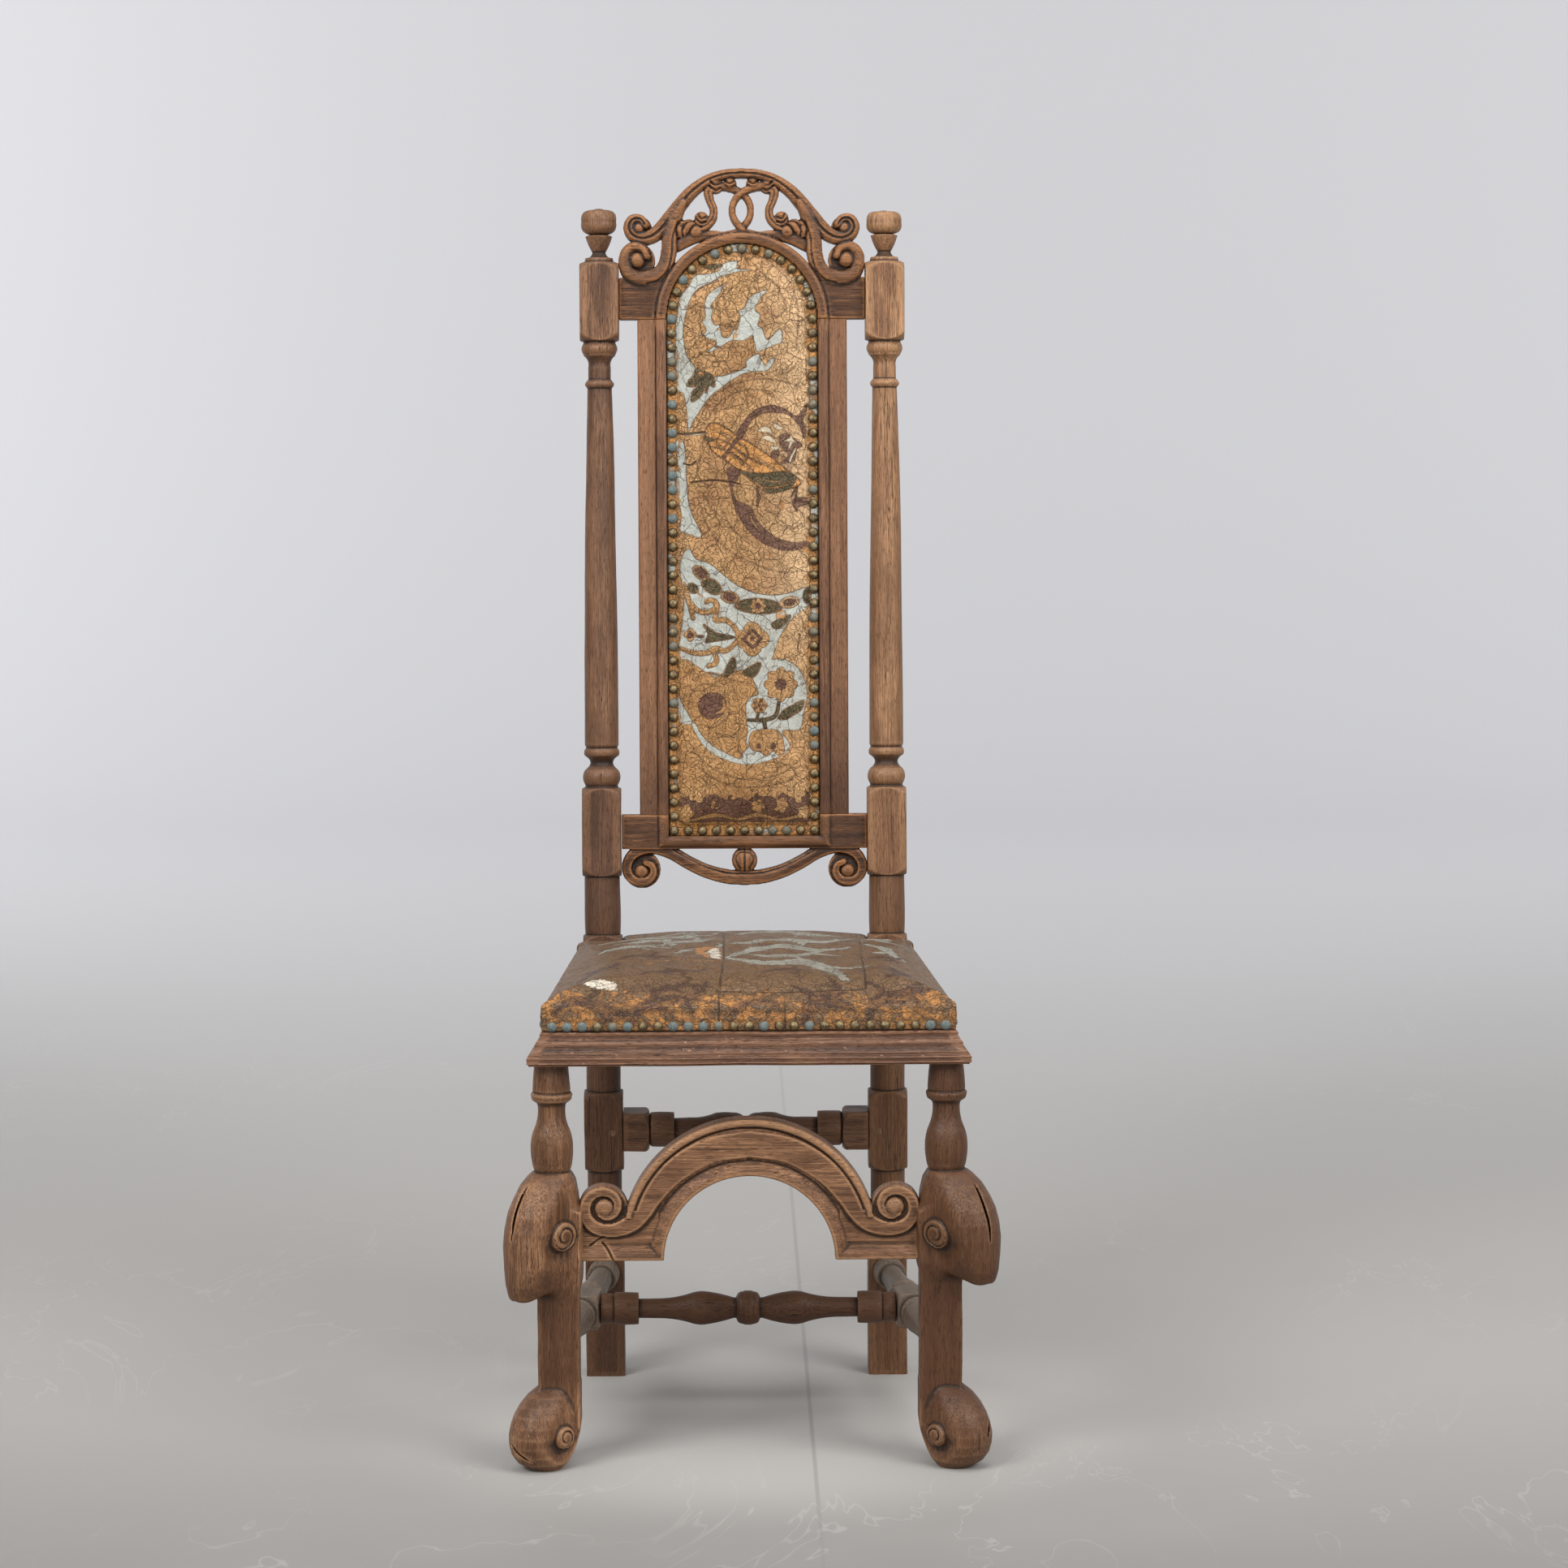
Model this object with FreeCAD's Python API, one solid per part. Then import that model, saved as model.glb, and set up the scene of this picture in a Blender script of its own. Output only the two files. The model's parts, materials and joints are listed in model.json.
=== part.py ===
import FreeCAD, Part
import os
from math import atan2, cos, hypot, pi, radians, sin, sqrt, tan

# High-back chair in millimetres, +Z up, +X to the right as seen from the front, +Y to the rear.
# Work is done with the post axes at y = 0; the finished pieces are moved to the middle of the footprint.

# Main frame
post_spacing = 314.0
post_block = 43.0
back_rake = 5.7
bend_height = 470.0
leg_to_post = 398.0
leg_inset = 6.5
joint_gap = 0.2
soft_gap = 0.3
tenon_root = 1.0
cut_over = 5.0
round_over = 0.5

# Heights along the back posts
foot_block_top = 150.0
stretcher_block_bottom = 230.0
stretcher_block_height = 90.0
seat_block_drop = 26.0
seat_block_rise = 24.0
lower_block_drop = 30.0
lower_block_height = 98.0
crest_block_drop = 24.0
crest_block_height = 88.0
block_shoulder = 14.0
shoulder_bulge = 3.0
bend_reach = 20.0

# Post turnings, as radii
barrel_radius = 19.4
plain_radius = 19.0
torus_radius = 20.7
cove_radius = 13.2
cove_rim_radius = 17.2
column_foot_radius = 18.7
column_head_radius = 13.5
column_swell = 1.2
astragal_radius = 16.0
neck_radius = 12.5
cup_radius = 14.3
cup_neck_radius = 7.5
cup_rim_radius = 11.3
head_radius = 18.0
finial_radius = 19.3
finial_crown_radius = 7.7
finial_height_left = 28.5
finial_height_right = 25.5
finial_swell = 0.4
ring_swell = 0.8
bead_swell = 1.6
flare_hollow = 2.0
step = 2.0

# Post turnings, as heights
fillet = 2.0
torus_height = 15.0
cove_height = 13.0
ring_height = 7.0
neck_height = 12.0
neck_flare = 13.0
head_torus_height = 11.0
cup_foot = 10.0
cup_height = 16.0

# Back panel frame
panel_half_width = 83.0
panel_bottom = 602.0
crest_spring = 1170.0
frame_thickness = 26.0
frame_field_depth = 2.5
panel_moulding_width = 12.5
stile_flat_width = 19.5
lip_width = 19.0
lip_front = 8.0
rail_sill = 24.0
sill_moulding_height = 14.0
shoulder_height = 51.0
tenon_length = 24.0
tenon_thickness = 12.0
tenon_shoulder = 8.0

# Crest carving
crest_height = 115.0
crest_carving_depth = 20.0
crest_relief = 1.0
arch_strand_width = 9.0
scroll_strand_width = 13.0
stem_width = 9.0
loop_width = 6.0
upper_volute_radius = 15.0
lower_volute_radius = 19.0
volute_button_radius = 7.0
volute_rim = 4.0
volute_proud = 2.0
volute_sink = 4.0

# Apron under the lower back rail
apron_depth = 39.0
apron_thickness = 18.0
apron_strand_width = 14.0
apron_volute_radius = 18.5
apron_bud_width = 30.0
apron_button_radius = 10.0
apron_eye_inset = 3.0
apron_bud_bulge = 3.0

# Back upholstery
leather_thickness = 1.8
back_crown = 11.0
back_crown_run = 45.0
back_pad_inset = 11.4
linen_thickness = 1.0
nail_inset = 5.6
nail_head_radius = 5.2
nail_head_height = 4.0
nail_shank_radius = 1.0
nail_shank_length = 13.0
nail_crown_flat = 0.1
nail_gap = 0.1
back_nail_pitch = 15.5
seat_nail_pitch = 15.7

# Seat frame
seat_bottom = 426.0
seat_rail_height = 58.0
seat_rail_thickness = 45.0
moulding_height = 33.0
moulding_reach = 20.5
moulding_overhang = 35.5
bead_height = 10.0
bead_round = 4.5
bead_tuck = 4.0
cyma_reach = 10.0
cyma_hollow = 2.5
cap_height = 7.3
cap_reach = 4.5
seat_front_half_width = 210.0
seat_rear_half_width = 180.0
back_rail_thickness = 24.0
back_rail_offset = 9.0
back_rail_tenon_thickness = 8.0
back_rail_tenon_length = 19.0
side_tenon_offset = 4.3
corner_tongue_inset = 28.0
corner_tongue_length = 14.0
corner_tongue_height = 16.0
corner_tongue_width = 18.0
webbing_width = 52.0
webbing_thickness = 1.2
webbing_lap = 13.5
webbing_count = 4
base_cloth_thickness = 1.0
base_cloth_inset = 6.0
seat_crown = 13.0
seat_crown_run = 120.0
seat_roll_radius = 10.0
seat_draw = 1.5
crown_steps = 7
seat_corner_radius = 16.0
seat_least_radius = 2.0

# Front legs
leg_tenon_radius = 11.5
leg_tenon_length = 21.0
leg_turning_height = 115.0
leg_vase_radius = 22.5
leg_bead_radius = 21.5
leg_neck_radius = 14.5
leg_cone_top_radius = 16.8
leg_foot_radius = 19.5
leg_vase_height = 22.0
leg_taper_height = 40.0
leg_neck_height = 8.0
leg_cove_height = 5.0
leg_bead_height = 6.0
leg_root = 6.0
shaft_root = 40.0
leg_inner_half = 28.0
leg_outer_half = 16.0
knee_reach_left = 50.5
knee_reach_right = 55.0
knee_tip_left = 177.0
knee_tip_right = 193.0
foot_height = 82.0
foot_reach = 47.0
leg_volute_radius = 18.0
leg_button_radius = 9.5
leg_volute_depth = 5.0
leg_volute_height = 248.0
foot_volute_height = 37.0
foot_button_radius = 8.0
foot_volute_radius = 13.0
foot_volute_depth = 3.0
leg_flank = 29.7
leg_eye_offset = 12.0
leg_nose_turn = 76.0
leg_least_flat = 1.0

# Stretchers
arch_bottom = 217.0
arch_radius = 88.5
arch_rise = 149.0
arch_outer_radius = 133.0
arch_thickness = 22.0
arch_band_depth = 4.0
arch_bead_width = 9.0
arch_edge_width = 24.0
arch_plinth = 12.0
arch_groove = 3.0
arch_volute_radius = 24.0
arch_volute_height = 54.0
arch_volute_inset = 26.0
arch_block_height = 46.0
arch_button_radius = 10.0
arch_tenon_thickness = 11.0
arch_tenon_shoulder = 5.0
arch_setback = 2.8
low_stretcher_height = 118.0
side_stretcher_block = 38.0
side_block_length = 46.0
side_end_radius = 17.0
side_block_shoulder = 9.0
side_collar_length = 10.0
side_neck_radius = 12.0
medial_collar_radius = 17.2
medial_neck_radius = 10.5
medial_vase_radius = 17.5
medial_block_length = 14.0
medial_bead_half = 9.0
medial_pinch = 4.0
medial_tenon_radius = 8.5
medial_tenon_length = 16.0
rear_block = 43.0
rear_block_length = 29.0
rear_collar_radius = 19.0
rear_neck_radius = 13.0
rear_vase_radius = 18.5
rear_block_shoulder = 8.0
collar_length = 27.0
round_tenon_radius = 9.5
round_tenon_length = 20.0

# Pegs and tacks
peg_radius = 3.5
peg_gap = 0.1
tack_radius = 3.0
tack_point_radius = 1.5
tack_height = 1.0
tack_inset = 5.0
tack_pitch = 46.0
tack_setback = 24.0
tack_spread = 15.0

V = FreeCAD.Vector
X_AXIS = V(1, 0, 0)
Y_AXIS = V(0, 1, 0)
Z_AXIS = V(0, 0, 1)
ORIGIN = V(0, 0, 0)

post_x = post_spacing / 2
post_half = post_block / 2
post_inner = post_x - post_half
leg_x = seat_front_half_width - leg_inset
leg_y = -leg_to_post
seat_top = seat_bottom + seat_rail_height
moulding_top = seat_bottom + moulding_height
frame_half = frame_thickness / 2
lip_y = lip_front - frame_half
lip_inner = panel_half_width - lip_width
moulding_edge = panel_half_width + panel_moulding_width
stile_outer = moulding_edge + stile_flat_width
shoulder_top = crest_spring + shoulder_height
crest_top = shoulder_top + crest_height
rail_top = panel_bottom + rail_sill
rail_bottom = panel_bottom - sill_moulding_height
seat_block_bottom = seat_bottom - seat_block_drop
seat_block_top = bend_height + seat_block_rise
lower_block_bottom = rail_bottom - lower_block_drop
lower_block_top = lower_block_bottom + lower_block_height
crest_block_bottom = crest_spring - crest_block_drop
crest_block_top = crest_block_bottom + crest_block_height
block_radius = post_half * sqrt(2) + round_over
leather_face = lip_y - soft_gap - leather_thickness


# Helpers for solids
def box(x0, x1, y0, y1, z0, z1):
    return Part.makeBox(x1 - x0, y1 - y0, z1 - z0, V(x0, y0, z0))


def both_sides(x0, x1, y0, y1, z0, z1):
    return [box(x0, x1, y0, y1, z0, z1), box(-x1, -x0, y0, y1, z0, z1)]


def cylinder(radius, length, start, direction):
    return Part.makeCylinder(radius, length, start, direction)


def fuse_all(shapes):
    first = shapes[0]
    joined = first.multiFuse(shapes[1:]) if len(shapes) > 1 else first
    return joined.removeSplitter()


def cut_all(shape, tools):
    return shape.cut(Part.makeCompound(tools)) if tools else shape


def mirrored(shape):
    return shape.mirror(ORIGIN, X_AXIS)


def paired(right):
    return [right, mirrored(right)]


def bulged_edge(start, end, bulge, normal):
    """Line from start to end, or an arc whose middle stands off the line by bulge."""
    if abs(bulge) < 1e-6:
        return Part.LineSegment(start, end).toShape()
    side = (end - start).cross(normal)
    side.normalize()
    middle = (start + end) * 0.5 + side * bulge
    return Part.Arc(start, middle, end).toShape()


def turned(rows):
    """Solid of revolution about Z; each row is height, radius and the bulge of the line that leads to it."""
    points = [V(radius, 0, height) for height, radius, bulge in rows]
    edges = [bulged_edge(points[i - 1], points[i], rows[i][2], V(0, -1, 0)) for i in range(1, len(rows))]
    top = V(0, 0, rows[-1][0])
    bottom = V(0, 0, rows[0][0])
    edges.append(Part.LineSegment(points[-1], top).toShape())
    edges.append(Part.LineSegment(top, bottom).toShape())
    edges.append(Part.LineSegment(bottom, points[0]).toShape())
    return Part.Face(Part.Wire(edges)).revolve(ORIGIN, Z_AXIS, 360)


def squared(rows, half):
    """Turned solid cut from a square length of timber, so that its widest stretches stay square blocks."""
    low = rows[0][0]
    high = rows[-1][0]
    return turned(rows).common(box(-half, half, -half, half, low, high))


def polygon_prism(points, vector):
    wire = Part.makePolygon(points + [points[0]])
    return Part.Face(wire).extrude(vector)


def plate(points, y0, y1):
    """Flat outline in X and Z, thickened from y0 to y1."""
    return polygon_prism([V(x, y0, z) for x, z in points], V(0, y1 - y0, 0))


def ring(x, z, outer, inner, y0, y1):
    disc = cylinder(outer, y1 - y0, V(x, y0, z), Y_AXIS)
    return disc.cut(cylinder(inner, y1 - y0, V(x, y0, z), Y_AXIS)) if inner > 0 else disc


def strand(points, heading, width, y0, y1):
    """Carved ribbon of even width through points, as a chain of tangent arcs that starts along heading."""
    pieces = []
    direction = radians(heading)
    half = width / 2
    for (xa, za), (xb, zb) in zip(points, points[1:]):
        chord = hypot(xb - xa, zb - za)
        turn = atan2(zb - za, xb - xa) - direction
        turn = (turn + pi) % (2 * pi) - pi
        left = V(-sin(direction), 0, cos(direction))
        ahead = direction + 2 * turn
        left_ahead = V(-sin(ahead), 0, cos(ahead))
        start = V(xa, y0, za)
        end = V(xb, y0, zb)
        if abs(turn) < 0.02:
            across = V(-(zb - za), 0, xb - xa)
            across.normalize()
            corners = [start + across * half, end + across * half, end - across * half, start - across * half]
            pieces.append(polygon_prism(corners, V(0, y1 - y0, 0)))
        else:
            radius = chord / (2 * sin(turn))
            centre = start + left * radius
            middle_left = V(-sin(direction + turn), 0, cos(direction + turn))
            edges = []
            for offset in (half, -half):
                inner = radius - offset
                a = centre - left * inner
                m = centre - middle_left * inner
                b = centre - left_ahead * inner
                edges.append((a, m, b))
            (a1, m1, b1), (a2, m2, b2) = edges
            outline = [Part.Arc(a1, m1, b1).toShape(), Part.LineSegment(b1, b2).toShape(),
                       Part.Arc(b2, m2, a2).toShape(), Part.LineSegment(a2, a1).toShape()]
            pieces.append(Part.Face(Part.Wire(outline)).extrude(V(0, y1 - y0, 0)))
        pieces.append(cylinder(half, y1 - y0, end, Y_AXIS))
        direction = ahead
    return pieces


def raked(shape):
    """Lean a piece of the back from upright about the bend in the posts."""
    leaned = shape.copy()
    leaned.rotate(V(0, 0, bend_height), X_AXIS, -back_rake)
    return leaned


def lay(shape, start, direction):
    """Turn a piece made along Z so that it runs from start along direction."""
    shape.Placement = FreeCAD.Placement(start, FreeCAD.Rotation(Z_AXIS, direction))
    return shape


def both_ways(half):
    """Rows of a turning that is the same on both sides of its middle, from the rows of one side."""
    bulges = [row[2] for row in half[1:]] + [0]
    other = [(-row[0], row[1], bulge) for row, bulge in zip(half, bulges)]
    return other[:0:-1] + [(half[0][0], half[0][1], half[1][2])] + half[1:]


# Back posts
def shoulder_rows(bottom, height, foot_radius, head_radius):
    """Square block between bottom and its top, with turned shoulders that start and end at given radii."""
    top = bottom + height
    return [(bottom, foot_radius, 0), (bottom + block_shoulder, block_radius, shoulder_bulge),
            (top - block_shoulder, block_radius, 0), (top, head_radius, shoulder_bulge)]


def stack(start, members):
    """Rows of turned members that stand on one another, each with its height, end radius and bulge."""
    rows = []
    for height, radius, bulge in members:
        start += height
        rows.append((start, radius, bulge))
    return rows


def lower_post():
    rows = [(0, block_radius, 0), (foot_block_top - block_shoulder, block_radius, 0),
            (foot_block_top, plain_radius, shoulder_bulge)]
    rows += shoulder_rows(stretcher_block_bottom, stretcher_block_height, plain_radius, plain_radius)
    rows += [(seat_block_bottom, plain_radius, 0),
             (seat_block_bottom + block_shoulder, block_radius, shoulder_bulge),
             (bend_height, block_radius, 0)]
    return squared(rows, post_half)


def upper_post(finial_height):
    rows = [(bend_height, block_radius, 0), (seat_block_top - block_shoulder, block_radius, 0),
            (seat_block_top, barrel_radius, shoulder_bulge)]
    rows += shoulder_rows(lower_block_bottom, lower_block_height, barrel_radius, plain_radius)
    foot = [(fillet, column_foot_radius, 0), (fillet, plain_radius, 0),
            (torus_height, plain_radius, torus_radius - plain_radius), (fillet, cove_rim_radius, 0),
            (cove_height, cove_rim_radius, cove_radius - cove_rim_radius), (fillet, column_foot_radius, 0),
            (ring_height, column_foot_radius, ring_swell), (fillet, column_foot_radius - step / 2, 0),
            (fillet, column_foot_radius, 0)]
    astragal = astragal_radius - bead_swell
    head = [(0, column_head_radius, column_swell), (fillet, astragal, 0), (ring_height, astragal, bead_swell),
            (fillet, neck_radius, 0), (neck_height, neck_radius, 0),
            (neck_flare, head_radius - round_over, -flare_hollow), (fillet, head_radius, 0),
            (head_torus_height, head_radius, bead_swell), (fillet, head_radius, 0)]
    head_start = crest_block_bottom - sum(height for height, radius, bulge in head)
    rows += stack(lower_block_top, foot) + stack(head_start, head)[:-1]
    rows += shoulder_rows(crest_block_bottom, crest_block_height, head_radius, head_radius - step)
    half_ball = finial_height / 2
    swell = half_ball * finial_swell
    rows += stack(crest_block_top, [(2 * fillet, head_radius - 1.5 * step, 0),
                                    (cup_foot - 2 * fillet, cup_neck_radius, -flare_hollow),
                                    (cup_height, cup_radius, 0), (fillet, cup_radius, 0),
                                    (fillet / 2, cup_rim_radius, 0), (half_ball, finial_radius, swell),
                                    (half_ball, finial_crown_radius, swell)])
    return squared(rows, post_half)


def bend_block():
    """Square length of post that carries the change from the upright leg to the leaning back."""
    rise = bend_reach
    lean = radians(back_rake)
    axis = V(0, sin(lean), cos(lean))
    across = V(0, cos(lean), -sin(lean))
    bend = V(0, 0, bend_height)
    slip = tan(lean / 2) * post_half
    outline = [V(0, -post_half, bend_height - rise), V(0, post_half, bend_height - rise),
               V(0, post_half, bend_height - slip), bend + axis * rise + across * post_half,
               bend + axis * rise - across * post_half, V(0, -post_half, bend_height + slip)]
    prism = polygon_prism(outline, V(post_block, 0, 0))
    prism.translate(V(-post_half, 0, 0))
    return prism


def back_post(side, finial_height):
    body = fuse_all([lower_post(), bend_block(), raked(upper_post(finial_height))])
    body.translate(V(side * post_x, 0, 0))
    return body


# Crest rail
def tenons(z0, z1):
    """Pair of tenons that run from a back rail into the posts."""
    half = tenon_thickness / 2
    return both_sides(post_inner - tenon_root, post_inner + tenon_length, -half, half, z0, z1)


def mortises(z0, z1):
    half = tenon_thickness / 2 + joint_gap
    end = post_inner + tenon_length + joint_gap
    return both_sides(post_inner - tenon_root, end, -half, half, z0 - joint_gap, z1 + joint_gap)


crest_tenon = (crest_spring + tenon_shoulder, crest_spring + shoulder_height - tenon_shoulder)
rail_tenon = (rail_bottom + tenon_shoulder / 2, rail_top - tenon_shoulder / 2)


def volute(x, z, radius, button, y0, y1):
    """Round eye of a scroll: a disc with a sunk ring and a raised button."""
    disc = cylinder(radius, y1 - y0, V(x, y0, z), Y_AXIS)
    return disc.cut(ring(x, z, radius - volute_rim, button, y0 - tenon_root, y0 + volute_sink))


def crest_place(across, up):
    """Place on the cresting: a share of the way from the middle to a post, and from shoulders to top."""
    return across * post_inner, shoulder_top + up * (crest_top - arch_strand_width / 2 - shoulder_top)


def crest_line(*spots):
    return [crest_place(across, up) for across, up in spots]


def crest_strands():
    y0 = -crest_carving_depth / 2
    y1 = crest_carving_depth / 2
    leaf0 = y0 + crest_relief
    leaf1 = y1 - crest_relief
    low_x = post_inner - lower_volute_radius - cut_over
    low_z = shoulder_top + lower_volute_radius - step
    high_x, high_z = crest_place(0.79, 0.455)
    outer = crest_line((0, 1), (0.3, 0.9), (0.487, 0.71), (0.605, 0.493), (0.723, 0.34))
    outer.append((high_x + upper_volute_radius * 0.68, high_z - 2 * step))
    outer.append((high_x + upper_volute_radius / 3, high_z + upper_volute_radius / 3))
    inner = crest_line((0.443, 0.747), (0.553, 0.439), (0.568, 0.208), (0.664, 0.009))
    inner.append((low_x - step, low_z - lower_volute_radius - step))
    inner.append((low_x + lower_volute_radius * 0.58, low_z - 2 * step))
    stem = crest_line((0.229, 0.864), (0.185, 0.729), (0.207, 0.566), (0.28, 0.475))
    loop = crest_line((-0.074, 0.855), (0, 0.792), (0.089, 0.629), (0, 0.421))
    # arch that ends in the upper scroll, and the inner upright that sweeps out into the lower one
    half = strand(outer, 0, scroll_strand_width, y0, y1)
    half += strand(inner, -62, scroll_strand_width, y0, y1)
    half.append(volute(high_x, high_z, upper_volute_radius - step, volute_button_radius - step / 2, y0, y1))
    half.append(volute(low_x, low_z, lower_volute_radius, volute_button_radius, y0 - volute_proud, y1))
    # leafy stem from the arch to the base of the carving, and half of the pointed loop at the middle
    half += strand(stem, -120, stem_width, y0, y1)
    leaves = [(0.229, 0.846, 2), (0.133, 0.864, 1.5), (0.288, 0.557, 2), (0.435, 0.43, 2.6), (0.34, 0.403, 2)]
    for across, up, size in leaves:
        x, z = crest_place(across, up)
        half.append(cylinder(size * stem_width / 2, leaf1 - leaf0, V(x, leaf0, z), Y_AXIS))
    half += strand(loop, -20, loop_width, y0 + 3 * crest_relief, y1 - 3 * crest_relief)
    foot = crest_spring + panel_half_width
    base = crest_line((0.384, 0.38), (0.25, 0.403), (0, 0.457), (-0.25, 0.403), (-0.384, 0.38))
    base += [(base[-1][0], foot), (base[0][0], foot)]
    return half + [mirrored(piece) for piece in half] + [plate(base, leaf0, leaf1)]


def crest_rail():
    field = frame_field_depth - frame_half
    outline = box(-post_inner, post_inner, field, frame_half, crest_spring, shoulder_top)
    above = box(-post_inner, post_inner, -frame_half, frame_half, crest_spring, crest_top)
    arch = ring(0, crest_spring, moulding_edge, 0, -frame_half, frame_half).common(above)
    body = fuse_all([outline, arch] + crest_strands() + tenons(*crest_tenon))
    hollow = cylinder(lip_inner, 2 * frame_thickness, V(0, -frame_thickness, crest_spring), Y_AXIS)
    front = V(0, -frame_half - cut_over, crest_spring)
    rebate = cylinder(panel_half_width, lip_front + cut_over, front, Y_AXIS)
    return cut_all(body, [hollow, rebate] + stile_mortises(crest_spring, 1))


# Back stiles
def stile_tenon(end, way, gap):
    half = tenon_thickness / 2 + gap
    inset = tenon_shoulder / 2 - gap
    z0, z1 = sorted((end - way * tenon_root, end + way * (tenon_length + gap)))
    return box(panel_half_width + inset, stile_outer - inset, -half, half, z0, z1)


def stile_mortises(end, way):
    right = stile_tenon(end, way, joint_gap)
    return [right, mirrored(right)]


def back_stile():
    field = frame_field_depth - frame_half
    parts = [box(moulding_edge, stile_outer, field, frame_half, rail_top, crest_spring),
             box(panel_half_width, moulding_edge, -frame_half, frame_half, rail_top, crest_spring),
             box(lip_inner, panel_half_width, lip_y, frame_half, rail_top, crest_spring),
             stile_tenon(crest_spring, 1, 0), stile_tenon(rail_top, -1, 0)]
    return fuse_all(parts)


# Lower back rail and apron
def apron():
    y0 = -apron_thickness / 2
    y1 = apron_thickness / 2
    eye_x = post_inner - apron_volute_radius - apron_eye_inset
    eye_z = rail_bottom - apron_volute_radius - 2 * step
    low = rail_bottom - apron_depth + apron_strand_width / 2
    swag = [(across * eye_x, low + up * (rail_bottom - low)) for across, up in
            ((0, 0), (0.395, 0.28), (0.807, 0.75), (0.974, 0.906))]
    swag.append((eye_x + apron_volute_radius * 0.73, eye_z + apron_volute_radius / 3))
    half = strand(swag, 0, apron_strand_width, y0, y1)
    half.append(volute(eye_x, eye_z, apron_volute_radius, apron_button_radius, y0 - volute_proud / 2, y1))
    bud_half = apron_bud_width / 2 - step / 2
    bud = turned([(-bud_half, bud_half / 3, 0), (0, bud_half, apron_bud_bulge),
                  (bud_half, bud_half / 2, apron_bud_bulge)])
    bud.translate(V(0, 0, (rail_bottom + low) / 2))
    keep = box(-post_inner, post_inner, y0, y1, low - apron_depth, rail_bottom + tenon_root)
    return half + [mirrored(piece) for piece in half] + [bud.common(keep)]


def lower_back_rail():
    field = frame_field_depth - frame_half
    parts = [box(-post_inner, post_inner, field, frame_half, rail_bottom, rail_top),
             box(-moulding_edge, moulding_edge, -frame_half, frame_half, rail_bottom, rail_top)]
    body = fuse_all(parts + apron() + tenons(*rail_tenon))
    over = rail_top + tenon_root
    rebate = box(-panel_half_width, panel_half_width, -frame_half - cut_over, lip_y, panel_bottom, over)
    hollow = box(-lip_inner, lip_inner, -frame_thickness, frame_thickness, panel_bottom + lip_width, over)
    return cut_all(body, [rebate, hollow] + stile_mortises(rail_top, -1))


# Back upholstery
def panel_outline(half, low, y):
    """Arched outline: straight foot and sides, round head about the spring of the crest's arch."""
    head = [V(half, y, crest_spring), V(half * cos(pi / 4), y, crest_spring + half * sin(pi / 4)),
            V(0, y, crest_spring + half), V(-half * cos(pi / 4), y, crest_spring + half * sin(pi / 4)),
            V(-half, y, crest_spring)]
    edges = [Part.LineSegment(V(-half, y, low), V(half, y, low)).toShape(),
             Part.LineSegment(V(half, y, low), head[0]).toShape(),
             Part.Arc(head[0], head[1], head[2]).toShape(), Part.Arc(head[2], head[3], head[4]).toShape(),
             Part.LineSegment(head[4], V(-half, y, low)).toShape()]
    return Part.Wire(edges)


def panel_slab(inset, y0, y1):
    outline = panel_outline(panel_half_width - inset, panel_bottom + inset, y0)
    return Part.Face(outline).extrude(V(0, y1 - y0, 0))


def panel_crown(inset, face):
    """Crowned pad that stands proud of the frame's lip, its sides drawn in towards the nails."""
    start = back_pad_inset + inset
    wires = []
    for i in range(crown_steps + 1):
        angle = pi / 2 * i / crown_steps
        drawn = start + back_crown_run * (1 - cos(angle)) ** 1.5
        y = face - back_crown * sin(angle) ** 0.8
        wires.append(panel_outline(panel_half_width - drawn, panel_bottom + drawn, y))
    return Part.makeLoft(wires, True, True)


def back_stuffing():
    inset = leather_thickness + soft_gap
    face = leather_face + inset
    crown = panel_crown(inset, face)
    core = panel_slab(lip_width + soft_gap, face, frame_half - soft_gap)
    return fuse_all([crown, core])


def back_leather(shanks):
    margin = panel_slab(soft_gap, leather_face, leather_face + leather_thickness)
    skin = fuse_all([margin, panel_crown(0, leather_face)])
    inner = panel_crown(leather_thickness, leather_face + leather_thickness)
    return cut_all(skin, [inner] + shanks)


def back_linen():
    """Backing sheet on the rear of the frame, wide enough to be tacked to the lip."""
    return panel_slab(lip_width / 2, frame_half, frame_half + linen_thickness)


def nail(place, outward, gap):
    """Dome-headed nail driven against outward; with a gap it is the hole that its shank needs."""
    if gap > 0:
        return cylinder(nail_shank_radius + gap, nail_shank_length + gap, place, outward * -1)
    chord = hypot(nail_head_radius, nail_head_height)
    sphere = chord ** 2 / (2 * nail_head_height)
    dome = sphere - sqrt(sphere ** 2 - chord ** 2 / 4)
    rows = [(-nail_shank_length, nail_shank_radius, 0), (0, nail_shank_radius, 0), (0, nail_head_radius, 0),
            (nail_head_height, nail_crown_flat, dome)]
    return lay(turned(rows), place, outward)


def spaced(length, pitch):
    """Even positions along a length, about one pitch apart, with both ends in use."""
    count = max(1, round(length / pitch))
    return [length * i / count for i in range(count + 1)]


def arched_row(half, low, pitch):
    """Places along an arched outline: the foot, both sides and the round head."""
    places = [(at - half, low) for at in spaced(2 * half, pitch)]
    for at in spaced(crest_spring - low, pitch)[1:]:
        places += [(half, low + at), (-half, low + at)]
    for at in spaced(pi * half, pitch)[1:-1]:
        places.append((half * cos(at / half), crest_spring + half * sin(at / half)))
    return places


def back_nail_places():
    half = panel_half_width - nail_inset
    low = panel_bottom + nail_inset
    return [V(x, leather_face, z) for x, z in arched_row(half, low, back_nail_pitch)]


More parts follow.
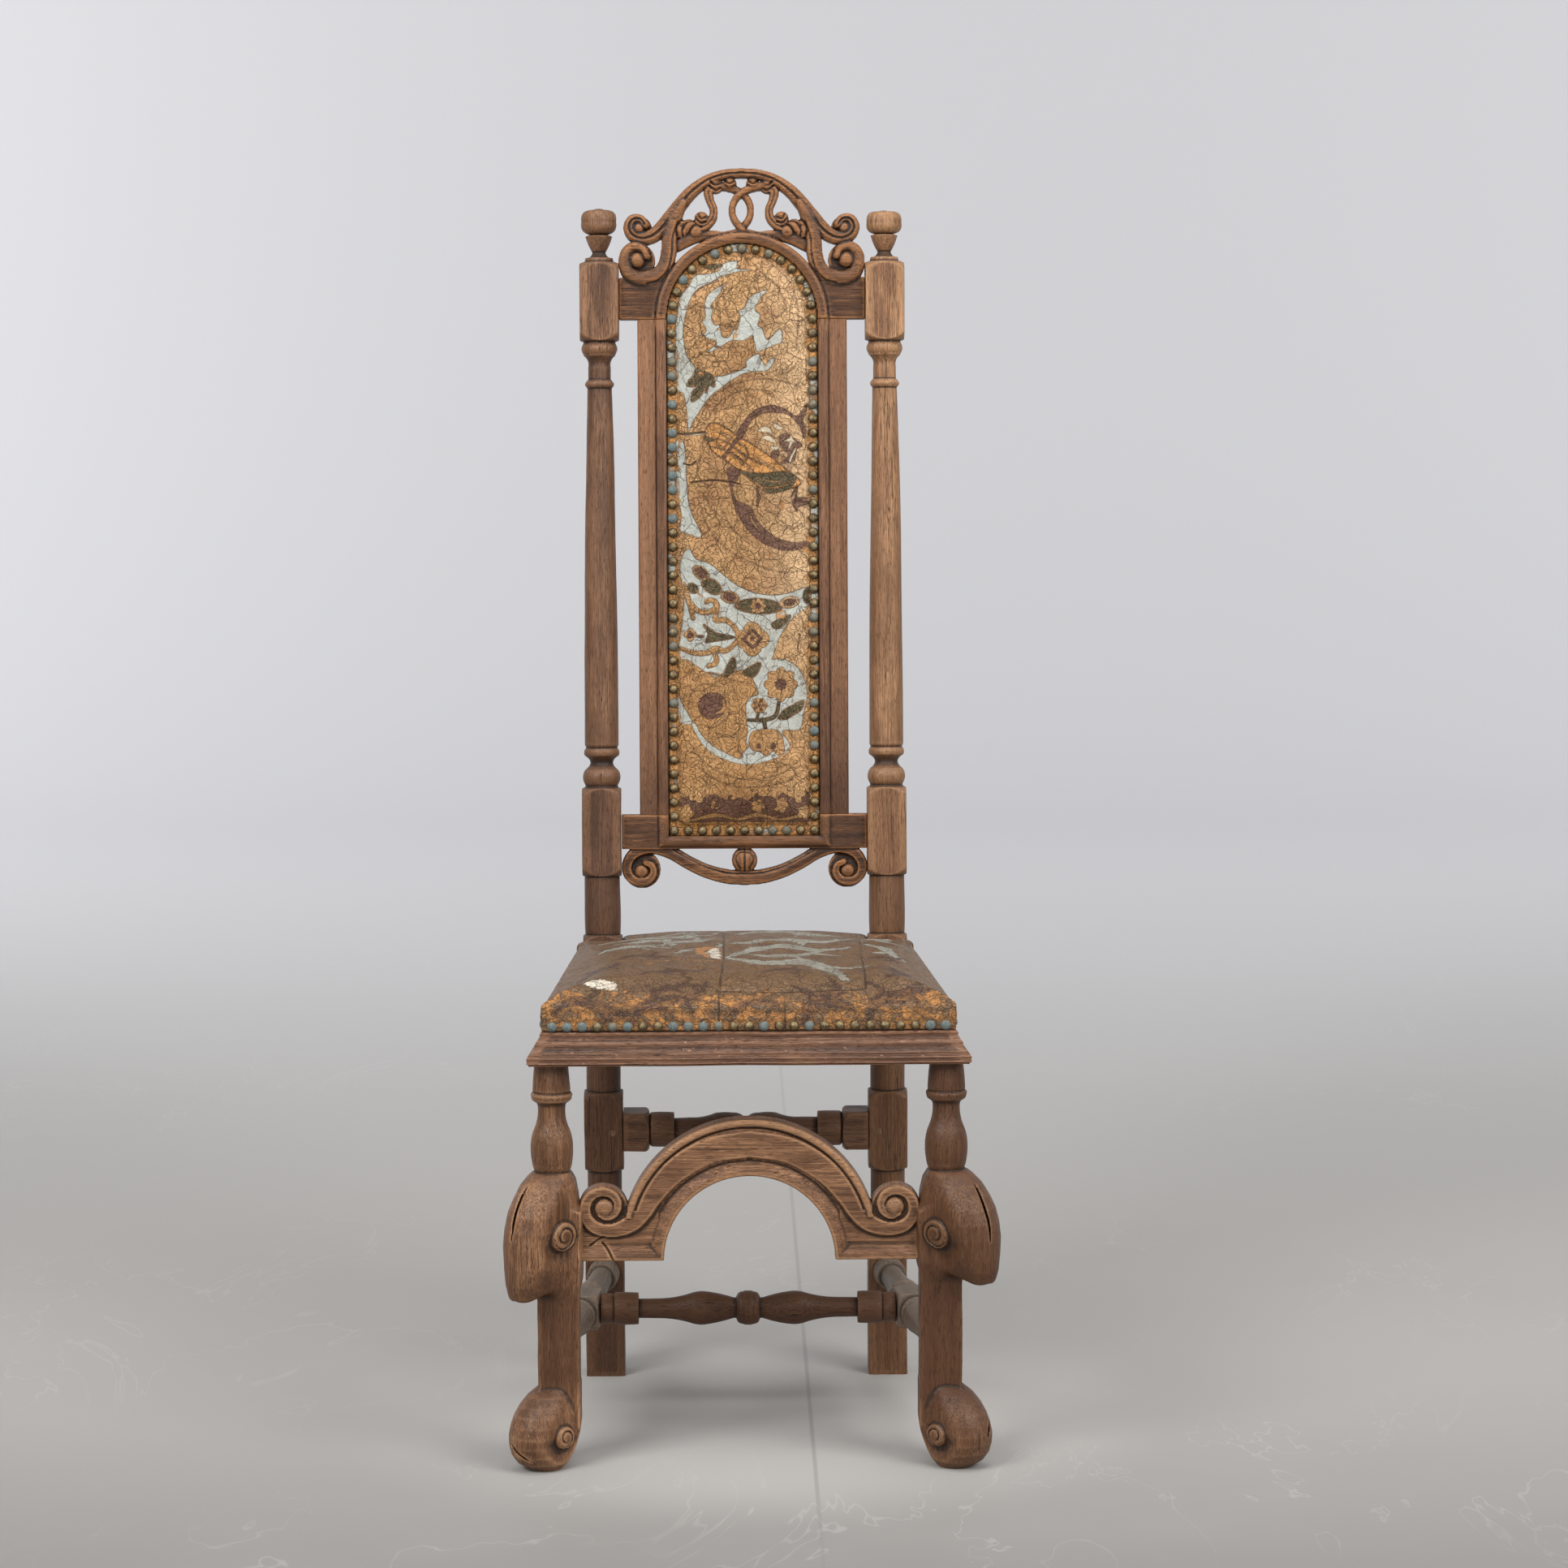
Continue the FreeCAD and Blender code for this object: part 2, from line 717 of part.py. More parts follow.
# Seat frame
seat_front = leg_y - moulding_overhang + moulding_reach
side_run = V(seat_rear_half_width - seat_front_half_width, -post_half - seat_front, 0)
side_length = side_run.Length
side_along = side_run * (1 / side_length)
side_out = V(side_along.y, -side_along.x, 0)
front_corner = V(seat_front_half_width, seat_front, 0)
mitre = V((1 + side_out.y) / side_out.x, -1, 0)


def rail_section():
    """Seat rail section as outward reach, height and bulge, with its moulded lower edge."""
    full = moulding_reach
    bead = seat_bottom + bead_height
    cap = moulding_top - cap_height
    return [(-seat_rail_thickness, seat_bottom, 0), (full - bead_tuck, seat_bottom, 0),
            (full - bead_tuck + round_over, bead, bead_round), (full - bead_tuck - step / 2, bead, 0),
            (full - bead_tuck - step / 2 - cyma_reach, cap, -cyma_hollow), (cap_reach, cap, 0),
            (cap_reach, moulding_top - fillet, step / 2), (cap_reach - fillet, moulding_top, 0),
            (0, moulding_top, 0), (0, seat_top, 0), (-seat_rail_thickness, seat_top, 0)]


def moulded_rail(start, along, outward, length):
    """Rail from start along its run, with its section drawn outward and up."""
    rows = rail_section()
    points = [start + outward * reach + Z_AXIS * height for reach, height, bulge in rows]
    edges = [bulged_edge(points[i - 1], points[i], rows[i][2], along) for i in range(1, len(points))]
    edges.append(Part.LineSegment(points[-1], points[0]).toShape())
    return Part.Face(Part.Wire(edges)).extrude(along * length)


def front_zone():
    """Plan of everything in front of the two mitres."""
    reach = 2 * seat_rail_thickness
    outer = front_corner + mitre * reach
    inner = front_corner - mitre * reach
    right = [V(outer.x, outer.y, 0), V(inner.x, inner.y, 0)]
    points = right + [V(-spot.x, spot.y, 0) for spot in reversed(right)]
    return polygon_prism(points, V(0, 0, 2 * seat_top))


def corner_tongue(gap):
    """Tongue of the right side rail that crosses the mitre into the front rail."""
    inset = corner_tongue_inset
    middle = front_corner - side_out * inset
    root = middle + side_along * (2 * inset)
    tip = middle + side_along * (inset - corner_tongue_length - gap)
    half = corner_tongue_width / 2 + gap
    low = seat_bottom + (seat_rail_height - corner_tongue_height) / 2 - gap
    points = [root + side_out * half, tip + side_out * half, tip - side_out * half, root - side_out * half]
    return polygon_prism([p + Z_AXIS * low for p in points], Z_AXIS * (corner_tongue_height + 2 * gap))


def leg_tenon_holes():
    depth = leg_tenon_length + joint_gap
    return paired(cylinder(leg_tenon_radius + joint_gap, depth, V(leg_x, leg_y, seat_bottom), Z_AXIS))


def side_rail_tenon(gap):
    half = tenon_thickness / 2 + gap
    x_mid = post_x + side_tenon_offset
    z0 = seat_bottom + tenon_shoulder - gap
    z1 = seat_top - tenon_shoulder + gap
    front = -post_half - tenon_root
    return box(x_mid - half, x_mid + half, front, -post_half + tenon_length + gap, z0, z1)


def rounded_corners():
    """Everything outside the seat's rounded plan, above the moulding, that the rails leave clear."""
    reach = 4 * leg_x
    plan = Part.Face(seat_outline(0, moulding_top)).extrude(V(0, 0, seat_rail_height))
    return box(-reach, reach, -reach, reach, moulding_top, seat_top + fillet).cut(plan)


def seat_front_rail():
    start = V(-seat_front_half_width - 2 * moulding_reach, seat_front, 0)
    length = 2 * (seat_front_half_width + 2 * moulding_reach)
    rail = moulded_rail(start, X_AXIS, V(0, -1, 0), length).common(front_zone())
    tongue = corner_tongue(joint_gap)
    return cut_all(rail, [tongue, mirrored(tongue), rounded_corners()] + leg_tenon_holes())


def seat_side_rail():
    start = front_corner - side_along * (2 * moulding_reach)
    rail = moulded_rail(start, side_along, side_out, side_length + 4 * moulding_reach)
    behind = box(0, 2 * leg_x, -post_half, leg_to_post, 0, 2 * seat_top)
    rail = cut_all(rail, [front_zone(), behind, rounded_corners()])
    rail = fuse_all([rail, corner_tongue(0), side_rail_tenon(0)])
    return cut_all(rail, leg_tenon_holes())


back_rail_y0 = back_rail_offset - back_rail_thickness / 2
back_rail_y1 = back_rail_offset + back_rail_thickness / 2


def back_rail_tenon(gap):
    half = back_rail_tenon_thickness / 2 + gap
    z0 = seat_bottom + 2 * tenon_shoulder - gap
    z1 = seat_top - 2 * tenon_shoulder + gap
    end = post_inner + back_rail_tenon_length + gap
    return both_sides(post_inner - tenon_root, end, back_rail_offset - half, back_rail_offset + half, z0, z1)


def seat_back_rail():
    low = seat_bottom + tenon_shoulder / 2
    body = box(-post_inner, post_inner, back_rail_y0, back_rail_y1, low, seat_top)
    return fuse_all([body] + back_rail_tenon(0))


# Seat upholstery
cloth_bottom = seat_top + 2 * webbing_thickness
cloth_top = cloth_bottom + base_cloth_thickness


def seat_outline(inset, height):
    """Trapezoid plan of the seat with rounded corners, drawn in by inset on all sides."""
    front = seat_front + inset
    rear = back_rail_y1 - inset
    slope = side_along.x / side_along.y
    widen = inset / side_out.x
    half_front = seat_front_half_width - widen + slope * (front - seat_front)
    half_rear = seat_front_half_width - widen + slope * (rear - seat_front)
    r = max(seat_corner_radius - inset, seat_least_radius)
    corners = [V(-half_front, front, height), V(half_front, front, height),
               V(half_rear, rear, height), V(-half_rear, rear, height)]
    edges = []
    starts = []
    for i in range(4):
        here = corners[i]
        before = (corners[i - 1] - here).normalize()
        after = (corners[(i + 1) % 4] - here).normalize()
        bisector = (before + after).normalize()
        half_angle = before.getAngle(after) / 2
        reach = r / tan(half_angle)
        middle = here + bisector * (r / sin(half_angle) - r)
        starts.append((here + before * reach, middle, here + after * reach))
    for i in range(4):
        enter, middle, leave = starts[i]
        edges.append(Part.Arc(enter, middle, leave).toShape())
        edges.append(Part.LineSegment(leave, starts[(i + 1) % 4][0]).toShape())
    return Part.Wire(edges)


def seat_form(skin):
    """Stuffed form of the seat: drawn in at the nails, swelling above them, crowned on top."""
    low = moulding_top + soft_gap
    edge = seat_top - seat_roll_radius / 2
    top = cloth_top + leather_thickness + seat_crown - skin
    nailed = low + 2 * nail_inset + soft_gap
    levels = [(seat_draw, low), (seat_draw, nailed), (0, (nailed + edge) / 2), (0, edge)]
    for i in range(1, crown_steps + 1):
        angle = pi / 2 * i / crown_steps
        levels.append((seat_crown_run * (1 - cos(angle)) ** 1.6, edge + (top - edge) * sin(angle) ** 0.7))
    swell = skin - leather_thickness - seat_draw - soft_gap
    wires = [seat_outline(swell + drawn, height) for drawn, height in levels]
    return Part.makeLoft(wires, True, True)


def post_clearance():
    half = post_half + soft_gap
    reach = leg_to_post
    right = box(post_x - half, post_x + reach, -half, reach, seat_bottom, 2 * seat_top)
    return [right, mirrored(right)]


def seat_base_cloth():
    sheet = Part.Face(seat_outline(base_cloth_inset, cloth_bottom)).extrude(V(0, 0, base_cloth_thickness))
    return cut_all(sheet, post_clearance())


def seat_stuffing():
    low = cloth_top + soft_gap / 3
    above = box(-2 * leg_x, 2 * leg_x, -2 * leg_to_post, leg_to_post, low, 2 * seat_top)
    form = seat_form(leather_thickness + soft_gap).common(above)
    return cut_all(form, post_clearance())


def seat_leather(shanks):
    shell = seat_form(0).cut(seat_form(leather_thickness))
    return cut_all(shell, post_clearance() + shanks)


def webbing_columns():
    free = 2 * (post_inner - webbing_width / 2)
    return [-free / 2 + free * i / (webbing_count - 1) for i in range(webbing_count)]


def webbing_rows():
    front = seat_front + seat_rail_thickness
    rear = back_rail_y0
    return [front + (rear - front) * (i + 0.5) / webbing_count for i in range(webbing_count)]


def frame_half_width(y):
    """Half width of the seat frame's outer face at a depth."""
    return seat_front_half_width + side_along.x / side_along.y * (y - seat_front)


def seat_webbing():
    half = webbing_width / 2
    low = seat_top + webbing_thickness
    front = seat_front + webbing_lap
    strips = [box(x - half, x + half, front, back_rail_y1 - fillet, seat_top, low) for x in webbing_columns()]
    for y in webbing_rows():
        reach = frame_half_width(y + half) - webbing_lap
        strips.append(box(-reach, reach, y - half, y + half, low, low + webbing_thickness))
    return Part.makeCompound(strips)


def seat_nail_places():
    """Places and outward directions of the nails along the front, both sides and the back of the seat."""
    height = moulding_top + nail_inset + soft_gap
    skin = leather_thickness + soft_gap
    inset = seat_corner_radius / 2
    run = 2 * (seat_front_half_width - inset)
    face = seat_front - skin
    places = [(V(at - run / 2, face, height), V(0, -1, 0)) for at in spaced(run, seat_nail_pitch)]
    side_run_length = side_length - seat_corner_radius - nail_head_radius
    for at in spaced(side_run_length, seat_nail_pitch):
        spot = front_corner + side_along * (seat_corner_radius + at) + side_out * skin + Z_AXIS * height
        places.append((spot, side_out))
        places.append((V(-spot.x, spot.y, spot.z), V(-side_out.x, side_out.y, 0)))
    rear_run = 2 * (post_inner - nail_head_radius - soft_gap)
    for at in spaced(rear_run, seat_nail_pitch):
        places.append((V(at - rear_run / 2, back_rail_y1 + skin, height), Y_AXIS))
    return places


# Front legs
def leg_turning():
    """Vase, neck and bead under a plain cone, with the round tenon that enters the seat frame."""
    low = seat_bottom - leg_turning_height
    bead = leg_bead_radius - bead_swell
    members = [(0, leg_foot_radius, 0), (leg_vase_height, leg_vase_radius, ring_swell),
               (leg_taper_height, leg_neck_radius, -bead_swell), (leg_neck_height, leg_neck_radius, 0),
               (leg_cove_height, bead, -ring_swell), (leg_bead_height, bead, bead_swell)]
    rows = [(low - leg_root, leg_foot_radius - step, 0)] + stack(low, members)
    rows += [(seat_bottom, leg_cone_top_radius, ring_swell), (seat_bottom, leg_tenon_radius, 0),
             (seat_bottom + leg_tenon_length, leg_tenon_radius, 0)]
    return turned(rows)


def leg_section(inner, outer, nose, height):
    """Plan of the scroll at one height: square rear corner, slanting flanks and a round nose between them."""
    centre = nose - outer
    half_arc = radians(leg_nose_turn)
    middle = radians(225)
    front = V(centre + nose * cos(middle + half_arc), centre + nose * sin(middle + half_arc), height)
    tip = V(centre + nose * cos(middle), centre + nose * sin(middle), height)
    side = V(front.y, front.x, height)
    meet = min(front.y + (inner - front.x), inner - leg_least_flat)
    corner = V(inner, inner, height)
    inner_meet = V(inner, meet, height)
    rear_meet = V(meet, inner, height)
    edges = [Part.LineSegment(corner, rear_meet).toShape(), Part.LineSegment(rear_meet, side).toShape(),
             Part.Arc(side, tip, front).toShape(), Part.LineSegment(front, inner_meet).toShape(),
             Part.LineSegment(inner_meet, corner).toShape()]
    return Part.Wire(edges)


def scroll(rows, reach, start, rise):
    """Loft through plans of the scroll; rows are shares of the leg's half width, reach, nose and height."""
    half = leg_inner_half
    wires = [leg_section(inner * half, out * reach, nose * half, start + up * rise)
             for inner, out, nose, up in rows]
    return Part.makeLoft(wires, True, False)


def knee(reach, tip):
    top = seat_bottom - leg_turning_height
    rows = [(0.68, 0.40, 0.68, 0), (0.93, 0.58, 0.79, 0.11), (1, 0.75, 0.89, 0.22), (1, 0.89, 1, 0.36),
            (1, 1, 1.07, 0.62), (1, 0.94, 1.04, 0.84), (1, 0.86, 0.96, 0.965), (1, 0.78, 0.89, 1)]
    return scroll(rows, reach, top, tip - top)


def foot():
    rows = [(0.29, 0.58, 0.68, 0), (0.55, 0.81, 0.86, 0.1), (0.8, 0.97, 1, 0.3), (0.95, 1, 1.04, 0.46),
            (1, 0.95, 1, 0.62), (1, 0.80, 0.89, 0.8), (1, 0.58, 0.75, 0.94), (1, 0.36, 0.61, 1)]
    return scroll(rows, foot_reach, 0, foot_height)


def leg_eye(height, outer, inner, depth):
    """Sunk ring that leaves the round eye of a scroll on both flanks of the leg."""
    flank = V(1, -1, 0).normalize()
    along = V(-1, -1, 0).normalize() * leg_eye_offset
    rings = []
    for way in (1, -1):
        start = along + flank * (way * (leg_flank - depth)) + Z_AXIS * height
        tube = cylinder(outer, leg_inner_half, start, flank * way)
        rings.append(tube.cut(cylinder(inner, leg_inner_half, start, flank * way)))
    return rings


def front_leg(side, reach, tip):
    """Leg built for the left corner about its turning axis, mirrored for the right one."""
    low = -leg_outer_half
    high = leg_inner_half
    shaft = box(low, high, low, high, foot_height / 2, seat_bottom - leg_turning_height - shaft_root)
    body = fuse_all([leg_turning(), knee(reach, tip), shaft, foot()])
    eyes = leg_eye(leg_volute_height, leg_volute_radius, leg_button_radius, leg_volute_depth)
    eyes += leg_eye(foot_volute_height, foot_volute_radius, foot_button_radius, foot_volute_depth)
    eyes.append(box(-leg_x, leg_x, -leg_x, leg_x, -foot_height, 0))
    body = cut_all(body, eyes)
    body.translate(V(-leg_x, leg_y, 0))
    return body if side < 0 else mirrored(body)


# Front stretcher
arch_end = leg_x - leg_inner_half - joint_gap
arch_y = leg_y + arch_setback
arch_front = arch_y - arch_thickness / 2
arch_rear = arch_y + arch_thickness / 2


def arch_tenons(gap):
    half = arch_tenon_thickness / 2 + gap
    z0 = arch_bottom + arch_tenon_shoulder - gap
    z1 = arch_bottom + arch_block_height - arch_tenon_shoulder + gap
    end = arch_end + tenon_length + gap
    return both_sides(arch_end - tenon_root, end, arch_y - half, arch_y + half, z0, z1)


def front_stretcher():
    """Arched board with a beaded outer edge, a line round its opening and a volute over each end block."""
    top = arch_bottom + arch_rise
    centre = top - arch_outer_radius
    proud = arch_front - arch_band_depth
    eye_x = arch_end - arch_volute_inset
    eye_z = arch_bottom + arch_volute_height
    block_top = arch_bottom + arch_block_height
    above = box(-arch_end, arch_end, proud, arch_rear, arch_bottom, top)
    bead_inner = arch_outer_radius - arch_bead_width
    parts = [ring(0, centre, arch_outer_radius, 0, arch_front, arch_rear).common(above),
             ring(0, centre, arch_outer_radius, bead_inner, proud, arch_rear).common(above)]
    parts += both_sides(arch_radius / 2, arch_end, arch_front, arch_rear, arch_bottom, block_top)
    parts += both_sides(arch_radius / 2, arch_end, proud, arch_rear, arch_bottom, arch_bottom + arch_plinth)
    parts += paired(volute(eye_x, eye_z, arch_volute_radius, arch_button_radius, proud - fillet, arch_rear))
    front = V(0, arch_front - arch_thickness, arch_bottom)
    opening = cylinder(arch_radius, 4 * arch_thickness, front, Y_AXIS)
    line = arch_radius + arch_edge_width
    groove = ring(0, arch_bottom, line, line - arch_groove, proud, arch_front + arch_groove)
    groove = groove.common(box(-arch_end, arch_end, proud, arch_rear, block_top, bead_inner + centre))
    return fuse_all([cut_all(fuse_all(parts), [opening, groove])] + arch_tenons(0))


# Turned stretchers
side_start = V(-(leg_x - (leg_inner_half - leg_outer_half) / 2), leg_y + leg_inner_half, low_stretcher_height)
side_end = V(-post_x, -post_half, low_stretcher_height)
side_axis = (side_end - side_start).normalize()
side_span = (side_end - side_start).Length


def side_stretcher_tenons(gap):
    reach = round_tenon_length + gap
    start = side_start - side_axis * reach
    return cylinder(round_tenon_radius + gap, side_span + 2 * reach, start, side_axis)


def side_stretcher():
    mid = side_span / 2
    block = side_block_length / 2
    wide = side_stretcher_block / 2 * sqrt(2) + round_over
    neck = block + side_collar_length
    vase = block + collar_length
    collar = mid - collar_length
    half = [(0, wide, 0), (block - side_block_shoulder, wide, 0),
            (block, side_end_radius - step / 2, flare_hollow),
            (neck, side_end_radius, 0), ((neck + vase) / 2, side_neck_radius, -ring_swell),
            (vase, side_end_radius, -ring_swell), (collar - fillet, side_neck_radius, bead_swell),
            (collar, side_end_radius, 0), (mid + fillet, side_end_radius - step, 0)]
    solid = squared(both_ways(half), side_stretcher_block / 2)
    body = lay(solid, (side_start + side_end) * 0.5, side_axis)
    between = box(-2 * leg_x, 0, side_start.y, side_end.y, 0, seat_bottom)
    return fuse_all([body.common(between), side_stretcher_tenons(0)])


medial_half = abs((side_start + side_end).x / 2) - side_stretcher_block / 2
medial_y = (side_start.y + side_end.y) / 2


def medial_tenons(gap):
    reach = medial_half + medial_tenon_length + gap
    return cylinder(medial_tenon_radius + gap, 2 * reach, V(-reach, medial_y, low_stretcher_height), X_AXIS)


def medial_stretcher():
    """Bead at the middle, a vase each side of it, then a thin neck and a collar that meets the side block."""
    collar = medial_half - medial_block_length - collar_length
    pinch = medial_bead_half + medial_pinch
    half = [(0, medial_collar_radius, 0), (medial_bead_half, medial_collar_radius - step, flare_hollow),
            (pinch, medial_neck_radius, -ring_swell),
            (pinch + (collar - pinch) * 0.35, medial_vase_radius, -ring_swell),
            (pinch + (collar - pinch) * 0.47, medial_vase_radius - step / 2, ring_swell),
            (collar, medial_neck_radius, -2 * flare_hollow), (collar, medial_collar_radius, 0),
            (collar + collar_length, medial_collar_radius, 0),
            (collar + collar_length, medial_collar_radius - step, 0),
            (medial_half + fillet, medial_collar_radius - step / 2, 0)]
    body = lay(turned(both_ways(half)), V(0, medial_y, low_stretcher_height), X_AXIS)
    return fuse_all([cut_all(body, paired(side_stretcher())), medial_tenons(0)])


rear_height = stretcher_block_bottom + stretcher_block_height / 2


def rear_tenons(gap):
    half = tenon_thickness / 2 + gap
    z0 = rear_height - rear_block / 2 + tenon_shoulder - gap
    z1 = rear_height + rear_block / 2 - tenon_shoulder + gap
    return both_sides(post_inner - tenon_root, post_inner + tenon_length + gap, -half, half, z0, z1)


def rear_stretcher():
    end = post_inner
    block = end - rear_block_length
    wide = rear_block / 2 * sqrt(2) + round_over
    collar = block - collar_length
    half = [(0, rear_neck_radius, 0), (collar * 0.23, rear_vase_radius, flare_hollow),
            (collar * 0.43, rear_vase_radius - round_over, round_over),
            (collar * 0.77, rear_neck_radius, -flare_hollow),
            (collar, rear_neck_radius - round_over, 0), (collar, rear_collar_radius, 0),
            (block - fillet, rear_collar_radius, 0), (block, rear_collar_radius - step, 0),
            (block + rear_block_shoulder, wide, flare_hollow), (end, wide, 0)]
    body = lay(squared(both_ways(half), rear_block / 2), V(0, 0, rear_height), X_AXIS)
    return fuse_all([body] + rear_tenons(0))


# Pegs
def peg(place, direction, length, gap):
    return cylinder(peg_radius + gap, length + gap, place, direction)


def back_pegs(gap):
    """Pegs driven from the rear through the crest rail's and lower rail's tenons."""
    pegs = []
    depth = post_half + tenon_thickness
    for low, high in (crest_tenon, rail_tenon):
        spot = V(post_inner + tenon_length / 2, post_half, (low + high) / 2)
        pegs += paired(peg(spot, V(0, -1, 0), depth, gap))
    return pegs


def stretcher_pegs(gap):
    """Pegs driven from the front through the rear stretcher, and from the rear through the arched one."""
    front = V(post_inner + tenon_length / 2, -post_half, rear_height)
    pegs = paired(peg(front, Y_AXIS, post_half + tenon_thickness, gap))
    rear = V(arch_end + tenon_length / 2, leg_y + leg_inner_half, arch_bottom + arch_block_height / 2)
    pegs += paired(peg(rear, V(0, -1, 0), leg_inner_half + arch_tenon_thickness / 2, gap))
    return pegs


def seat_pegs(gap):
    """Pegs driven from the outer sides through the side rails' tenons."""
    z = seat_bottom + seat_rail_height / 2
    spot = V(post_x + post_half, -post_half + tenon_length / 2, z)
    return paired(peg(spot, V(-1, 0, 0), post_half + tenon_thickness / 2, gap))


# Tacks
def tack(place, direction):
    return Part.makeCone(tack_radius, tack_point_radius, tack_height, place, direction)


def webbing_tacks():
    top = seat_top + webbing_thickness
    y = seat_front + tack_setback
    return [tack(V(x + way * tack_spread, y, top), Z_AXIS) for x in webbing_columns() for way in (-1, 1)]


def linen_tacks():
    half = panel_half_width - lip_width / 2 - tack_inset
    low = panel_bottom + lip_width / 2 + tack_inset
    face = frame_half + linen_thickness
    return [tack(V(x, face, z), Y_AXIS) for x, z in arched_row(half, low, tack_pitch)]


# Fit the pieces together
back_places = back_nail_places()
back_shanks = [nail(place, V(0, -1, 0), nail_gap) for place in back_places]
seat_places = seat_nail_places()
seat_shanks = [nail(place, outward, nail_gap) for place, outward in seat_places]
back_peg_holes = back_pegs(peg_gap)
stretcher_peg_holes = stretcher_pegs(peg_gap)
seat_peg_holes = seat_pegs(peg_gap)
raked_mortises = [raked(tool) for tool in mortises(*crest_tenon) + mortises(*rail_tenon) + back_peg_holes]
seat_mortises = paired(side_rail_tenon(joint_gap)) + back_rail_tenon(joint_gap) + rear_tenons(joint_gap)
side_holes = paired(side_stretcher_tenons(joint_gap))
post_tools = raked_mortises + seat_mortises + side_holes + stretcher_peg_holes + seat_peg_holes
leg_tools = arch_tenons(joint_gap) + side_holes + stretcher_peg_holes

pieces = {}
pieces["back_post_left"] = cut_all(back_post(-1, finial_height_left), post_tools)
pieces["back_post_right"] = cut_all(back_post(1, finial_height_right), post_tools)
pieces["crest_rail"] = raked(cut_all(crest_rail(), back_peg_holes + back_shanks))
right_stile = back_stile()
pieces["back_stile_right"] = raked(cut_all(right_stile, back_shanks))
pieces["back_stile_left"] = raked(cut_all(mirrored(right_stile), back_shanks))
pieces["lower_back_rail"] = raked(cut_all(lower_back_rail(), back_peg_holes + back_shanks))
pieces["back_linen"] = raked(back_linen())
pieces["back_stuffing"] = raked(back_stuffing())
pieces["back_leather"] = raked(back_leather(back_shanks))
pieces["back_nails"] = raked(Part.makeCompound([nail(place, V(0, -1, 0), 0) for place in back_places]))
pieces["back_pegs"] = raked(Part.makeCompound(back_pegs(0)))
pieces["linen_tacks"] = raked(Part.makeCompound(linen_tacks()))
pieces["seat_front_rail"] = cut_all(seat_front_rail(), seat_shanks)
side_rail = cut_all(seat_side_rail(), seat_peg_holes)
pieces["seat_side_rail_right"] = cut_all(side_rail, seat_shanks)
pieces["seat_side_rail_left"] = cut_all(mirrored(side_rail), seat_shanks)
pieces["seat_back_rail"] = cut_all(seat_back_rail(), seat_shanks)
pieces["seat_webbing"] = seat_webbing()
pieces["webbing_tacks"] = Part.makeCompound(webbing_tacks())
pieces["seat_base_cloth"] = seat_base_cloth()
pieces["seat_stuffing"] = seat_stuffing()
pieces["seat_leather"] = seat_leather(seat_shanks)
pieces["seat_nails"] = Part.makeCompound([nail(place, outward, 0) for place, outward in seat_places])
pieces["seat_pegs"] = Part.makeCompound(seat_pegs(0))
pieces["front_leg_left"] = cut_all(front_leg(-1, knee_reach_left, knee_tip_left), leg_tools)
pieces["front_leg_right"] = cut_all(front_leg(1, knee_reach_right, knee_tip_right), leg_tools)
pieces["front_stretcher"] = cut_all(front_stretcher(), stretcher_peg_holes)
side_piece = cut_all(side_stretcher(), [medial_tenons(joint_gap)])
pieces["side_stretcher_left"] = side_piece
pieces["side_stretcher_right"] = mirrored(side_piece)
pieces["medial_stretcher"] = medial_stretcher()
pieces["rear_stretcher"] = cut_all(rear_stretcher(), stretcher_peg_holes)
pieces["stretcher_pegs"] = Part.makeCompound(stretcher_pegs(0))

# Move the origin to the middle of the footprint and write the pieces
outermost = [pieces[name] for name in ("front_leg_left", "front_leg_right", "back_post_left", "crest_rail")]
boxes = [shape.optimalBoundingBox(False, False) for shape in outermost]
shift = V(0, -(min(b.YMin for b in boxes) + max(b.YMax for b in boxes)) / 2, 0)
os.makedirs("parts", exist_ok=True)
for name, shape in pieces.items():
    shape.translate(shift)
    shape.exportStep("parts/" + name + ".step")
    solids = shape.Solids
    print(name, len(solids), "solids", round(shape.Volume / 1000, 2), "cm3", "valid", shape.isValid())
print("depth", round(max(b.YMax for b in boxes) - min(b.YMin for b in boxes), 2), "shift", round(shift.y, 3))
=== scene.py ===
"""High-back chair: turned and carved wood, nailed gilt leather and a plain studio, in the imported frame."""
import json
import logging
import math
from collections.abc import Callable, Sequence
from dataclasses import dataclass, replace
from enum import Enum

import bpy
import numpy as np
import openvdb
from mathutils import Matrix, Vector
from mathutils.kdtree import KDTree

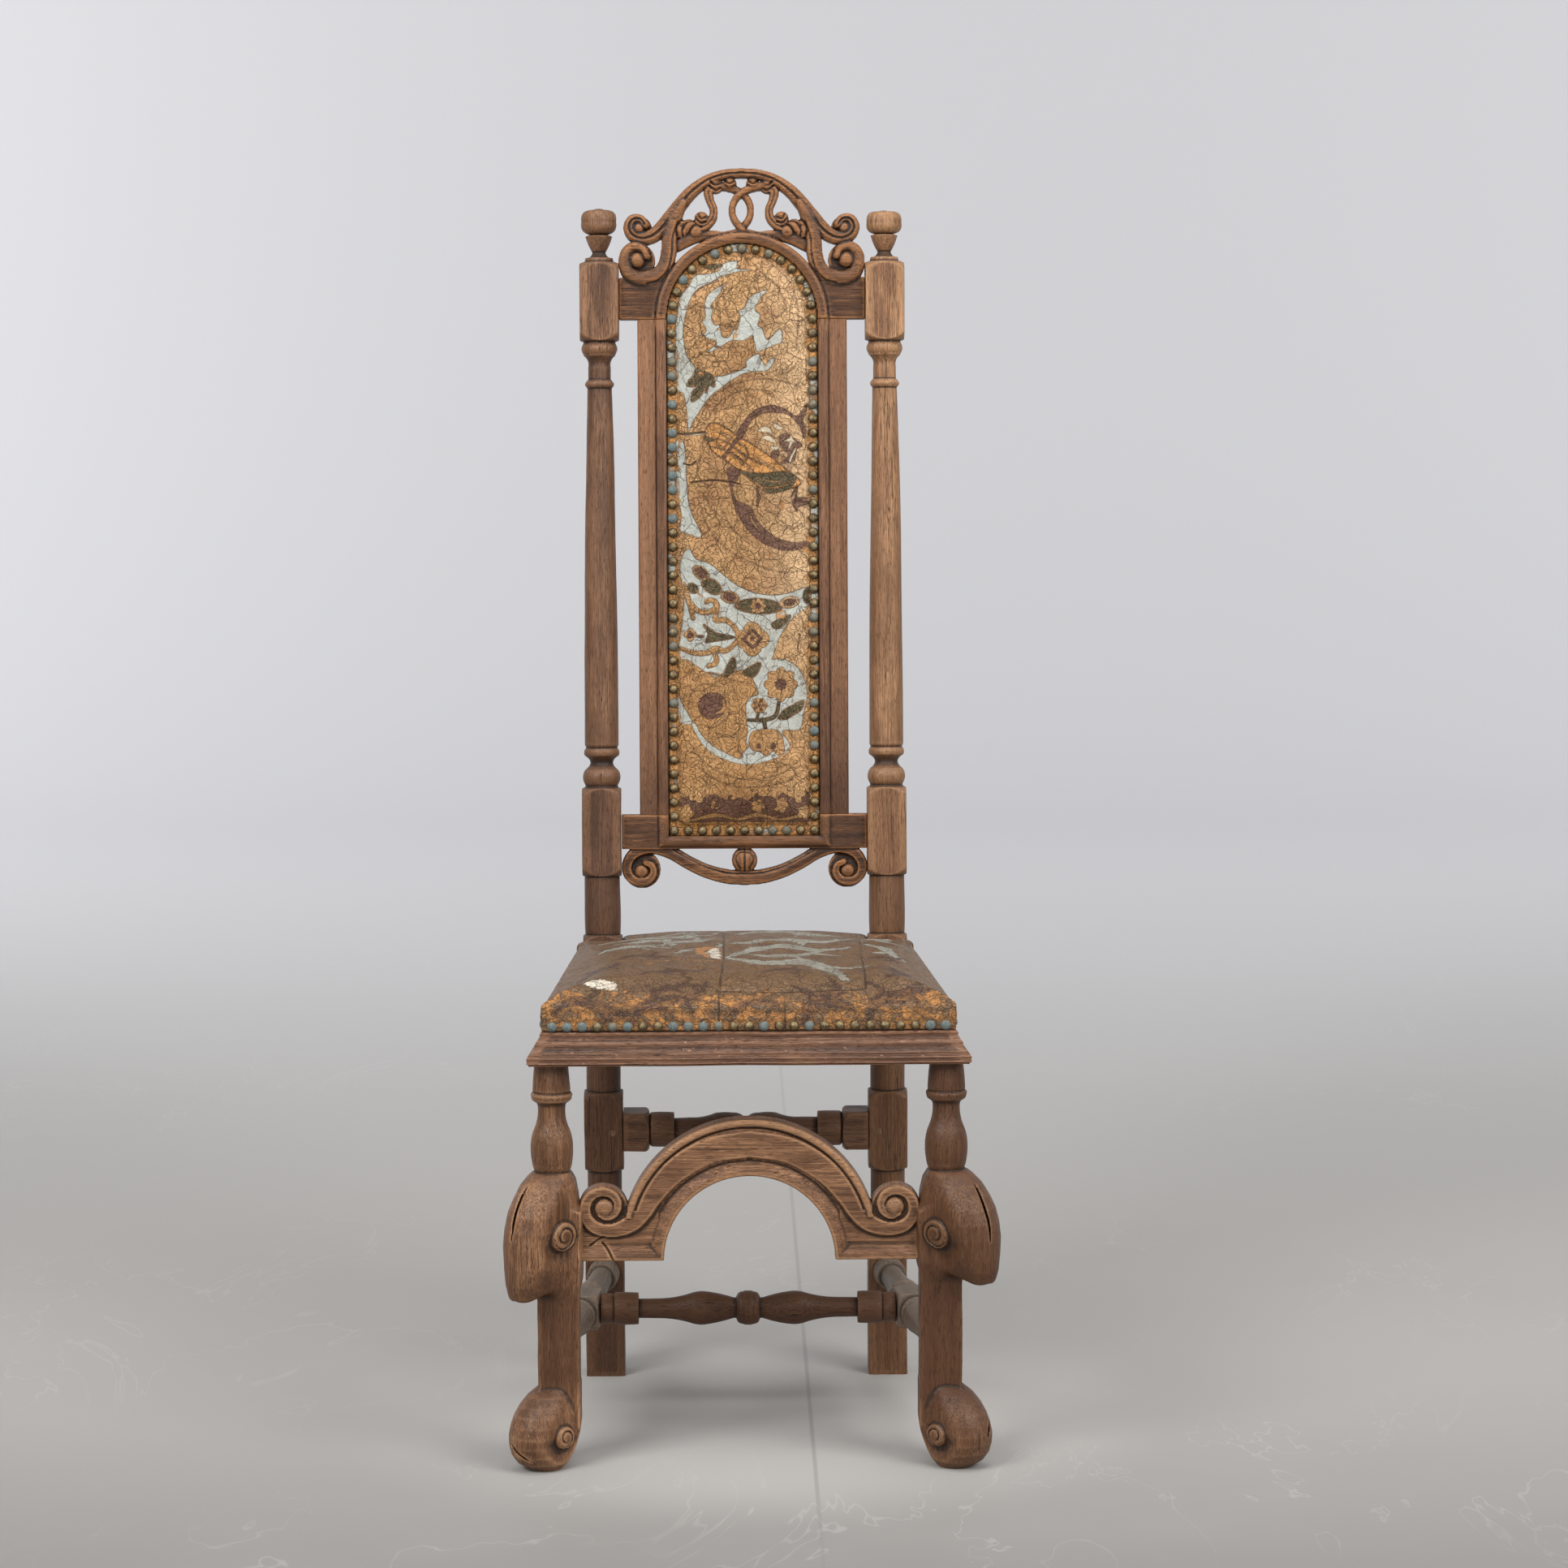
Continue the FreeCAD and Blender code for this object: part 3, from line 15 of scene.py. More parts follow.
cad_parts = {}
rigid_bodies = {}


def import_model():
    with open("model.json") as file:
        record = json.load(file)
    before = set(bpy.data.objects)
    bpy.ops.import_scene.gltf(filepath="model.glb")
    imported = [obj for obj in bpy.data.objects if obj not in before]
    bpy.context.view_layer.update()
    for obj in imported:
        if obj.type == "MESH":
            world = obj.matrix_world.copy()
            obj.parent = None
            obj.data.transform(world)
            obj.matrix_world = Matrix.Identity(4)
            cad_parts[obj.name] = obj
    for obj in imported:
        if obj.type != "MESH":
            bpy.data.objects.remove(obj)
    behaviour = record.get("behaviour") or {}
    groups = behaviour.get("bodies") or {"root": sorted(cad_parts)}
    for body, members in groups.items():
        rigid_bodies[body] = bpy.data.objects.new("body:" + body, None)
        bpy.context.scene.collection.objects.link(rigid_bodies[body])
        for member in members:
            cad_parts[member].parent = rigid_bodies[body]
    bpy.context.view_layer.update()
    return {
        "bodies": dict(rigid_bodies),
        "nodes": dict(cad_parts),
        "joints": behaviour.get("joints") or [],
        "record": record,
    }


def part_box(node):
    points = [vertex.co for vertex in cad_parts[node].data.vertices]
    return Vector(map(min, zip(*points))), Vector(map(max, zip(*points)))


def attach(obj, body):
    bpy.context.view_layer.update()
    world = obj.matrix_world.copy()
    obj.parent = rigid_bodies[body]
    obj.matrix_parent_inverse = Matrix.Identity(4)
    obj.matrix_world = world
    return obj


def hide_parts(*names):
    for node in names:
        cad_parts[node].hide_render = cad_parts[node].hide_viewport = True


LOG = logging.getLogger("chair")
Array = np.ndarray
Colour = tuple[float, float, float]
Place = tuple[float, float, float]
Row = tuple[float, float, float]
Spot = tuple[float, float]
Material = bpy.types.Material
Piece = bpy.types.Object
MM = 0.001


@dataclass(frozen=True)
class ChairFrame:
    """Sizes that the sub-assemblies share, in millimetres.

    The working frame has the axes of the back posts at y = 0 and the back upright. `lean` tilts a piece of
    the back to its rake and `settle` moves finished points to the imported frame.
    """

    post_y: float
    post_x: float = 157.0
    post_half: float = 21.5
    bend: float = 470.0
    rake: float = 5.7
    leg_x: float = 203.5
    leg_y: float = -398.0
    seat_top: float = 484.0
    panel_half: float = 83.0
    panel_bottom: float = 602.0
    spring: float = 1170.0
    low_stretcher: float = 118.0
    rear_stretcher: float = 275.0

    @property
    def post_inner(self) -> float:
        """Distance from the middle of the chair to the inner faces of the back posts."""
        return self.post_x - self.post_half

    def lean(self, points: Array) -> Array:
        """Tilt points of the back about the bend in the posts.

        Args:
            points: Points of an upright back, one per row.

        Returns:
            The tilted points.
        """
        angle = math.radians(self.rake)
        rise = points[:, 2] - self.bend
        tilted = points.copy()
        tilted[:, 1] = points[:, 1] * math.cos(angle) + rise * math.sin(angle)
        tilted[:, 2] = self.bend - points[:, 1] * math.sin(angle) + rise * math.cos(angle)
        return tilted

    def bent(self, points: Array) -> Array:
        """Tilt only the points above the bend, as in a back post."""
        return np.where((points[:, 2] > self.bend)[:, None], self.lean(points), points)

    def settle(self, points: Array) -> Array:
        """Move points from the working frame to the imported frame."""
        return points + np.array((0.0, self.post_y, 0.0))


def smooth_max(a: Array, b: Array, blend: float) -> Array:
    """Larger of two fields, with the edge between them rounded over about `blend`."""
    gap = np.maximum(blend - np.abs(a - b), 0.0)
    return np.maximum(a, b) + gap * gap / (4.0 * blend)


def smooth_min(a: Array, b: Array, blend: float) -> Array:
    """Smaller of two fields, with the corner between them filled over about `blend`."""
    return -smooth_max(-a, -b, blend)


def ease(values: Array, low: float, high: float) -> Array:
    """Smooth step from 0 at `low` to 1 at `high`."""
    share = np.clip((values - low) / (high - low), 0.0, 1.0)
    return share * share * (3.0 - 2.0 * share)


def dim(colour: Colour, share: float) -> Colour:
    """Colour multiplied by a share."""
    return tuple(part * share for part in colour)


def wobble(points: Array, wave: float, seed: int) -> Array:
    """Smooth unevenness of hand work, between about -1 and 1.

    Args:
        points: Places to evaluate, one per row.
        wave: Length of one swell in millimetres.
        seed: Seed of the directions and phases.

    Returns:
        One value for each place.
    """
    rng = np.random.default_rng(seed)
    total = np.zeros(len(points))
    for _ in range(6):
        direction = rng.normal(size=points.shape[1])
        direction *= math.tau / (np.linalg.norm(direction) * wave * rng.uniform(0.7, 1.5))
        total += np.sin(points @ direction + rng.uniform(0.0, math.tau))
    return total / 3.0


def spline(points: Sequence[Spot], closed: bool = False, steps: int = 8) -> Array:
    """Smooth line through given points.

    Args:
        points: Points that the line passes through.
        closed: Whether the line returns to its start.
        steps: Samples for each stretch.

    Returns:
        The sampled line, one point per row.
    """
    knots = np.array(points, dtype=float)
    if closed:
        knots = np.vstack((knots[-1], knots, knots[0], knots[1]))
    else:
        knots = np.vstack((2 * knots[0] - knots[1], knots, 2 * knots[-1] - knots[-2]))
    share = np.linspace(0.0, 1.0, steps, endpoint=False)[:, None]
    line = []
    for a, b, c, d in zip(knots, knots[1:], knots[2:], knots[3:]):
        line.append(
            b + 0.5 * share * (c - a + share * (2 * a - 5 * b + 4 * c - d + share * (3 * (b - c) + d - a)))
        )
    return np.vstack(line) if closed else np.vstack(line + [knots[-2][None]])


def line_distance(x: Array, z: Array, line: Array) -> tuple[Array, Array]:
    """Distance from places to a line, and how far along it the nearest point lies.

    Args:
        x: First coordinates of the places.
        z: Second coordinates of the places.
        line: Points of the line, one per row.

    Returns:
        Distances, and shares from 0 to 1 along the line.
    """
    best = np.full(x.shape, 1e9)
    along = np.zeros(x.shape)
    lengths = np.hypot(*np.diff(line, axis=0).T)
    total = max(lengths.sum(), 1e-9)
    start = 0.0
    for (ax, az), (bx, bz), length in zip(line, line[1:], lengths):
        dx, dz = bx - ax, bz - az
        share = np.clip(((x - ax) * dx + (z - az) * dz) / max(length * length, 1e-9), 0.0, 1.0)
        gap = (x - ax - share * dx) ** 2 + (z - az - share * dz) ** 2
        nearer = gap < best
        best = np.where(nearer, gap, best)
        along = np.where(nearer, (start + share * length) / total, along)
        start += length
    return np.sqrt(best), along


def outline_distance(x: Array, z: Array, line: Array) -> Array:
    """Signed distance to a closed outline, positive inside it.

    Args:
        x: First coordinates of the places.
        z: Second coordinates of the places.
        line: Points of the outline, one per row.

    Returns:
        Signed distances.
    """
    ring = np.vstack((line, line[:1]))
    gap, _ = line_distance(x, z, ring)
    inside = np.zeros(x.shape, dtype=bool)
    for (ax, az), (bx, bz) in zip(ring, ring[1:]):
        if az != bz:
            crosses = ((az > z) != (bz > z)) & (x < (bx - ax) * (z - az) / (bz - az) + ax)
            inside ^= crosses
    return np.where(inside, gap, -gap)


def build_mesh(name: str, points: Array, faces: Sequence[Array]) -> Piece:
    """Make a smooth-shaded object whose faces point outwards.

    Args:
        name: Name of the piece.
        points: Points in millimetres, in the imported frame.
        faces: Arrays of point numbers, one row per face, one array per face size.

    Returns:
        The new object, linked to the scene.
    """
    volume = 0.0
    for group in faces:
        for i in range(1, group.shape[1] - 1):
            a, b, c = points[group[:, 0]], points[group[:, i]], points[group[:, i + 1]]
            volume += np.einsum("ij,ij->", a, np.cross(b, c))
    groups = [group if volume > 0 else group[:, ::-1] for group in faces]
    loops = np.concatenate([group.ravel() for group in groups]).astype(np.int32)
    sizes = np.concatenate([np.full(len(group), group.shape[1]) for group in groups])
    starts = np.concatenate(([0], np.cumsum(sizes)[:-1])).astype(np.int32)
    mesh = bpy.data.meshes.new(name)
    mesh.vertices.add(len(points))
    mesh.vertices.foreach_set("co", (points * MM).astype(np.float32).ravel())
    mesh.loops.add(len(loops))
    mesh.loops.foreach_set("vertex_index", loops)
    mesh.polygons.add(len(sizes))
    mesh.polygons.foreach_set("loop_start", starts)
    mesh.update(calc_edges=True)
    mesh.validate()
    mesh.shade_smooth()
    piece = bpy.data.objects.new(name, mesh)
    bpy.context.scene.collection.objects.link(piece)
    return piece


def set_values(piece: Piece, name: str, values: Array) -> None:
    """Store a number or a vector for each point of a piece.

    Args:
        piece: Piece whose mesh gets the values.
        name: Name that materials read.
        values: One number or one vector for each point.
    """
    kind, key = ("FLOAT", "value") if values.ndim == 1 else ("FLOAT_VECTOR", "vector")
    layer = piece.data.attributes.new(name, kind, "POINT")
    layer.data.foreach_set(key, values.astype(np.float32).ravel())


def mesh_points(mesh: bpy.types.Mesh) -> Array:
    """Points of a mesh in millimetres, one per row."""
    flat = np.empty(len(mesh.vertices) * 3, dtype=np.float32)
    mesh.vertices.foreach_get("co", flat)
    return flat.reshape(-1, 3).astype(float) / MM


def relief_for_wear_and_shade(piece: Piece, rounds: int = 14) -> Array:
    """How far each point stands proud of its smoothed surroundings, in millimetres.

    Args:
        piece: Piece to measure.
        rounds: Rounds of smoothing, which set the width of the surroundings.

    Returns:
        Positive values on arrises, shown as wear, and negative values in grooves, darkened as grime and
        painted shade.
    """
    mesh = piece.data
    points = mesh_points(mesh)
    edges = np.empty(len(mesh.edges) * 2, dtype=np.int32)
    mesh.edges.foreach_get("vertices", edges)
    first, second = edges.reshape(-1, 2).T
    count = np.maximum(np.bincount(edges, minlength=len(points)), 1)
    soft = points.copy()
    for _ in range(rounds):
        for axis in range(3):
            column = soft[:, axis]
            total = np.bincount(first, column[second], len(points)) + np.bincount(
                second, column[first], len(points)
            )
            soft[:, axis] = 0.5 * column + 0.5 * total / count
    normals = np.empty(len(points) * 3, dtype=np.float32)
    mesh.vertex_normals.foreach_get("vector", normals)
    return np.einsum("ij,ij->i", points - soft, normals.reshape(-1, 3))


def finish_timber(piece: Piece, grain: Array, angle: float = 38.0, soil_and_shade: Array | None = None) -> None:
    """Store what the wood finishes read, and keep sharp arrises sharp.

    Args:
        piece: Wooden piece.
        grain: Place of each point in its timber, in millimetres, the third number along the grain.
        angle: Largest turn, in degrees, that is still shaded smooth.
        soil_and_shade: How dark the wood is painted at each point, from 0 to 1, for grime and for painted
            shade.
    """
    set_values(piece, "timber", grain)
    set_values(piece, "soil_and_shade", np.zeros(len(grain)) if soil_and_shade is None else soil_and_shade)
    set_values(piece, "wear_and_shade", relief_for_wear_and_shade(piece))
    piece.data.set_sharp_from_angle(angle=math.radians(angle))


# Shader maths
class Tone:
    """Socket of a node tree that takes part in Python expressions."""

    def __init__(self, recipe: "Graph", socket: bpy.types.NodeSocket) -> None:
        """Wrap a socket of a graph."""
        self.recipe = recipe
        self.socket = socket

    def _math(self, operation: str, *others: "Tone | float") -> "Tone":
        """Math node on this value and others."""
        return self.recipe.node(
            "ShaderNodeMath", {"operation": operation}, {0: self, **dict(enumerate(others, 1))}
        )

    def __add__(self, other: "Tone | float") -> "Tone":
        """Sum."""
        return self._math("ADD", other)

    __radd__ = __add__

    def __mul__(self, other: "Tone | float") -> "Tone":
        """Product."""
        return self._math("MULTIPLY", other)

    __rmul__ = __mul__

    def __sub__(self, other: "Tone | float") -> "Tone":
        """Difference."""
        return self._math("SUBTRACT", other)

    def __rsub__(self, other: float) -> "Tone":
        """Number less this value."""
        return self * -1.0 + other

    def __abs__(self) -> "Tone":
        """Size without sign."""
        return self._math("ABSOLUTE")

    def sine(self) -> "Tone":
        """Sine of the value."""
        return self._math("SINE")

    def larger(self, other: "Tone | float") -> "Tone":
        """Larger of two values."""
        return self._math("MAXIMUM", other)

    def smaller(self, other: "Tone | float") -> "Tone":
        """Smaller of two values."""
        return self._math("MINIMUM", other)

    def ease(self, low: float, high: float) -> "Tone":
        """Smooth step from 0 at `low` to 1 at `high`; a falling step where `low` is the larger."""
        flip = low > high
        ends = {
            "From Min": min(low, high), "From Max": max(low, high), "To Min": float(flip),
            "To Max": float(not flip)
        }
        return self.recipe.node(
            "ShaderNodeMapRange", {"interpolation_type": "SMOOTHSTEP"}, {"Value": self, **ends}
        )


class Graph:
    """Node tree under construction, with one method for any node."""

    def __init__(self, tree: bpy.types.NodeTree) -> None:
        """Take an empty tree."""
        self.tree = tree

    def add(self, kind: str, settings: dict, sockets: dict) -> bpy.types.Node:
        """Add a node with its settings, then the values or links of its inputs."""
        made = self.tree.nodes.new(kind)
        for key, value in settings.items():
            setattr(made, key, value)
        for key, value in sockets.items():
            if isinstance(value, Tone):
                self.tree.links.new(value.socket, made.inputs[key])
            else:
                made.inputs[key].default_value = value
        return made

    def node(
        self, kind: str, settings: dict | None = None, sockets: dict | None = None, out: int | str = 0
    ) -> Tone:
        """Add a node.

        Args:
            kind: Blender's type of the node.
            settings: Settings of the node, set first.
            sockets: Values or links of its inputs, by name or number.
            out: Output to return, by name or number.

        Returns:
            The chosen output.
        """
        made = self.add(kind, settings or {}, sockets or {})
        return Tone(self, made.outputs[out])


class Recipe(Graph):
    """Material under construction."""

    def __init__(self, name: str) -> None:
        """Start an empty material."""
        self.material = bpy.data.materials.new(name)
        self.material.use_nodes = True
        super().__init__(self.material.node_tree)
        self.tree.nodes.clear()

    def colour(self, value: "Tone | Colour") -> "Tone | tuple[float, float, float, float]":
        """Colour as a socket takes it."""
        return value if isinstance(value, Tone) else (*value, 1.0)

    def mix(self, below: "Tone | Colour", above: "Tone | Colour", share: Tone) -> Tone:
        """Lay one colour over another by a share."""
        sockets = {0: share, 6: self.colour(below), 7: self.colour(above)}
        return self.node(
            "ShaderNodeMix", {"data_type": "RGBA", "blend_type": "MIX", "clamp_factor": True}, sockets, 2
        )

    def values(self, name: str, vector: bool = False) -> Tone:
        """Numbers or vectors that a piece stores for its points."""
        return self.node("ShaderNodeAttribute", {"attribute_name": name}, out="Vector" if vector else "Fac")

    def stretch(self, place: Tone, scale: float | Colour) -> Tone:
        """Place multiplied by one scale, or by a scale on each axis."""
        factors = scale if isinstance(scale, tuple) else (scale, scale, scale)
        return self.node("ShaderNodeVectorMath", {"operation": "MULTIPLY"}, {0: place, 1: factors})

    def part(self, place: Tone, axis: str) -> Tone:
        """One coordinate of a place."""
        return self.node("ShaderNodeSeparateXYZ", {}, {0: place}, axis)

    def noise(self, place: Tone, detail: float = 3.0, rough: float = 0.55, bend: float = 0.0) -> Tone:
        """Soft noise with swells about one unit long."""
        sockets = {"Vector": place, "Scale": 1.0, "Detail": detail, "Roughness": rough, "Distortion": bend}
        return self.node("ShaderNodeTexNoise", {"noise_dimensions": "3D"}, sockets)

    def cells(self, place: Tone, feature: str) -> Tone:
        """Cell pattern with cells about one unit wide."""
        sockets = {"Vector": place, "Scale": 1.0}
        return self.node("ShaderNodeTexVoronoi", {"feature": feature}, sockets, "Distance")

    def bump(self, height: Tone, depth: float, below: Tone | None = None) -> Tone:
        """Normal from a height, `depth` in metres for a height of 1."""
        sockets: dict = {"Height": height, "Strength": 1.0, "Distance": depth}
        if below is not None:
            sockets["Normal"] = below
        return self.node("ShaderNodeBump", {}, sockets)

    def close(self, colour: Tone | Colour, rough: Tone | float, normal: Tone | None = None,
              fixed: dict | None = None, metal: Tone | None = None) -> Material:
        """Add the surface shader and the output.

        Args:
            colour: Base colour.
            rough: Roughness.
            normal: Normal, where a bump gives one.
            fixed: Sockets that are the same all over.
            metal: Metallic share, where it varies.

        Returns:
            The finished material.
        """
        sockets: dict = {"Base Color": self.colour(colour), "Roughness": rough, **(fixed or {})}
        for key, value in (("Normal", normal), ("Metallic", metal)):
            if value is not None:
                sockets[key] = value
        surface = self.node("ShaderNodeBsdfPrincipled", {}, sockets)
        self.add("ShaderNodeOutputMaterial", {}, {"Surface": surface})
        return self.material


# Finishes
class Source(Enum):
    """Where a wood finish takes its place in the timber from."""

    POINTS = "points"
    OBJECT = "object"


@dataclass(frozen=True)
class WoodFinish:
    """Old stained wood: open grain, drying checks, worn arrises, grime and painted shade in the hollows and
    where each piece is darkened, and dust on top.
    """

    name: str
    dark: Colour
    middle: Colour
    pale: Colour
    dust: float = 0.05
    fleck: float = 0.0
    worn: float = 0.6
    grime_and_shade: float = 0.85
    source: Source = Source.POINTS
    dust_colour: Colour = (0.30, 0.25, 0.20)

    def make(self) -> Material:
        """Material of the finish."""
        r = Recipe(self.name)
        if self.source is Source.POINTS:
            place = r.values("timber", vector=True)
        else:
            spot = r.node("ShaderNodeTexCoord", out="Object")
            place = r.stretch(spot, 1000.0)
        fibre = r.noise(r.stretch(place, (0.85, 0.85, 0.022)), 4.0, 0.65)
        figure = r.noise(r.stretch(place, (0.13, 0.13, 0.0035)), 4.0, 0.6, 0.8)
        pores = r.noise(r.stretch(place, (1.5, 1.5, 0.11)), 2.0, 0.5)
        stain = r.noise(r.stretch(place, (0.024, 0.024, 0.009)), 5.0, 0.62)
        checks = abs(r.noise(r.stretch(place, (0.30, 0.30, 0.0042)), 2.0, 0.45) - 0.5)
        wear_and_shade = r.values("wear_and_shade")
        hollow = (wear_and_shade * -1.0).ease(0.02, 0.30)
        arris = wear_and_shade.ease(0.06, 0.45) * (0.35 + fibre)
        line = checks.ease(0.012, 0.0) * stain.ease(0.5, 0.62)
        pore = pores.ease(0.56, 0.70)
        scratch = r.noise(
            r.stretch(place, (0.55, 0.55, 0.06)), 3.0, 0.6
        ).ease(0.62, 0.70) * stain.ease(0.42, 0.60)
        tone = r.mix(
            self.dark, self.middle, (figure * 0.9 + fibre * 0.5 + stain * 0.6 - 0.5).ease(0.27, 0.73)
        )
        tone = r.mix(tone, self.pale, (fibre * 0.7 + stain * 0.7 - 0.25).ease(0.42, 0.74) * 0.75)
        tone = r.mix(tone, self.pale, (arris * self.worn).larger(scratch * 0.6))
        tone = r.mix(tone, self.dark, figure.ease(0.56, 0.72) * 0.55)
        # Painted shade and grime: darker where the piece stores a darkness, under the seat, under the knees
        # and on the right-hand pieces.
        tone = r.mix(
            tone, tuple(c * s for c, s in zip(self.dark, (0.80, 0.66, 0.54))),
            r.values("soil_and_shade") * (0.55 + 0.6 * stain)
        )
        tone = r.mix(tone, dim(self.dark, 0.42), pore * 0.55)
        # Painted shade and grime: hollows, where the surface lies below its smoothed surroundings, are
        # darkened.
        tone = r.mix(tone, dim(self.dark, 0.22), hollow * self.grime_and_shade)
        tone = r.mix(tone, dim(self.dark, 0.12), line * 0.9)
        flecks = r.noise(r.stretch(place, (0.16, 0.16, 0.10)), 3.0, 0.7).ease(0.64, 0.70)
        tone = r.mix(tone, tuple(min(1.0, c * 1.5 + 0.05) for c in self.pale), flecks * self.fleck)
        upward = r.part(r.node("ShaderNodeNewGeometry", out="Normal"), "Z")
        film = (0.35 + 0.65 * upward.ease(0.1, 0.9)) * (0.45 + stain) * self.dust
        tone = r.mix(tone, self.dust_colour, film.smaller(0.85))
        rough = (0.30 + 0.24 * stain + 0.30 * film + 0.12 * pore).smaller(0.92)
        height = fibre * 0.45 - pore * 0.45 - line * 1.6 + stain * 0.4
        return r.close(tone, rough, r.bump(height, 0.0007), {"Specular IOR Level": 0.30})


@dataclass(frozen=True)
class StudioFinish:
    """Matt painted sheet of the studio, a little uneven, darker on the floor than on the wall, with painted
    shade on the floor towards the camera and at the top of the wall, and a painted pool of light on the
    floor round the chair.
    """

    name: str
    floor: Colour
    wall: Colour
    joint_x: float = 0.067

    def make(self) -> Material:
        """Material of the finish."""
        r = Recipe(self.name)
        spot = r.node("ShaderNodeTexCoord", out="Object")
        cloud = r.noise(r.stretch(spot, 1.3), 5.0)
        height = r.part(spot, "Z")
        depth = r.part(spot, "Y")
        # Painted shade: the floor is darkened towards the camera, where the lamps light it most.
        tone = r.mix(dim(self.floor, 0.56), self.floor, depth.ease(-1.0, 0.4))
        tone = r.mix(tone, dim(self.floor, 0.9), cloud.ease(0.45, 0.75) * 0.3)
        near = r.node("ShaderNodeVectorMath", {"operation": "LENGTH"}, {0: spot}, "Value")
        aside = r.part(spot, "X")
        scuff = abs(r.noise(r.stretch(spot, (3.4, 1.3, 1.0)), 4.0, 0.6, 1.5) - 0.5).ease(0.008, 0.0)
        joint = abs(aside - self.joint_x).ease(0.0030, 0.0012)
        # Painted light: the floor round and under the chair is lightened against the chair's shadow.
        tone = r.mix(tone, dim(self.floor, 1.38), near.ease(0.50, 0.18) * 0.75)
        tone = r.mix(tone, dim(self.floor, 1.3), scuff * cloud.ease(0.44, 0.60) * 0.30)
        tone = r.mix(tone, dim(self.floor, 0.6), joint * 0.42)
        tone = r.mix(tone, self.wall, height.ease(0.0, 1.0).larger(depth.ease(0.6, 4.2)))
        # Painted shade: the wall is darkened towards its top.
        tone = r.mix(tone, dim(self.wall, 0.66), height.ease(1.8, 3.6))
        return r.close(tone, 0.6, None, {"Specular IOR Level": 0.3})


# Forms
def turn_profile(rows: Sequence[Row], pitch: float = 1.3) -> Array:
    """Sampled profile of a turning.

    Args:
        rows: Height, radius and the bulge of the line that leads there, from end to end.
        pitch: Largest step between samples.

    Returns:
        Heights and radii, one sample per row.
    """
    samples = [np.array([rows[0][:2]])]
    for (z0, r0, _), (z1, r1, bulge) in zip(rows, rows[1:]):
        length = math.hypot(z1 - z0, r1 - r0)
        count = max(1, math.ceil(length / pitch))
        share = np.arange(1, count + 1) / count
        swell = 4.0 * bulge * share * (1.0 - share) / max(length, 1e-9)
        samples.append(np.column_stack((z0 + share * (z1 - z0) - swell * (r1 - r0),
                                        r0 + share * (r1 - r0) + swell * (z1 - z0))))
    return np.vstack(samples)


def stack(start: float, members: Sequence[Row]) -> list[Row]:
    """Rows of turned members that stand on one another, from their heights, radii and bulges."""
    rows = []
    for height, radius, bulge in members:
        start += height
        rows.append((start, radius, bulge))
    return rows


def both_ways(half: Sequence[Row]) -> list[Row]:
    """Rows of a turning that is the same on both sides of its middle."""
    bulges = [row[2] for row in half[1:]] + [0.0]
    other = [(-row[0], row[1], bulge) for row, bulge in zip(half, bulges)]
    return other[:0:-1] + [(half[0][0], half[0][1], half[1][2])] + list(half[1:])


def block_radius(half: float) -> float:
    """Radius of a turning that clears the corners of its timber, so that it stays a square block."""
    return half * math.sqrt(2.0) + 0.5


def tube_faces(rings: int, count: int) -> list[Array]:
    """Faces of a closed tube.

    Args:
        rings: Number of rings, whose points come first, ring by ring.
        count: Points in a ring; the middles of the first and the last ring come after all rings.

    Returns:
        The four-sided faces along the tube and the fans at its ends.
    """
    index = np.arange(rings * count).reshape(rings, count)
    beside = np.roll(index, -1, axis=1)
    quads = np.stack((index[:-1], beside[:-1], beside[1:], index[1:]), axis=-1).reshape(-1, 4)
    first = np.column_stack((np.full(count, index.size), beside[0], index[0]))
    last = np.column_stack((np.full(count, index.size + 1), index[-1], beside[-1]))
    return [quads, np.vstack((first, last))]


def net_faces(kept: Array) -> tuple[Array, Array]:
    """Faces of an even net wherever all four corners are kept.

    Args:
        kept: Which points of the net are kept, by row and column.

    Returns:
        Numbers of the points in use, and the faces as rows of four places in that list.
    """
    cells = kept[:-1, :-1] & kept[1:, :-1] & kept[1:, 1:] & kept[:-1, 1:]
    number = np.arange(kept.size).reshape(kept.shape)
    quads = np.stack((number[:-1, :-1], number[1:, :-1], number[1:, 1:], number[:-1, 1:]), axis=-1)[cells]
    used, quads = np.unique(quads, return_inverse=True)
    return used, quads.reshape(-1, 4)


def open_edges(quads: Array) -> Array:
    """Open edges of a net, each from its first to its second point."""
    pairs = np.vstack([quads[:, [i, (i + 1) % 4]] for i in range(4)])
    keys = np.sort(pairs, axis=1)
    _, back, count = np.unique(keys, axis=0, return_inverse=True, return_counts=True)
    return pairs[count[back.ravel()] == 1]


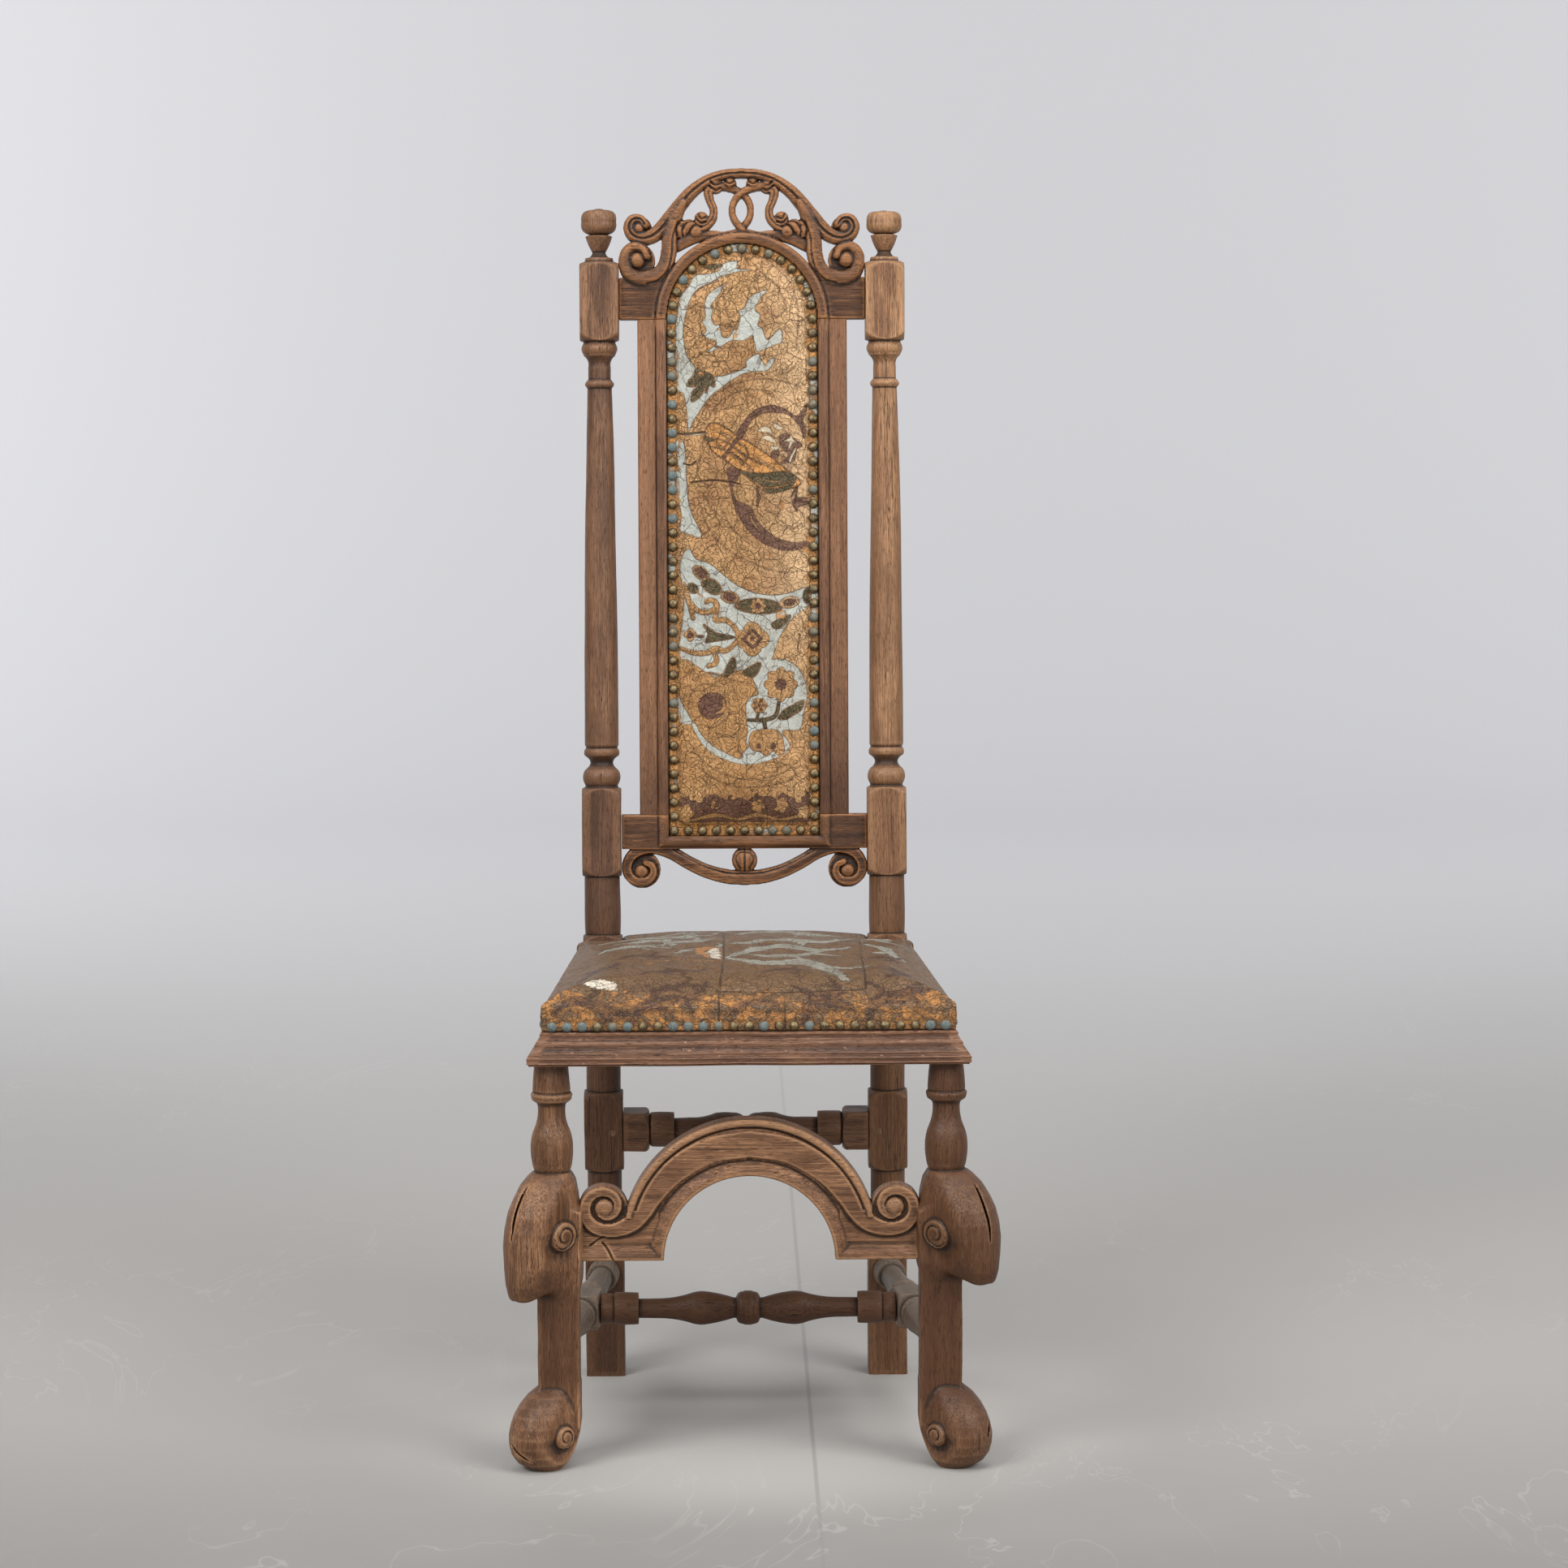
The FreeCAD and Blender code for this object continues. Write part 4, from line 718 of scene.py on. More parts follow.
@dataclass(frozen=True)
class Turning:
    """Piece turned from a square length of timber; stretches wider than the timber stay square blocks."""

    rows: Sequence[Row]
    half: float
    segments: int = 72
    arris: float = 18.0
    flutes: tuple[float, float, int, float] | None = None
    seed: int = 1
    # Darkness by height along the turning, for grime and painted shade.
    soil_and_shade: Sequence[Spot] = ((0.0, 0.0), (1.0, 0.0))

    def mesh(self) -> tuple[Array, list[Array]]:
        """Points about the Z axis and faces of the closed piece."""
        profile = turn_profile(self.rows)
        angle = np.arange(self.segments) * math.tau / self.segments
        power = self.arris
        rounded = np.abs(np.cos(angle)) ** power + np.abs(np.sin(angle)) ** power
        square = self.half / rounded ** (1.0 / power)
        height = np.repeat(profile[:, :1], self.segments, axis=1)
        radius = np.repeat(profile[:, 1:], self.segments, axis=1)
        if self.flutes:
            low, high, count, depth = self.flutes
            share = ease(height, low, low + 4.0) * ease(-height, -high, 3.0 - high)
            radius = radius - depth * share * np.abs(np.sin(angle * count / 2 + 0.6 * np.sin(2 * angle)))
        radius = np.minimum(radius, square)
        points = np.stack((radius * np.cos(angle), radius * np.sin(angle), height), axis=-1).reshape(-1, 3)
        middle = np.column_stack((points[:, 2], np.full(len(points), 7.0 * self.seed)))
        points[:, 0] += 0.35 * wobble(middle, 170.0, self.seed)
        points[:, 1] += 0.35 * wobble(middle, 150.0, self.seed + 50)
        points[:, :2] *= (1.0 + 0.006 * wobble(points, 46.0, self.seed + 100))[:, None]
        ends = np.array(((0, 0, profile[0, 0]), (0, 0, profile[-1, 0])), dtype=float)
        return np.vstack((points, ends)), tube_faces(len(profile), self.segments)

    def build(self, name: str, place: Callable[[Array], Array]) -> Piece:
        """Make the piece.

        Args:
            name: Name of the piece.
            place: Moves points from the turning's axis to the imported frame.

        Returns:
            The finished piece.
        """
        points, faces = self.mesh()
        piece = build_mesh(name, place(points), faces)
        soil_and_shade = np.clip(np.interp(points[:, 2], *zip(*self.soil_and_shade)), 0.0, 1.0)
        finish_timber(piece, points + np.array((37.0, 53.0, 91.0)) * self.seed, soil_and_shade=soil_and_shade)
        return piece


def laid(origin: Sequence[float], along: Sequence[float]) -> Callable[[Array], Array]:
    """Placing of a turning whose axis runs level from an origin along a direction."""
    axis = np.array(along, dtype=float) / np.linalg.norm(along)
    across = np.cross((0.0, 0.0, 1.0), axis)
    basis = np.stack((across, (0.0, 0.0, 1.0), axis))
    return lambda points: points @ basis + np.array(origin)


def field_mesh(field: Array, origin: Sequence[float], voxel: float) -> tuple[Array, list[Array]]:
    """Closed surface where a field changes from inside, negative, to outside.

    Args:
        field: Values on a box of samples.
        origin: Place of the first sample.
        voxel: Distance between samples.

    Returns:
        Points and faces.
    """
    limit = 3.0 * voxel
    grid = openvdb.FloatGrid(limit)
    grid.copyFromArray(np.clip(field, -limit, limit).astype(np.float32))
    points, quads = grid.convertToQuads(0.0)
    return points.astype(float) * voxel + np.array(origin), [quads.astype(np.int64)]


class Profile(Enum):
    """Cross-section of a carved strand."""

    ROUND = "round"
    GROOVED = "grooved"
    BAND = "band"

    def height(self, share: Array) -> Array:
        """Height from 0 to 1 at a share of the way from the strand's middle to its edge."""
        edge = np.clip(share, 0.0, 1.0)
        dome = np.sqrt(1.0 - 0.92 * edge ** 2)
        if self is Profile.GROOVED:
            return dome - 0.40 * np.exp(-(edge / 0.17) ** 2)
        if self is Profile.BAND:
            return 1.0 - 0.12 * edge ** 2 - 0.80 * ease(edge, 0.78, 1.0)
        return dome


@dataclass(frozen=True)
class Strand:
    """Carved ribbon along a line, with its half widths and how far forward edge and ridge stand."""

    points: Sequence[Spot]
    widths: Sequence[float]
    edge: float
    rise: float
    profile: Profile = Profile.ROUND


class Board:
    """Board carved in relief: an outline and a front surface over x and z, with a plain back."""

    def __init__(self, low: Spot, high: Spot, voxel: float, back: float) -> None:
        """Lay out the samples.

        Args:
            low: Lowest x and z.
            high: Highest x and z.
            voxel: Distance between samples.
            back: y of the back.
        """
        self.voxel = voxel
        self.low = (low[0] - 3 * voxel, low[1] - 3 * voxel)
        counts = [math.ceil((b - a) / voxel) + 7 for a, b in zip(low, high)]
        self.x, self.z = np.meshgrid(
            *(a + voxel * np.arange(n) for a, n in zip(self.low, counts)), indexing="ij"
        )
        self.outside = np.full(self.x.shape, 1e3)
        self.front = np.full(self.x.shape, back)
        self.back = np.full(self.x.shape, back)

    def across(self, mirror: bool) -> Array:
        """Distance across the board, from its middle where both sides are the same."""
        return np.abs(self.x) if mirror else self.x

    def add(self, outside: Array, front: Array | float, over: bool = False) -> None:
        """Add a flat area.

        Args:
            outside: Distance outside the area, negative within it.
            front: y of its front surface.
            over: Whether it replaces what lies below, rather than standing only where it is proud.
        """
        within = outside < 0.4 * self.voxel
        surface = front if over else np.minimum(self.front, front)
        self.front = np.where(within, surface, self.front)
        self.outside = np.minimum(self.outside, outside)

    def carve(self, strand: Strand, mirror: bool = True) -> None:
        """Add a strand, on both sides of the middle where `mirror` says so."""
        gap, along = line_distance(self.across(mirror), self.z, spline(strand.points))
        width = np.interp(along, np.linspace(0.0, 1.0, len(strand.widths)), strand.widths)
        height = strand.profile.height(gap / width)
        self.add(gap - width, strand.edge - strand.rise * height)

    def boss(self, x: float, z: float, radius: float, edge: float, rise: float) -> None:
        """Add a round knob on both sides."""
        gap = np.hypot(np.abs(self.x) - x, self.z - z)
        self.add(gap - radius, edge - rise * np.sqrt(np.clip(1.0 - (gap / radius) ** 2, 0.0, 1.0)))

    def disc(self, x: float, z: float, radius: float, front: float) -> None:
        """Add the solid ground of a volute on both sides."""
        self.add(np.hypot(np.abs(self.x) - x, self.z - z) - radius, front)

    def cut(self, points: Sequence[Spot], width: float, depth: float, mirror: bool = True) -> None:
        """Cut a groove along a line."""
        gap, _ = line_distance(self.across(mirror), self.z, spline(points))
        self.front = self.front + depth * np.exp(-(gap / width) ** 2)

    def mesh(self, arris: float = 1.6) -> tuple[Array, list[Array]]:
        """Points and faces of the closed board, its arrises worn round over about `arris`."""
        low = self.front[self.outside < 0].min() - 3 * self.voxel
        depth = np.arange(low, self.back.max() + 3 * self.voxel, self.voxel)
        y = depth[None, :, None]
        field = smooth_max(self.front[:, None, :] - y, self.outside[:, None, :], arris)
        field = smooth_max(field, y - self.back[:, None, :], arris)
        return field_mesh(field, (self.low[0], low, self.low[1]), self.voxel)


def sweep(section: Array, start: Array, stop: Array, pitch: float) -> tuple[Array, list[Array]]:
    """Closed prism whose ends may be cut on the skew.

    Args:
        section: Corners of the section in two coordinates, one per row.
        start: Distance along the piece where each corner starts.
        stop: Distance along the piece where each corner stops.
        pitch: Largest step along the piece.

    Returns:
        Points as the two section coordinates and the distance along, and faces.
    """
    count = len(section)
    steps = math.ceil(np.abs(stop - start).max() / pitch)
    share = np.linspace(0.0, 1.0, steps + 1)[:, None]
    along = start + share * (stop - start)
    points = np.stack(
        (np.broadcast_to(section[:, 0], along.shape), np.broadcast_to(section[:, 1], along.shape), along),
        axis=-1
    ).reshape(-1, 3)
    ends = [points[:count].mean(axis=0), points[-count:].mean(axis=0)]
    return np.vstack((points, ends)), tube_faces(steps + 1, count)


def fine_outline(corners: Sequence[Row], pitch: float) -> Array:
    """Sampled closed section from corners, each with the bulge of the line that leads to it."""
    line = turn_profile([*corners, (corners[0][0], corners[0][1], 0.0)], pitch)
    return line[:-1]


def dress(piece: Piece, material: Material, nodes: Sequence[str] = ()) -> None:
    """Give a piece its material, its body and the solids that it stands for.

    Args:
        piece: Finished piece.
        material: Its material.
        nodes: Solids that it stands for.
    """
    piece.data.materials.clear()
    piece.data.materials.append(material)
    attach(piece, "root")
    if nodes:
        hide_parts(*nodes)
    LOG.info("%s: %d faces", piece.name, len(piece.data.polygons))


# Back frame
@dataclass
class BackFrame:
    """Back posts, crest rail, stiles and lower rail, in millimetres."""

    chair: ChairFrame
    moulding: float = 12.5
    lip: float = 19.0
    lip_y: float = -5.0
    field_y: float = -10.5
    proud_y: float = -13.0
    back_y: float = 13.0
    stile_outer: float = 115.0
    rail_top: float = 626.0
    rail_bottom: float = 588.0
    shoulder_top: float = 1221.0
    crest_top: float = 1336.0
    finial_left: float = 28.5
    finial_right: float = 25.5

    def block(self, bottom: float, height: float, foot: float, head: float) -> list[Row]:
        """Rows of a square block with turned shoulders."""
        wide = block_radius(self.chair.post_half)
        return [
            (bottom, foot, 0), (bottom + 14, wide, 3), (bottom + height - 14, wide, 0),
            (bottom + height, head, 3)
        ]

    def post_rows(self, finial: float) -> list[Row]:
        """Rows of a back post from its foot to its finial."""
        wide = block_radius(self.chair.post_half)
        rows = [
            (0, wide, 0), (136, wide, 0), (150, 19, 3), *self.block(230, 90, 19, 19), (400, 19, 0),
            (414, wide, 3)
        ]
        rows += [(480, wide, 0), (494, 19.4, 3), (526, 19.9, 0.3), *self.block(558, 98, 19.4, 19)]
        rows += stack(
            656,
            [
                (2, 17.6, 0), (2, 18.6, 0), (15, 18.6, 2.1), (2, 16.6, 0), (13, 17.0, -4.2), (1, 18.7, 0),
                (7, 18.7, 0.9), (2, 17.2, 0), (3, 18.7, 0)
            ]
        )
        rows += stack(
            1095,
            [
                (0, 13.5, 1.2), (1, 14.2, 0), (7, 14.2, 1.9), (2, 12.5, 0), (13, 12.5, 0), (13, 17.5, -2.2),
                (2, 18.0, 0), (11, 18.0, 1.9)
            ]
        )
        rows += self.block(1146, 88, 17.5, 16)
        half = finial / 2
        rows += stack(
            1234,
            [
                (4, 15, 0), (6, 7.2, -2), (16, 14.3, 0.6), (2, 14.3, 0.6), (1.5, 9.5, 0), (half, 19.3, 4.2),
                (half - 1.5, 7.0, 5.4), (1.7, 0.8, 0.5)
            ]
        )
        return rows

    def posts(self, woods: Sequence[Material]) -> None:
        """Make both back posts, darker towards the floor with grime and painted shade under the seat."""
        soil_and_shade = (
            (0.0, 0.75), (420.0, 0.85), (550.0, 0.8), (575.0, 0.45), (650.0, 0.4), (720.0, 0.25),
            (1000.0, 0.05)
        )
        for side, finial, flutes, wood in ((-1, self.finial_left, None, woods[0]),
                                           (1, self.finial_right, (1262.0, 1288.0, 17, 0.8), woods[1])):
            turning = Turning(
                self.post_rows(finial), self.chair.post_half, flutes=flutes, seed=2 + side, soil_and_shade=soil_and_shade
            )

            def place(points: Array, side: int = side) -> Array:
                """Bend the post and move it to its side."""
                moved = self.chair.bent(points) + np.array((side * self.chair.post_x, 0.0, 0.0))
                return self.chair.settle(moved)

            name = "post_left" if side < 0 else "post_right"
            dress(turning.build(name, place), wood, ["back_" + name])

    def frame_front(self, beyond: Array) -> Array:
        """Front of the panel frame at a distance beyond the leather: lip, half-round and flat field."""
        middle = self.moulding / 2
        share = np.clip(np.abs(beyond - middle) / middle, 0.0, 1.0)
        bead = self.proud_y + 0.2 + 4.2 * (1.0 - np.sqrt(1.0 - 0.96 * share ** 2))
        return np.where(beyond < 0.0, self.lip_y, np.where(beyond < self.moulding, bead, self.field_y))

    def finish_board(self, name: str, board: Board, wood: Material, nodes: Sequence[str]) -> None:
        """Make a carved board of the back, with its grain running across the chair."""
        points, faces = board.mesh()
        points[:, 1] += 0.25 * wobble(points, 60.0, len(name))
        piece = build_mesh(name, self.chair.settle(self.chair.lean(points)), faces)
        finish_timber(piece, points[:, [2, 1, 0]] + len(name) * 31.0, 60.0)
        dress(piece, wood, nodes)

    def crest(self, wood: Material) -> None:
        """Make the crest rail: shoulders, arched moulding and the pierced carving above it."""
        inner = self.chair.post_inner - 0.3
        board = Board((-inner, self.chair.spring), (inner, self.crest_top), 1.25, self.back_y)
        x, z = np.abs(board.x), board.z
        board.back = np.where(z > self.shoulder_top, 10.5, self.back_y)
        turn = np.hypot(x, z - self.chair.spring)
        below = self.chair.spring - z
        board.add(np.maximum(np.maximum(x - inner, z - self.shoulder_top + 5.0), below), self.field_y)
        edge, rise = -5.5, 5.5
        board.disc(114.0, 1235.0, 19.0, -4.5)
        board.disc(112.0, 1270.0, 13.5, -4.0)
        scroll = [
            (64, 1298), (73, 1281), (79, 1261), (80, 1244), (84, 1229), (92.5, 1219), (104, 1215),
            (115.5, 1215.5), (125, 1221.5), (128.6, 1232.5), (126.5, 1243.5), (118.5, 1250), (109, 1247.5),
            (104.5, 1239.5)
        ]
        board.carve(
            Strand(
                scroll, (5.0, 8.0, 8.4, 8.8, 8.4, 8.2, 7.6, 6.8, 5.8, 4.0), edge - 2.5, rise, Profile.ROUND
            )
        )
        arch = [
            (0, 1330.5), (20, 1328.5), (38, 1322), (54, 1310.5), (65, 1298.5), (76, 1284.5), (87, 1271),
            (97, 1262.5), (108.5, 1259), (119, 1262.5), (123.5, 1271), (119.5, 1279.5), (111, 1280),
            (106, 1274)
        ]
        board.carve(
            Strand(
                arch, (5.4, 5.6, 6.2, 7.2, 8.0, 8.4, 8.0, 7.2, 6.2, 4.4), edge - 1, rise, Profile.GROOVED
            )
        )
        board.boss(115.0, 1235.5, 8.4, edge - 2.5, 6.0)
        board.boss(113.0, 1270.5, 6.4, edge - 1.5, 5.5)
        board.cut(
            [(70, 1277), (75.5, 1259), (76.5, 1243), (81, 1225), (91, 1213.5), (104, 1209.5)], 0.9, 1.6
        )
        self.crest_leaves(board, edge, rise)
        board.add(np.maximum(np.maximum(turn - self.chair.panel_half - self.moulding,
                                        self.chair.panel_half - self.lip - turn), below),
                  self.frame_front(turn - self.chair.panel_half), over=True)
        hole = self.chair.panel_half - self.lip - turn
        board.outside = np.maximum(board.outside, np.where(z > self.chair.spring - 5, hole, -1e3))
        seam = [
            (self.chair.panel_half + self.moulding + 0.5) * np.array((math.cos(a), math.sin(a)))
            for a in np.linspace(0.0, math.pi / 2, 9)
        ]
        board.cut([(px, self.chair.spring + pz) for px, pz in seam], 0.9, 1.1)
        self.finish_board("crest", board, wood, ["crest_rail"])

    def crest_leaves(self, board: Board, edge: float, rise: float) -> None:
        """Carve the leafy stems, the crossed loops and the base between the arch and its moulding."""
        stem = [
            (26, 1317.5), (35.5, 1311), (34.5, 1301), (30.5, 1291), (31.5, 1281.5), (38, 1274), (47, 1270)
        ]
        board.carve(Strand(stem, (6.0, 5.6, 4.4, 4.6, 5.2, 6.5), edge, rise - 0.5, Profile.GROOVED))
        for x, z, radius in (
            (28.5, 1316.5, 8.6), (12.5, 1318.5, 7.4), (44.0, 1280.5, 8.0), (50.0, 1266.5, 8.6),
            (58.0, 1271.0, 9.4), (66.5, 1266.5, 8.2), (68.5, 1276.0, 6.0)
        ):
            board.boss(x, z, radius, edge + 0.5, rise + 1.2)
        for line in (
            [(23, 1314), (28, 1311.5), (35, 1316)], [(22, 1319), (29, 1317), (34, 1321)],
            [(7, 1317), (13, 1313.5), (18, 1317)], [(8, 1321), (13, 1318.5), (18, 1321.5)],
            [(39, 1277), (45, 1276), (50.5, 1281)], [(39, 1282), (44.5, 1280.5), (48, 1286)],
            [(44, 1272), (52, 1273), (58, 1264), (56, 1259)],
            [(52, 1278), (60, 1276), (65, 1268), (64, 1260)],
            [(60, 1281), (66.5, 1278), (71.5, 1270), (71, 1262)]
        ):
            board.cut(line, 1.1, 3.0)
        loop = [(27, 1317), (15, 1315.0), (3, 1310.5), (-6.5, 1302), (-10.2, 1291), (-8, 1280), (1, 1268)]
        board.carve(
            Strand([(-px, pz) for px, pz in loop], (5.0, 4.4, 4.0, 3.9, 4.2), edge + 1.8, rise - 1.0), False
        )
        board.carve(Strand(loop, (5.0, 4.4, 4.0, 3.9, 4.2), edge, rise - 1.0), False)
        base = [(0, 1266), (18, 1262.5), (36, 1262.5), (54, 1259), (72, 1250)]
        board.carve(Strand(base, (5.0, 4.2, 5.4, 6.4, 6.0), edge, rise - 2.0))

    def lower_rail(self, wood: Material) -> None:
        """Make the lower back rail with its sill moulding and the carved swag under it."""
        inner = self.chair.post_inner - 0.3
        board = Board((-inner, 543.0), (inner, self.rail_top), 1.05, self.back_y)
        x, z = np.abs(board.x), board.z
        board.back = np.where(z < self.rail_bottom, 9.5, self.back_y)
        beyond = np.maximum(x - self.chair.panel_half, self.chair.panel_bottom - z)
        rail = np.maximum(np.maximum(x - inner, z - self.rail_top), self.rail_bottom - z)
        board.add(rail, self.frame_front(beyond))
        board.front = np.where(rail < 0.0, self.frame_front(beyond), board.front)
        edge, rise = -4.5, 5.0
        swag = [
            (0, 555.5), (20, 557), (42, 563), (62, 572.5), (80, 583), (97, 588.5), (111, 588), (123, 582),
            (129.5, 571), (128, 559.5), (119.5, 552.3), (108.5, 552.5), (101, 560), (102, 569), (109, 573)
        ]
        board.disc(113.0, 565.0, 20.5, -3.6)
        board.carve(
            Strand(swag, (8.2, 8.0, 7.6, 7.4, 7.2, 6.6, 6.0, 5.4, 4.8, 3.6), edge, rise, Profile.BAND)
        )
        board.boss(113.5, 563, 7.4, edge - 0.5, 5.0)
        board.cut([(0, 560), (20, 561.5), (41, 567.5), (60, 577), (78, 587)], 1.0, 1.5)
        board.boss(0, 575, 14.2, edge, 8.5)
        board.cut([(0, 588), (0.4, 578), (0, 563)], 0.9, 1.6)
        board.cut([(1, 584), (6.5, 583), (10, 576), (5, 566)], 0.9, 1.4)
        hole = np.maximum(x - (self.chair.panel_half - self.lip), self.chair.panel_bottom + self.lip - z)
        board.outside = np.maximum(board.outside, -hole)
        self.finish_board("lower_rail", board, wood, ["lower_back_rail"])

    def stiles(self, wood: Material) -> None:
        """Make both back stiles as moulded lengths."""
        panel, lip = self.chair.panel_half, self.lip
        edge = np.linspace(panel, panel + self.moulding, 18)
        bead = self.frame_front(np.clip(edge - panel, 0.0, self.moulding - 0.01))
        face = [(panel - lip, self.lip_y), (panel - 0.4, self.lip_y), *zip(edge, bead)]
        face += [
            (panel + self.moulding + 0.6, self.field_y + 0.9), (panel + self.moulding + 1.6, self.field_y)
        ]
        face += [(self.stile_outer - 8, self.field_y + 0.2), (self.stile_outer - 1.2, self.field_y),
                 (self.stile_outer, self.field_y + 1.2)]
        face += [(self.stile_outer, self.back_y - 0.8), (self.stile_outer - 0.8, self.back_y),
                 (panel - lip + 0.8, self.back_y), (panel - lip, self.back_y - 0.8)]
        section = np.array(face)
        low, high = np.full(len(face), self.rail_top + 0.1), np.full(len(face), self.chair.spring - 0.1)
        for side, name in ((1, "stile_right"), (-1, "stile_left")):
            points, faces = sweep(section, low, high, 4.0)
            grain = points + 17.0 * side
            points[:, 1] += 0.3 * wobble(points[:, [0, 2]], 120.0, 20 + side) * (points[:, 1] < 0)
            points[:, 0] *= side
            piece = build_mesh(name, self.chair.settle(self.chair.lean(points)), faces)
            # Grime and painted shade: darker near the lower rail, and the right stile darker all over.
            soil_and_shade = np.interp(
                points[:, 2], (630.0, 690.0, 800.0, 1170.0), (0.85, 0.5, 0.15, 0.1)
            ) + 0.15 * (side + 1)
            finish_timber(piece, grain, soil_and_shade=np.minimum(soil_and_shade, 1.0))
            dress(piece, wood, ["back_" + name])


# Underframe
@dataclass
class FrontLegs:
    """Front legs: turned vase, scrolled knee, square shaft and scrolled foot, in millimetres."""

    chair: ChairFrame
    leg_top: float = 425.5
    turning_foot: float = 311.0
    shaft_top: float = 268.0
    foot_top: float = 86.0
    inner: float = 28.0
    outer: float = 16.0
    eye_offset: float = 12.0
    knee_eye: float = 248.0
    foot_eye: float = 36.0
    voxel: float = 1.3

    def turned(self, z: Array) -> Array:
        """Radius of the turned upper part at a height."""
        rows = [
            (300, 18.5, 0),
            *stack(
                self.turning_foot,
                [
                    (0, 17.6, 0), (10, 20.8, 0.6), (14, 22.0, 0.4), (19, 19.0, 0.8), (17, 14.3, -0.7),
                    (9, 14.2, -0.2), (5, 18.6, -1.1), (4.5, 20.8, 0.8), (4, 20.6, 0.9), (1.5, 18.8, 0),
                    (1, 19.6, 0)
                ]
            ),
            (430, 16.6, 0.3)
        ]
        profile = turn_profile(rows)
        return np.interp(z, profile[:, 0], profile[:, 1])

    def scroll(self, u: Array, v: Array, hollow: Array, outer: Array, nose: Array) -> Array:
        """Field of a scroll on the leg's diagonal, with a round nose.

        Args:
            u: Distance out along the diagonal.
            v: Distance across it.
            hollow: Depth carved into its flanks.
            outer: Reach of the nose to the front and to the side.
            nose: Radius of the nose.

        Returns:
            Field that is negative inside the scroll.
        """
        ahead = np.maximum(u - math.sqrt(2.0) * (outer - nose), 0.0)
        return np.hypot(ahead, np.abs(v) + hollow) - nose

    def eye(self, u: Array, z: Array, height: float, ring: float) -> Array:
        """Depth carved into a scroll's flank: a hollow round the eye, which stands as a spiral disc."""
        gap = np.hypot(u - self.eye_offset, z - height)
        turn = np.arctan2(z - height, u - self.eye_offset)
        outside = ease(gap, ring - 0.8, ring + 1.2) * ease(-gap, -2.6 * ring, -1.3 * ring)
        low = ease(-z, -height - 0.6 * ring, -height + 0.8 * ring)
        spiral = np.abs((gap / ring * 2.1 - turn / math.tau) % 1.0 - 0.5)
        groove = 2.2 * ease(spiral, 0.30, 0.46) * ease(
            gap, 0.30 * ring, 0.42 * ring
        ) * ease(-gap, -ring, -0.9 * ring)
        disc = 2.6 * ease(-gap, -ring - 0.6, -ring + 0.8)
        return 5.5 * outside * (0.25 + 0.75 * low) + groove - disc

    def crack(self, x: Array, y: Array, z: Array, line: Sequence[Spot], depth: float) -> Array:
        """Field of a drying crack in the front of the leg, seen as a line in x and z."""
        gap, along = line_distance(x, z, spline(line))
        width = 1.05 * np.sqrt(np.clip(1.0 - (2.0 * along - 1.0) ** 2, 0.05, 1.0))
        return np.maximum(gap - width, y - depth)

    def mesh(
        self, reach: float, tip: float, cracks: Sequence[tuple[Sequence[Spot], float]]
    ) -> tuple[Array, list[Array]]:
        """Points and faces of a left leg about its turning axis.

        Args:
            reach: How far the knee stands out to the front and to the side.
            tip: Height of the knee's lowest point.
            cracks: Drying cracks, each a line in x and z and the y that it reaches to.

        Returns:
            Points and faces.
        """
        voxel = self.voxel
        low = np.array((-reach - 6.0, -reach - 6.0, -4.0))
        counts = np.ceil(
            (np.array((self.inner + 5.0, self.inner + 5.0, self.leg_top + 1.5)) - low) / voxel
        ).astype(int)
        x, y, z = np.meshgrid(*(a + voxel * np.arange(n, dtype=np.float32) for a, n in zip(low, counts)),
                              indexing="ij", sparse=True)
        u, v = -(x + y) / math.sqrt(2.0), (x - y) / math.sqrt(2.0)
        top, drop = self.turning_foot, self.turning_foot - tip
        falls = top - drop * np.array((1.0, 0.965, 0.84, 0.70, 0.55, 0.42, 0.30, 0.20, 0.10, 0.03, -0.02))
        outs = reach * np.array((0.80, 0.88, 0.955, 0.985, 1.0, 0.975, 0.91, 0.80, 0.66, 0.50, 0.34))
        noses = np.array((11, 15, 20, 25, 28.5, 30.0, 29.6, 28.2, 26, 23, 19.5))
        hollow = self.eye(u, z, self.knee_eye, 15.0)
        knee = self.scroll(u, v, hollow, np.interp(z, falls, outs), np.interp(z, falls, noses))
        knee = smooth_max(knee, tip + 0.34 * (reach - np.maximum(-x, -y)) - z, 9.0)
        knee = smooth_max(knee, z - top - 1.0, 3.0)
        heights = np.array((-3, 0, 8, 17, 27, 37, 48, 58, 68, 77, 83, 86))
        outs = np.array((24, 28, 38.5, 44, 46.5, 47, 44.8, 41.3, 35.5, 27.5, 19, 12))
        noses = np.array((18, 20, 24.5, 27, 28.6, 29.2, 28.6, 27, 24.5, 21, 17, 13))
        inners = np.array((4, 7.5, 15, 20, 24, 27, 28, 28, 28, 28, 28, 28))
        foot = self.scroll(u, v, self.eye(u, z, self.foot_eye, 11.5), np.interp(z, heights, outs),
                           np.interp(z, heights, noses))
        side = np.interp(z, heights, inners)
        foot = smooth_max(smooth_max(foot, x - side, 3.0), y - side, 3.0)
        foot = smooth_max(smooth_max(foot, -z, 1.2), z - self.foot_top, 2.0)
        shaft = smooth_max(np.maximum(x, y) - self.inner, -np.minimum(x, y) - self.outer, 1.5)
        shaft = smooth_max(smooth_max(shaft, x - self.inner, 1.6), y - self.inner, 1.6)
        shaft = smooth_max(np.maximum(shaft, z - self.shaft_top), 40.0 - z, 6.0)
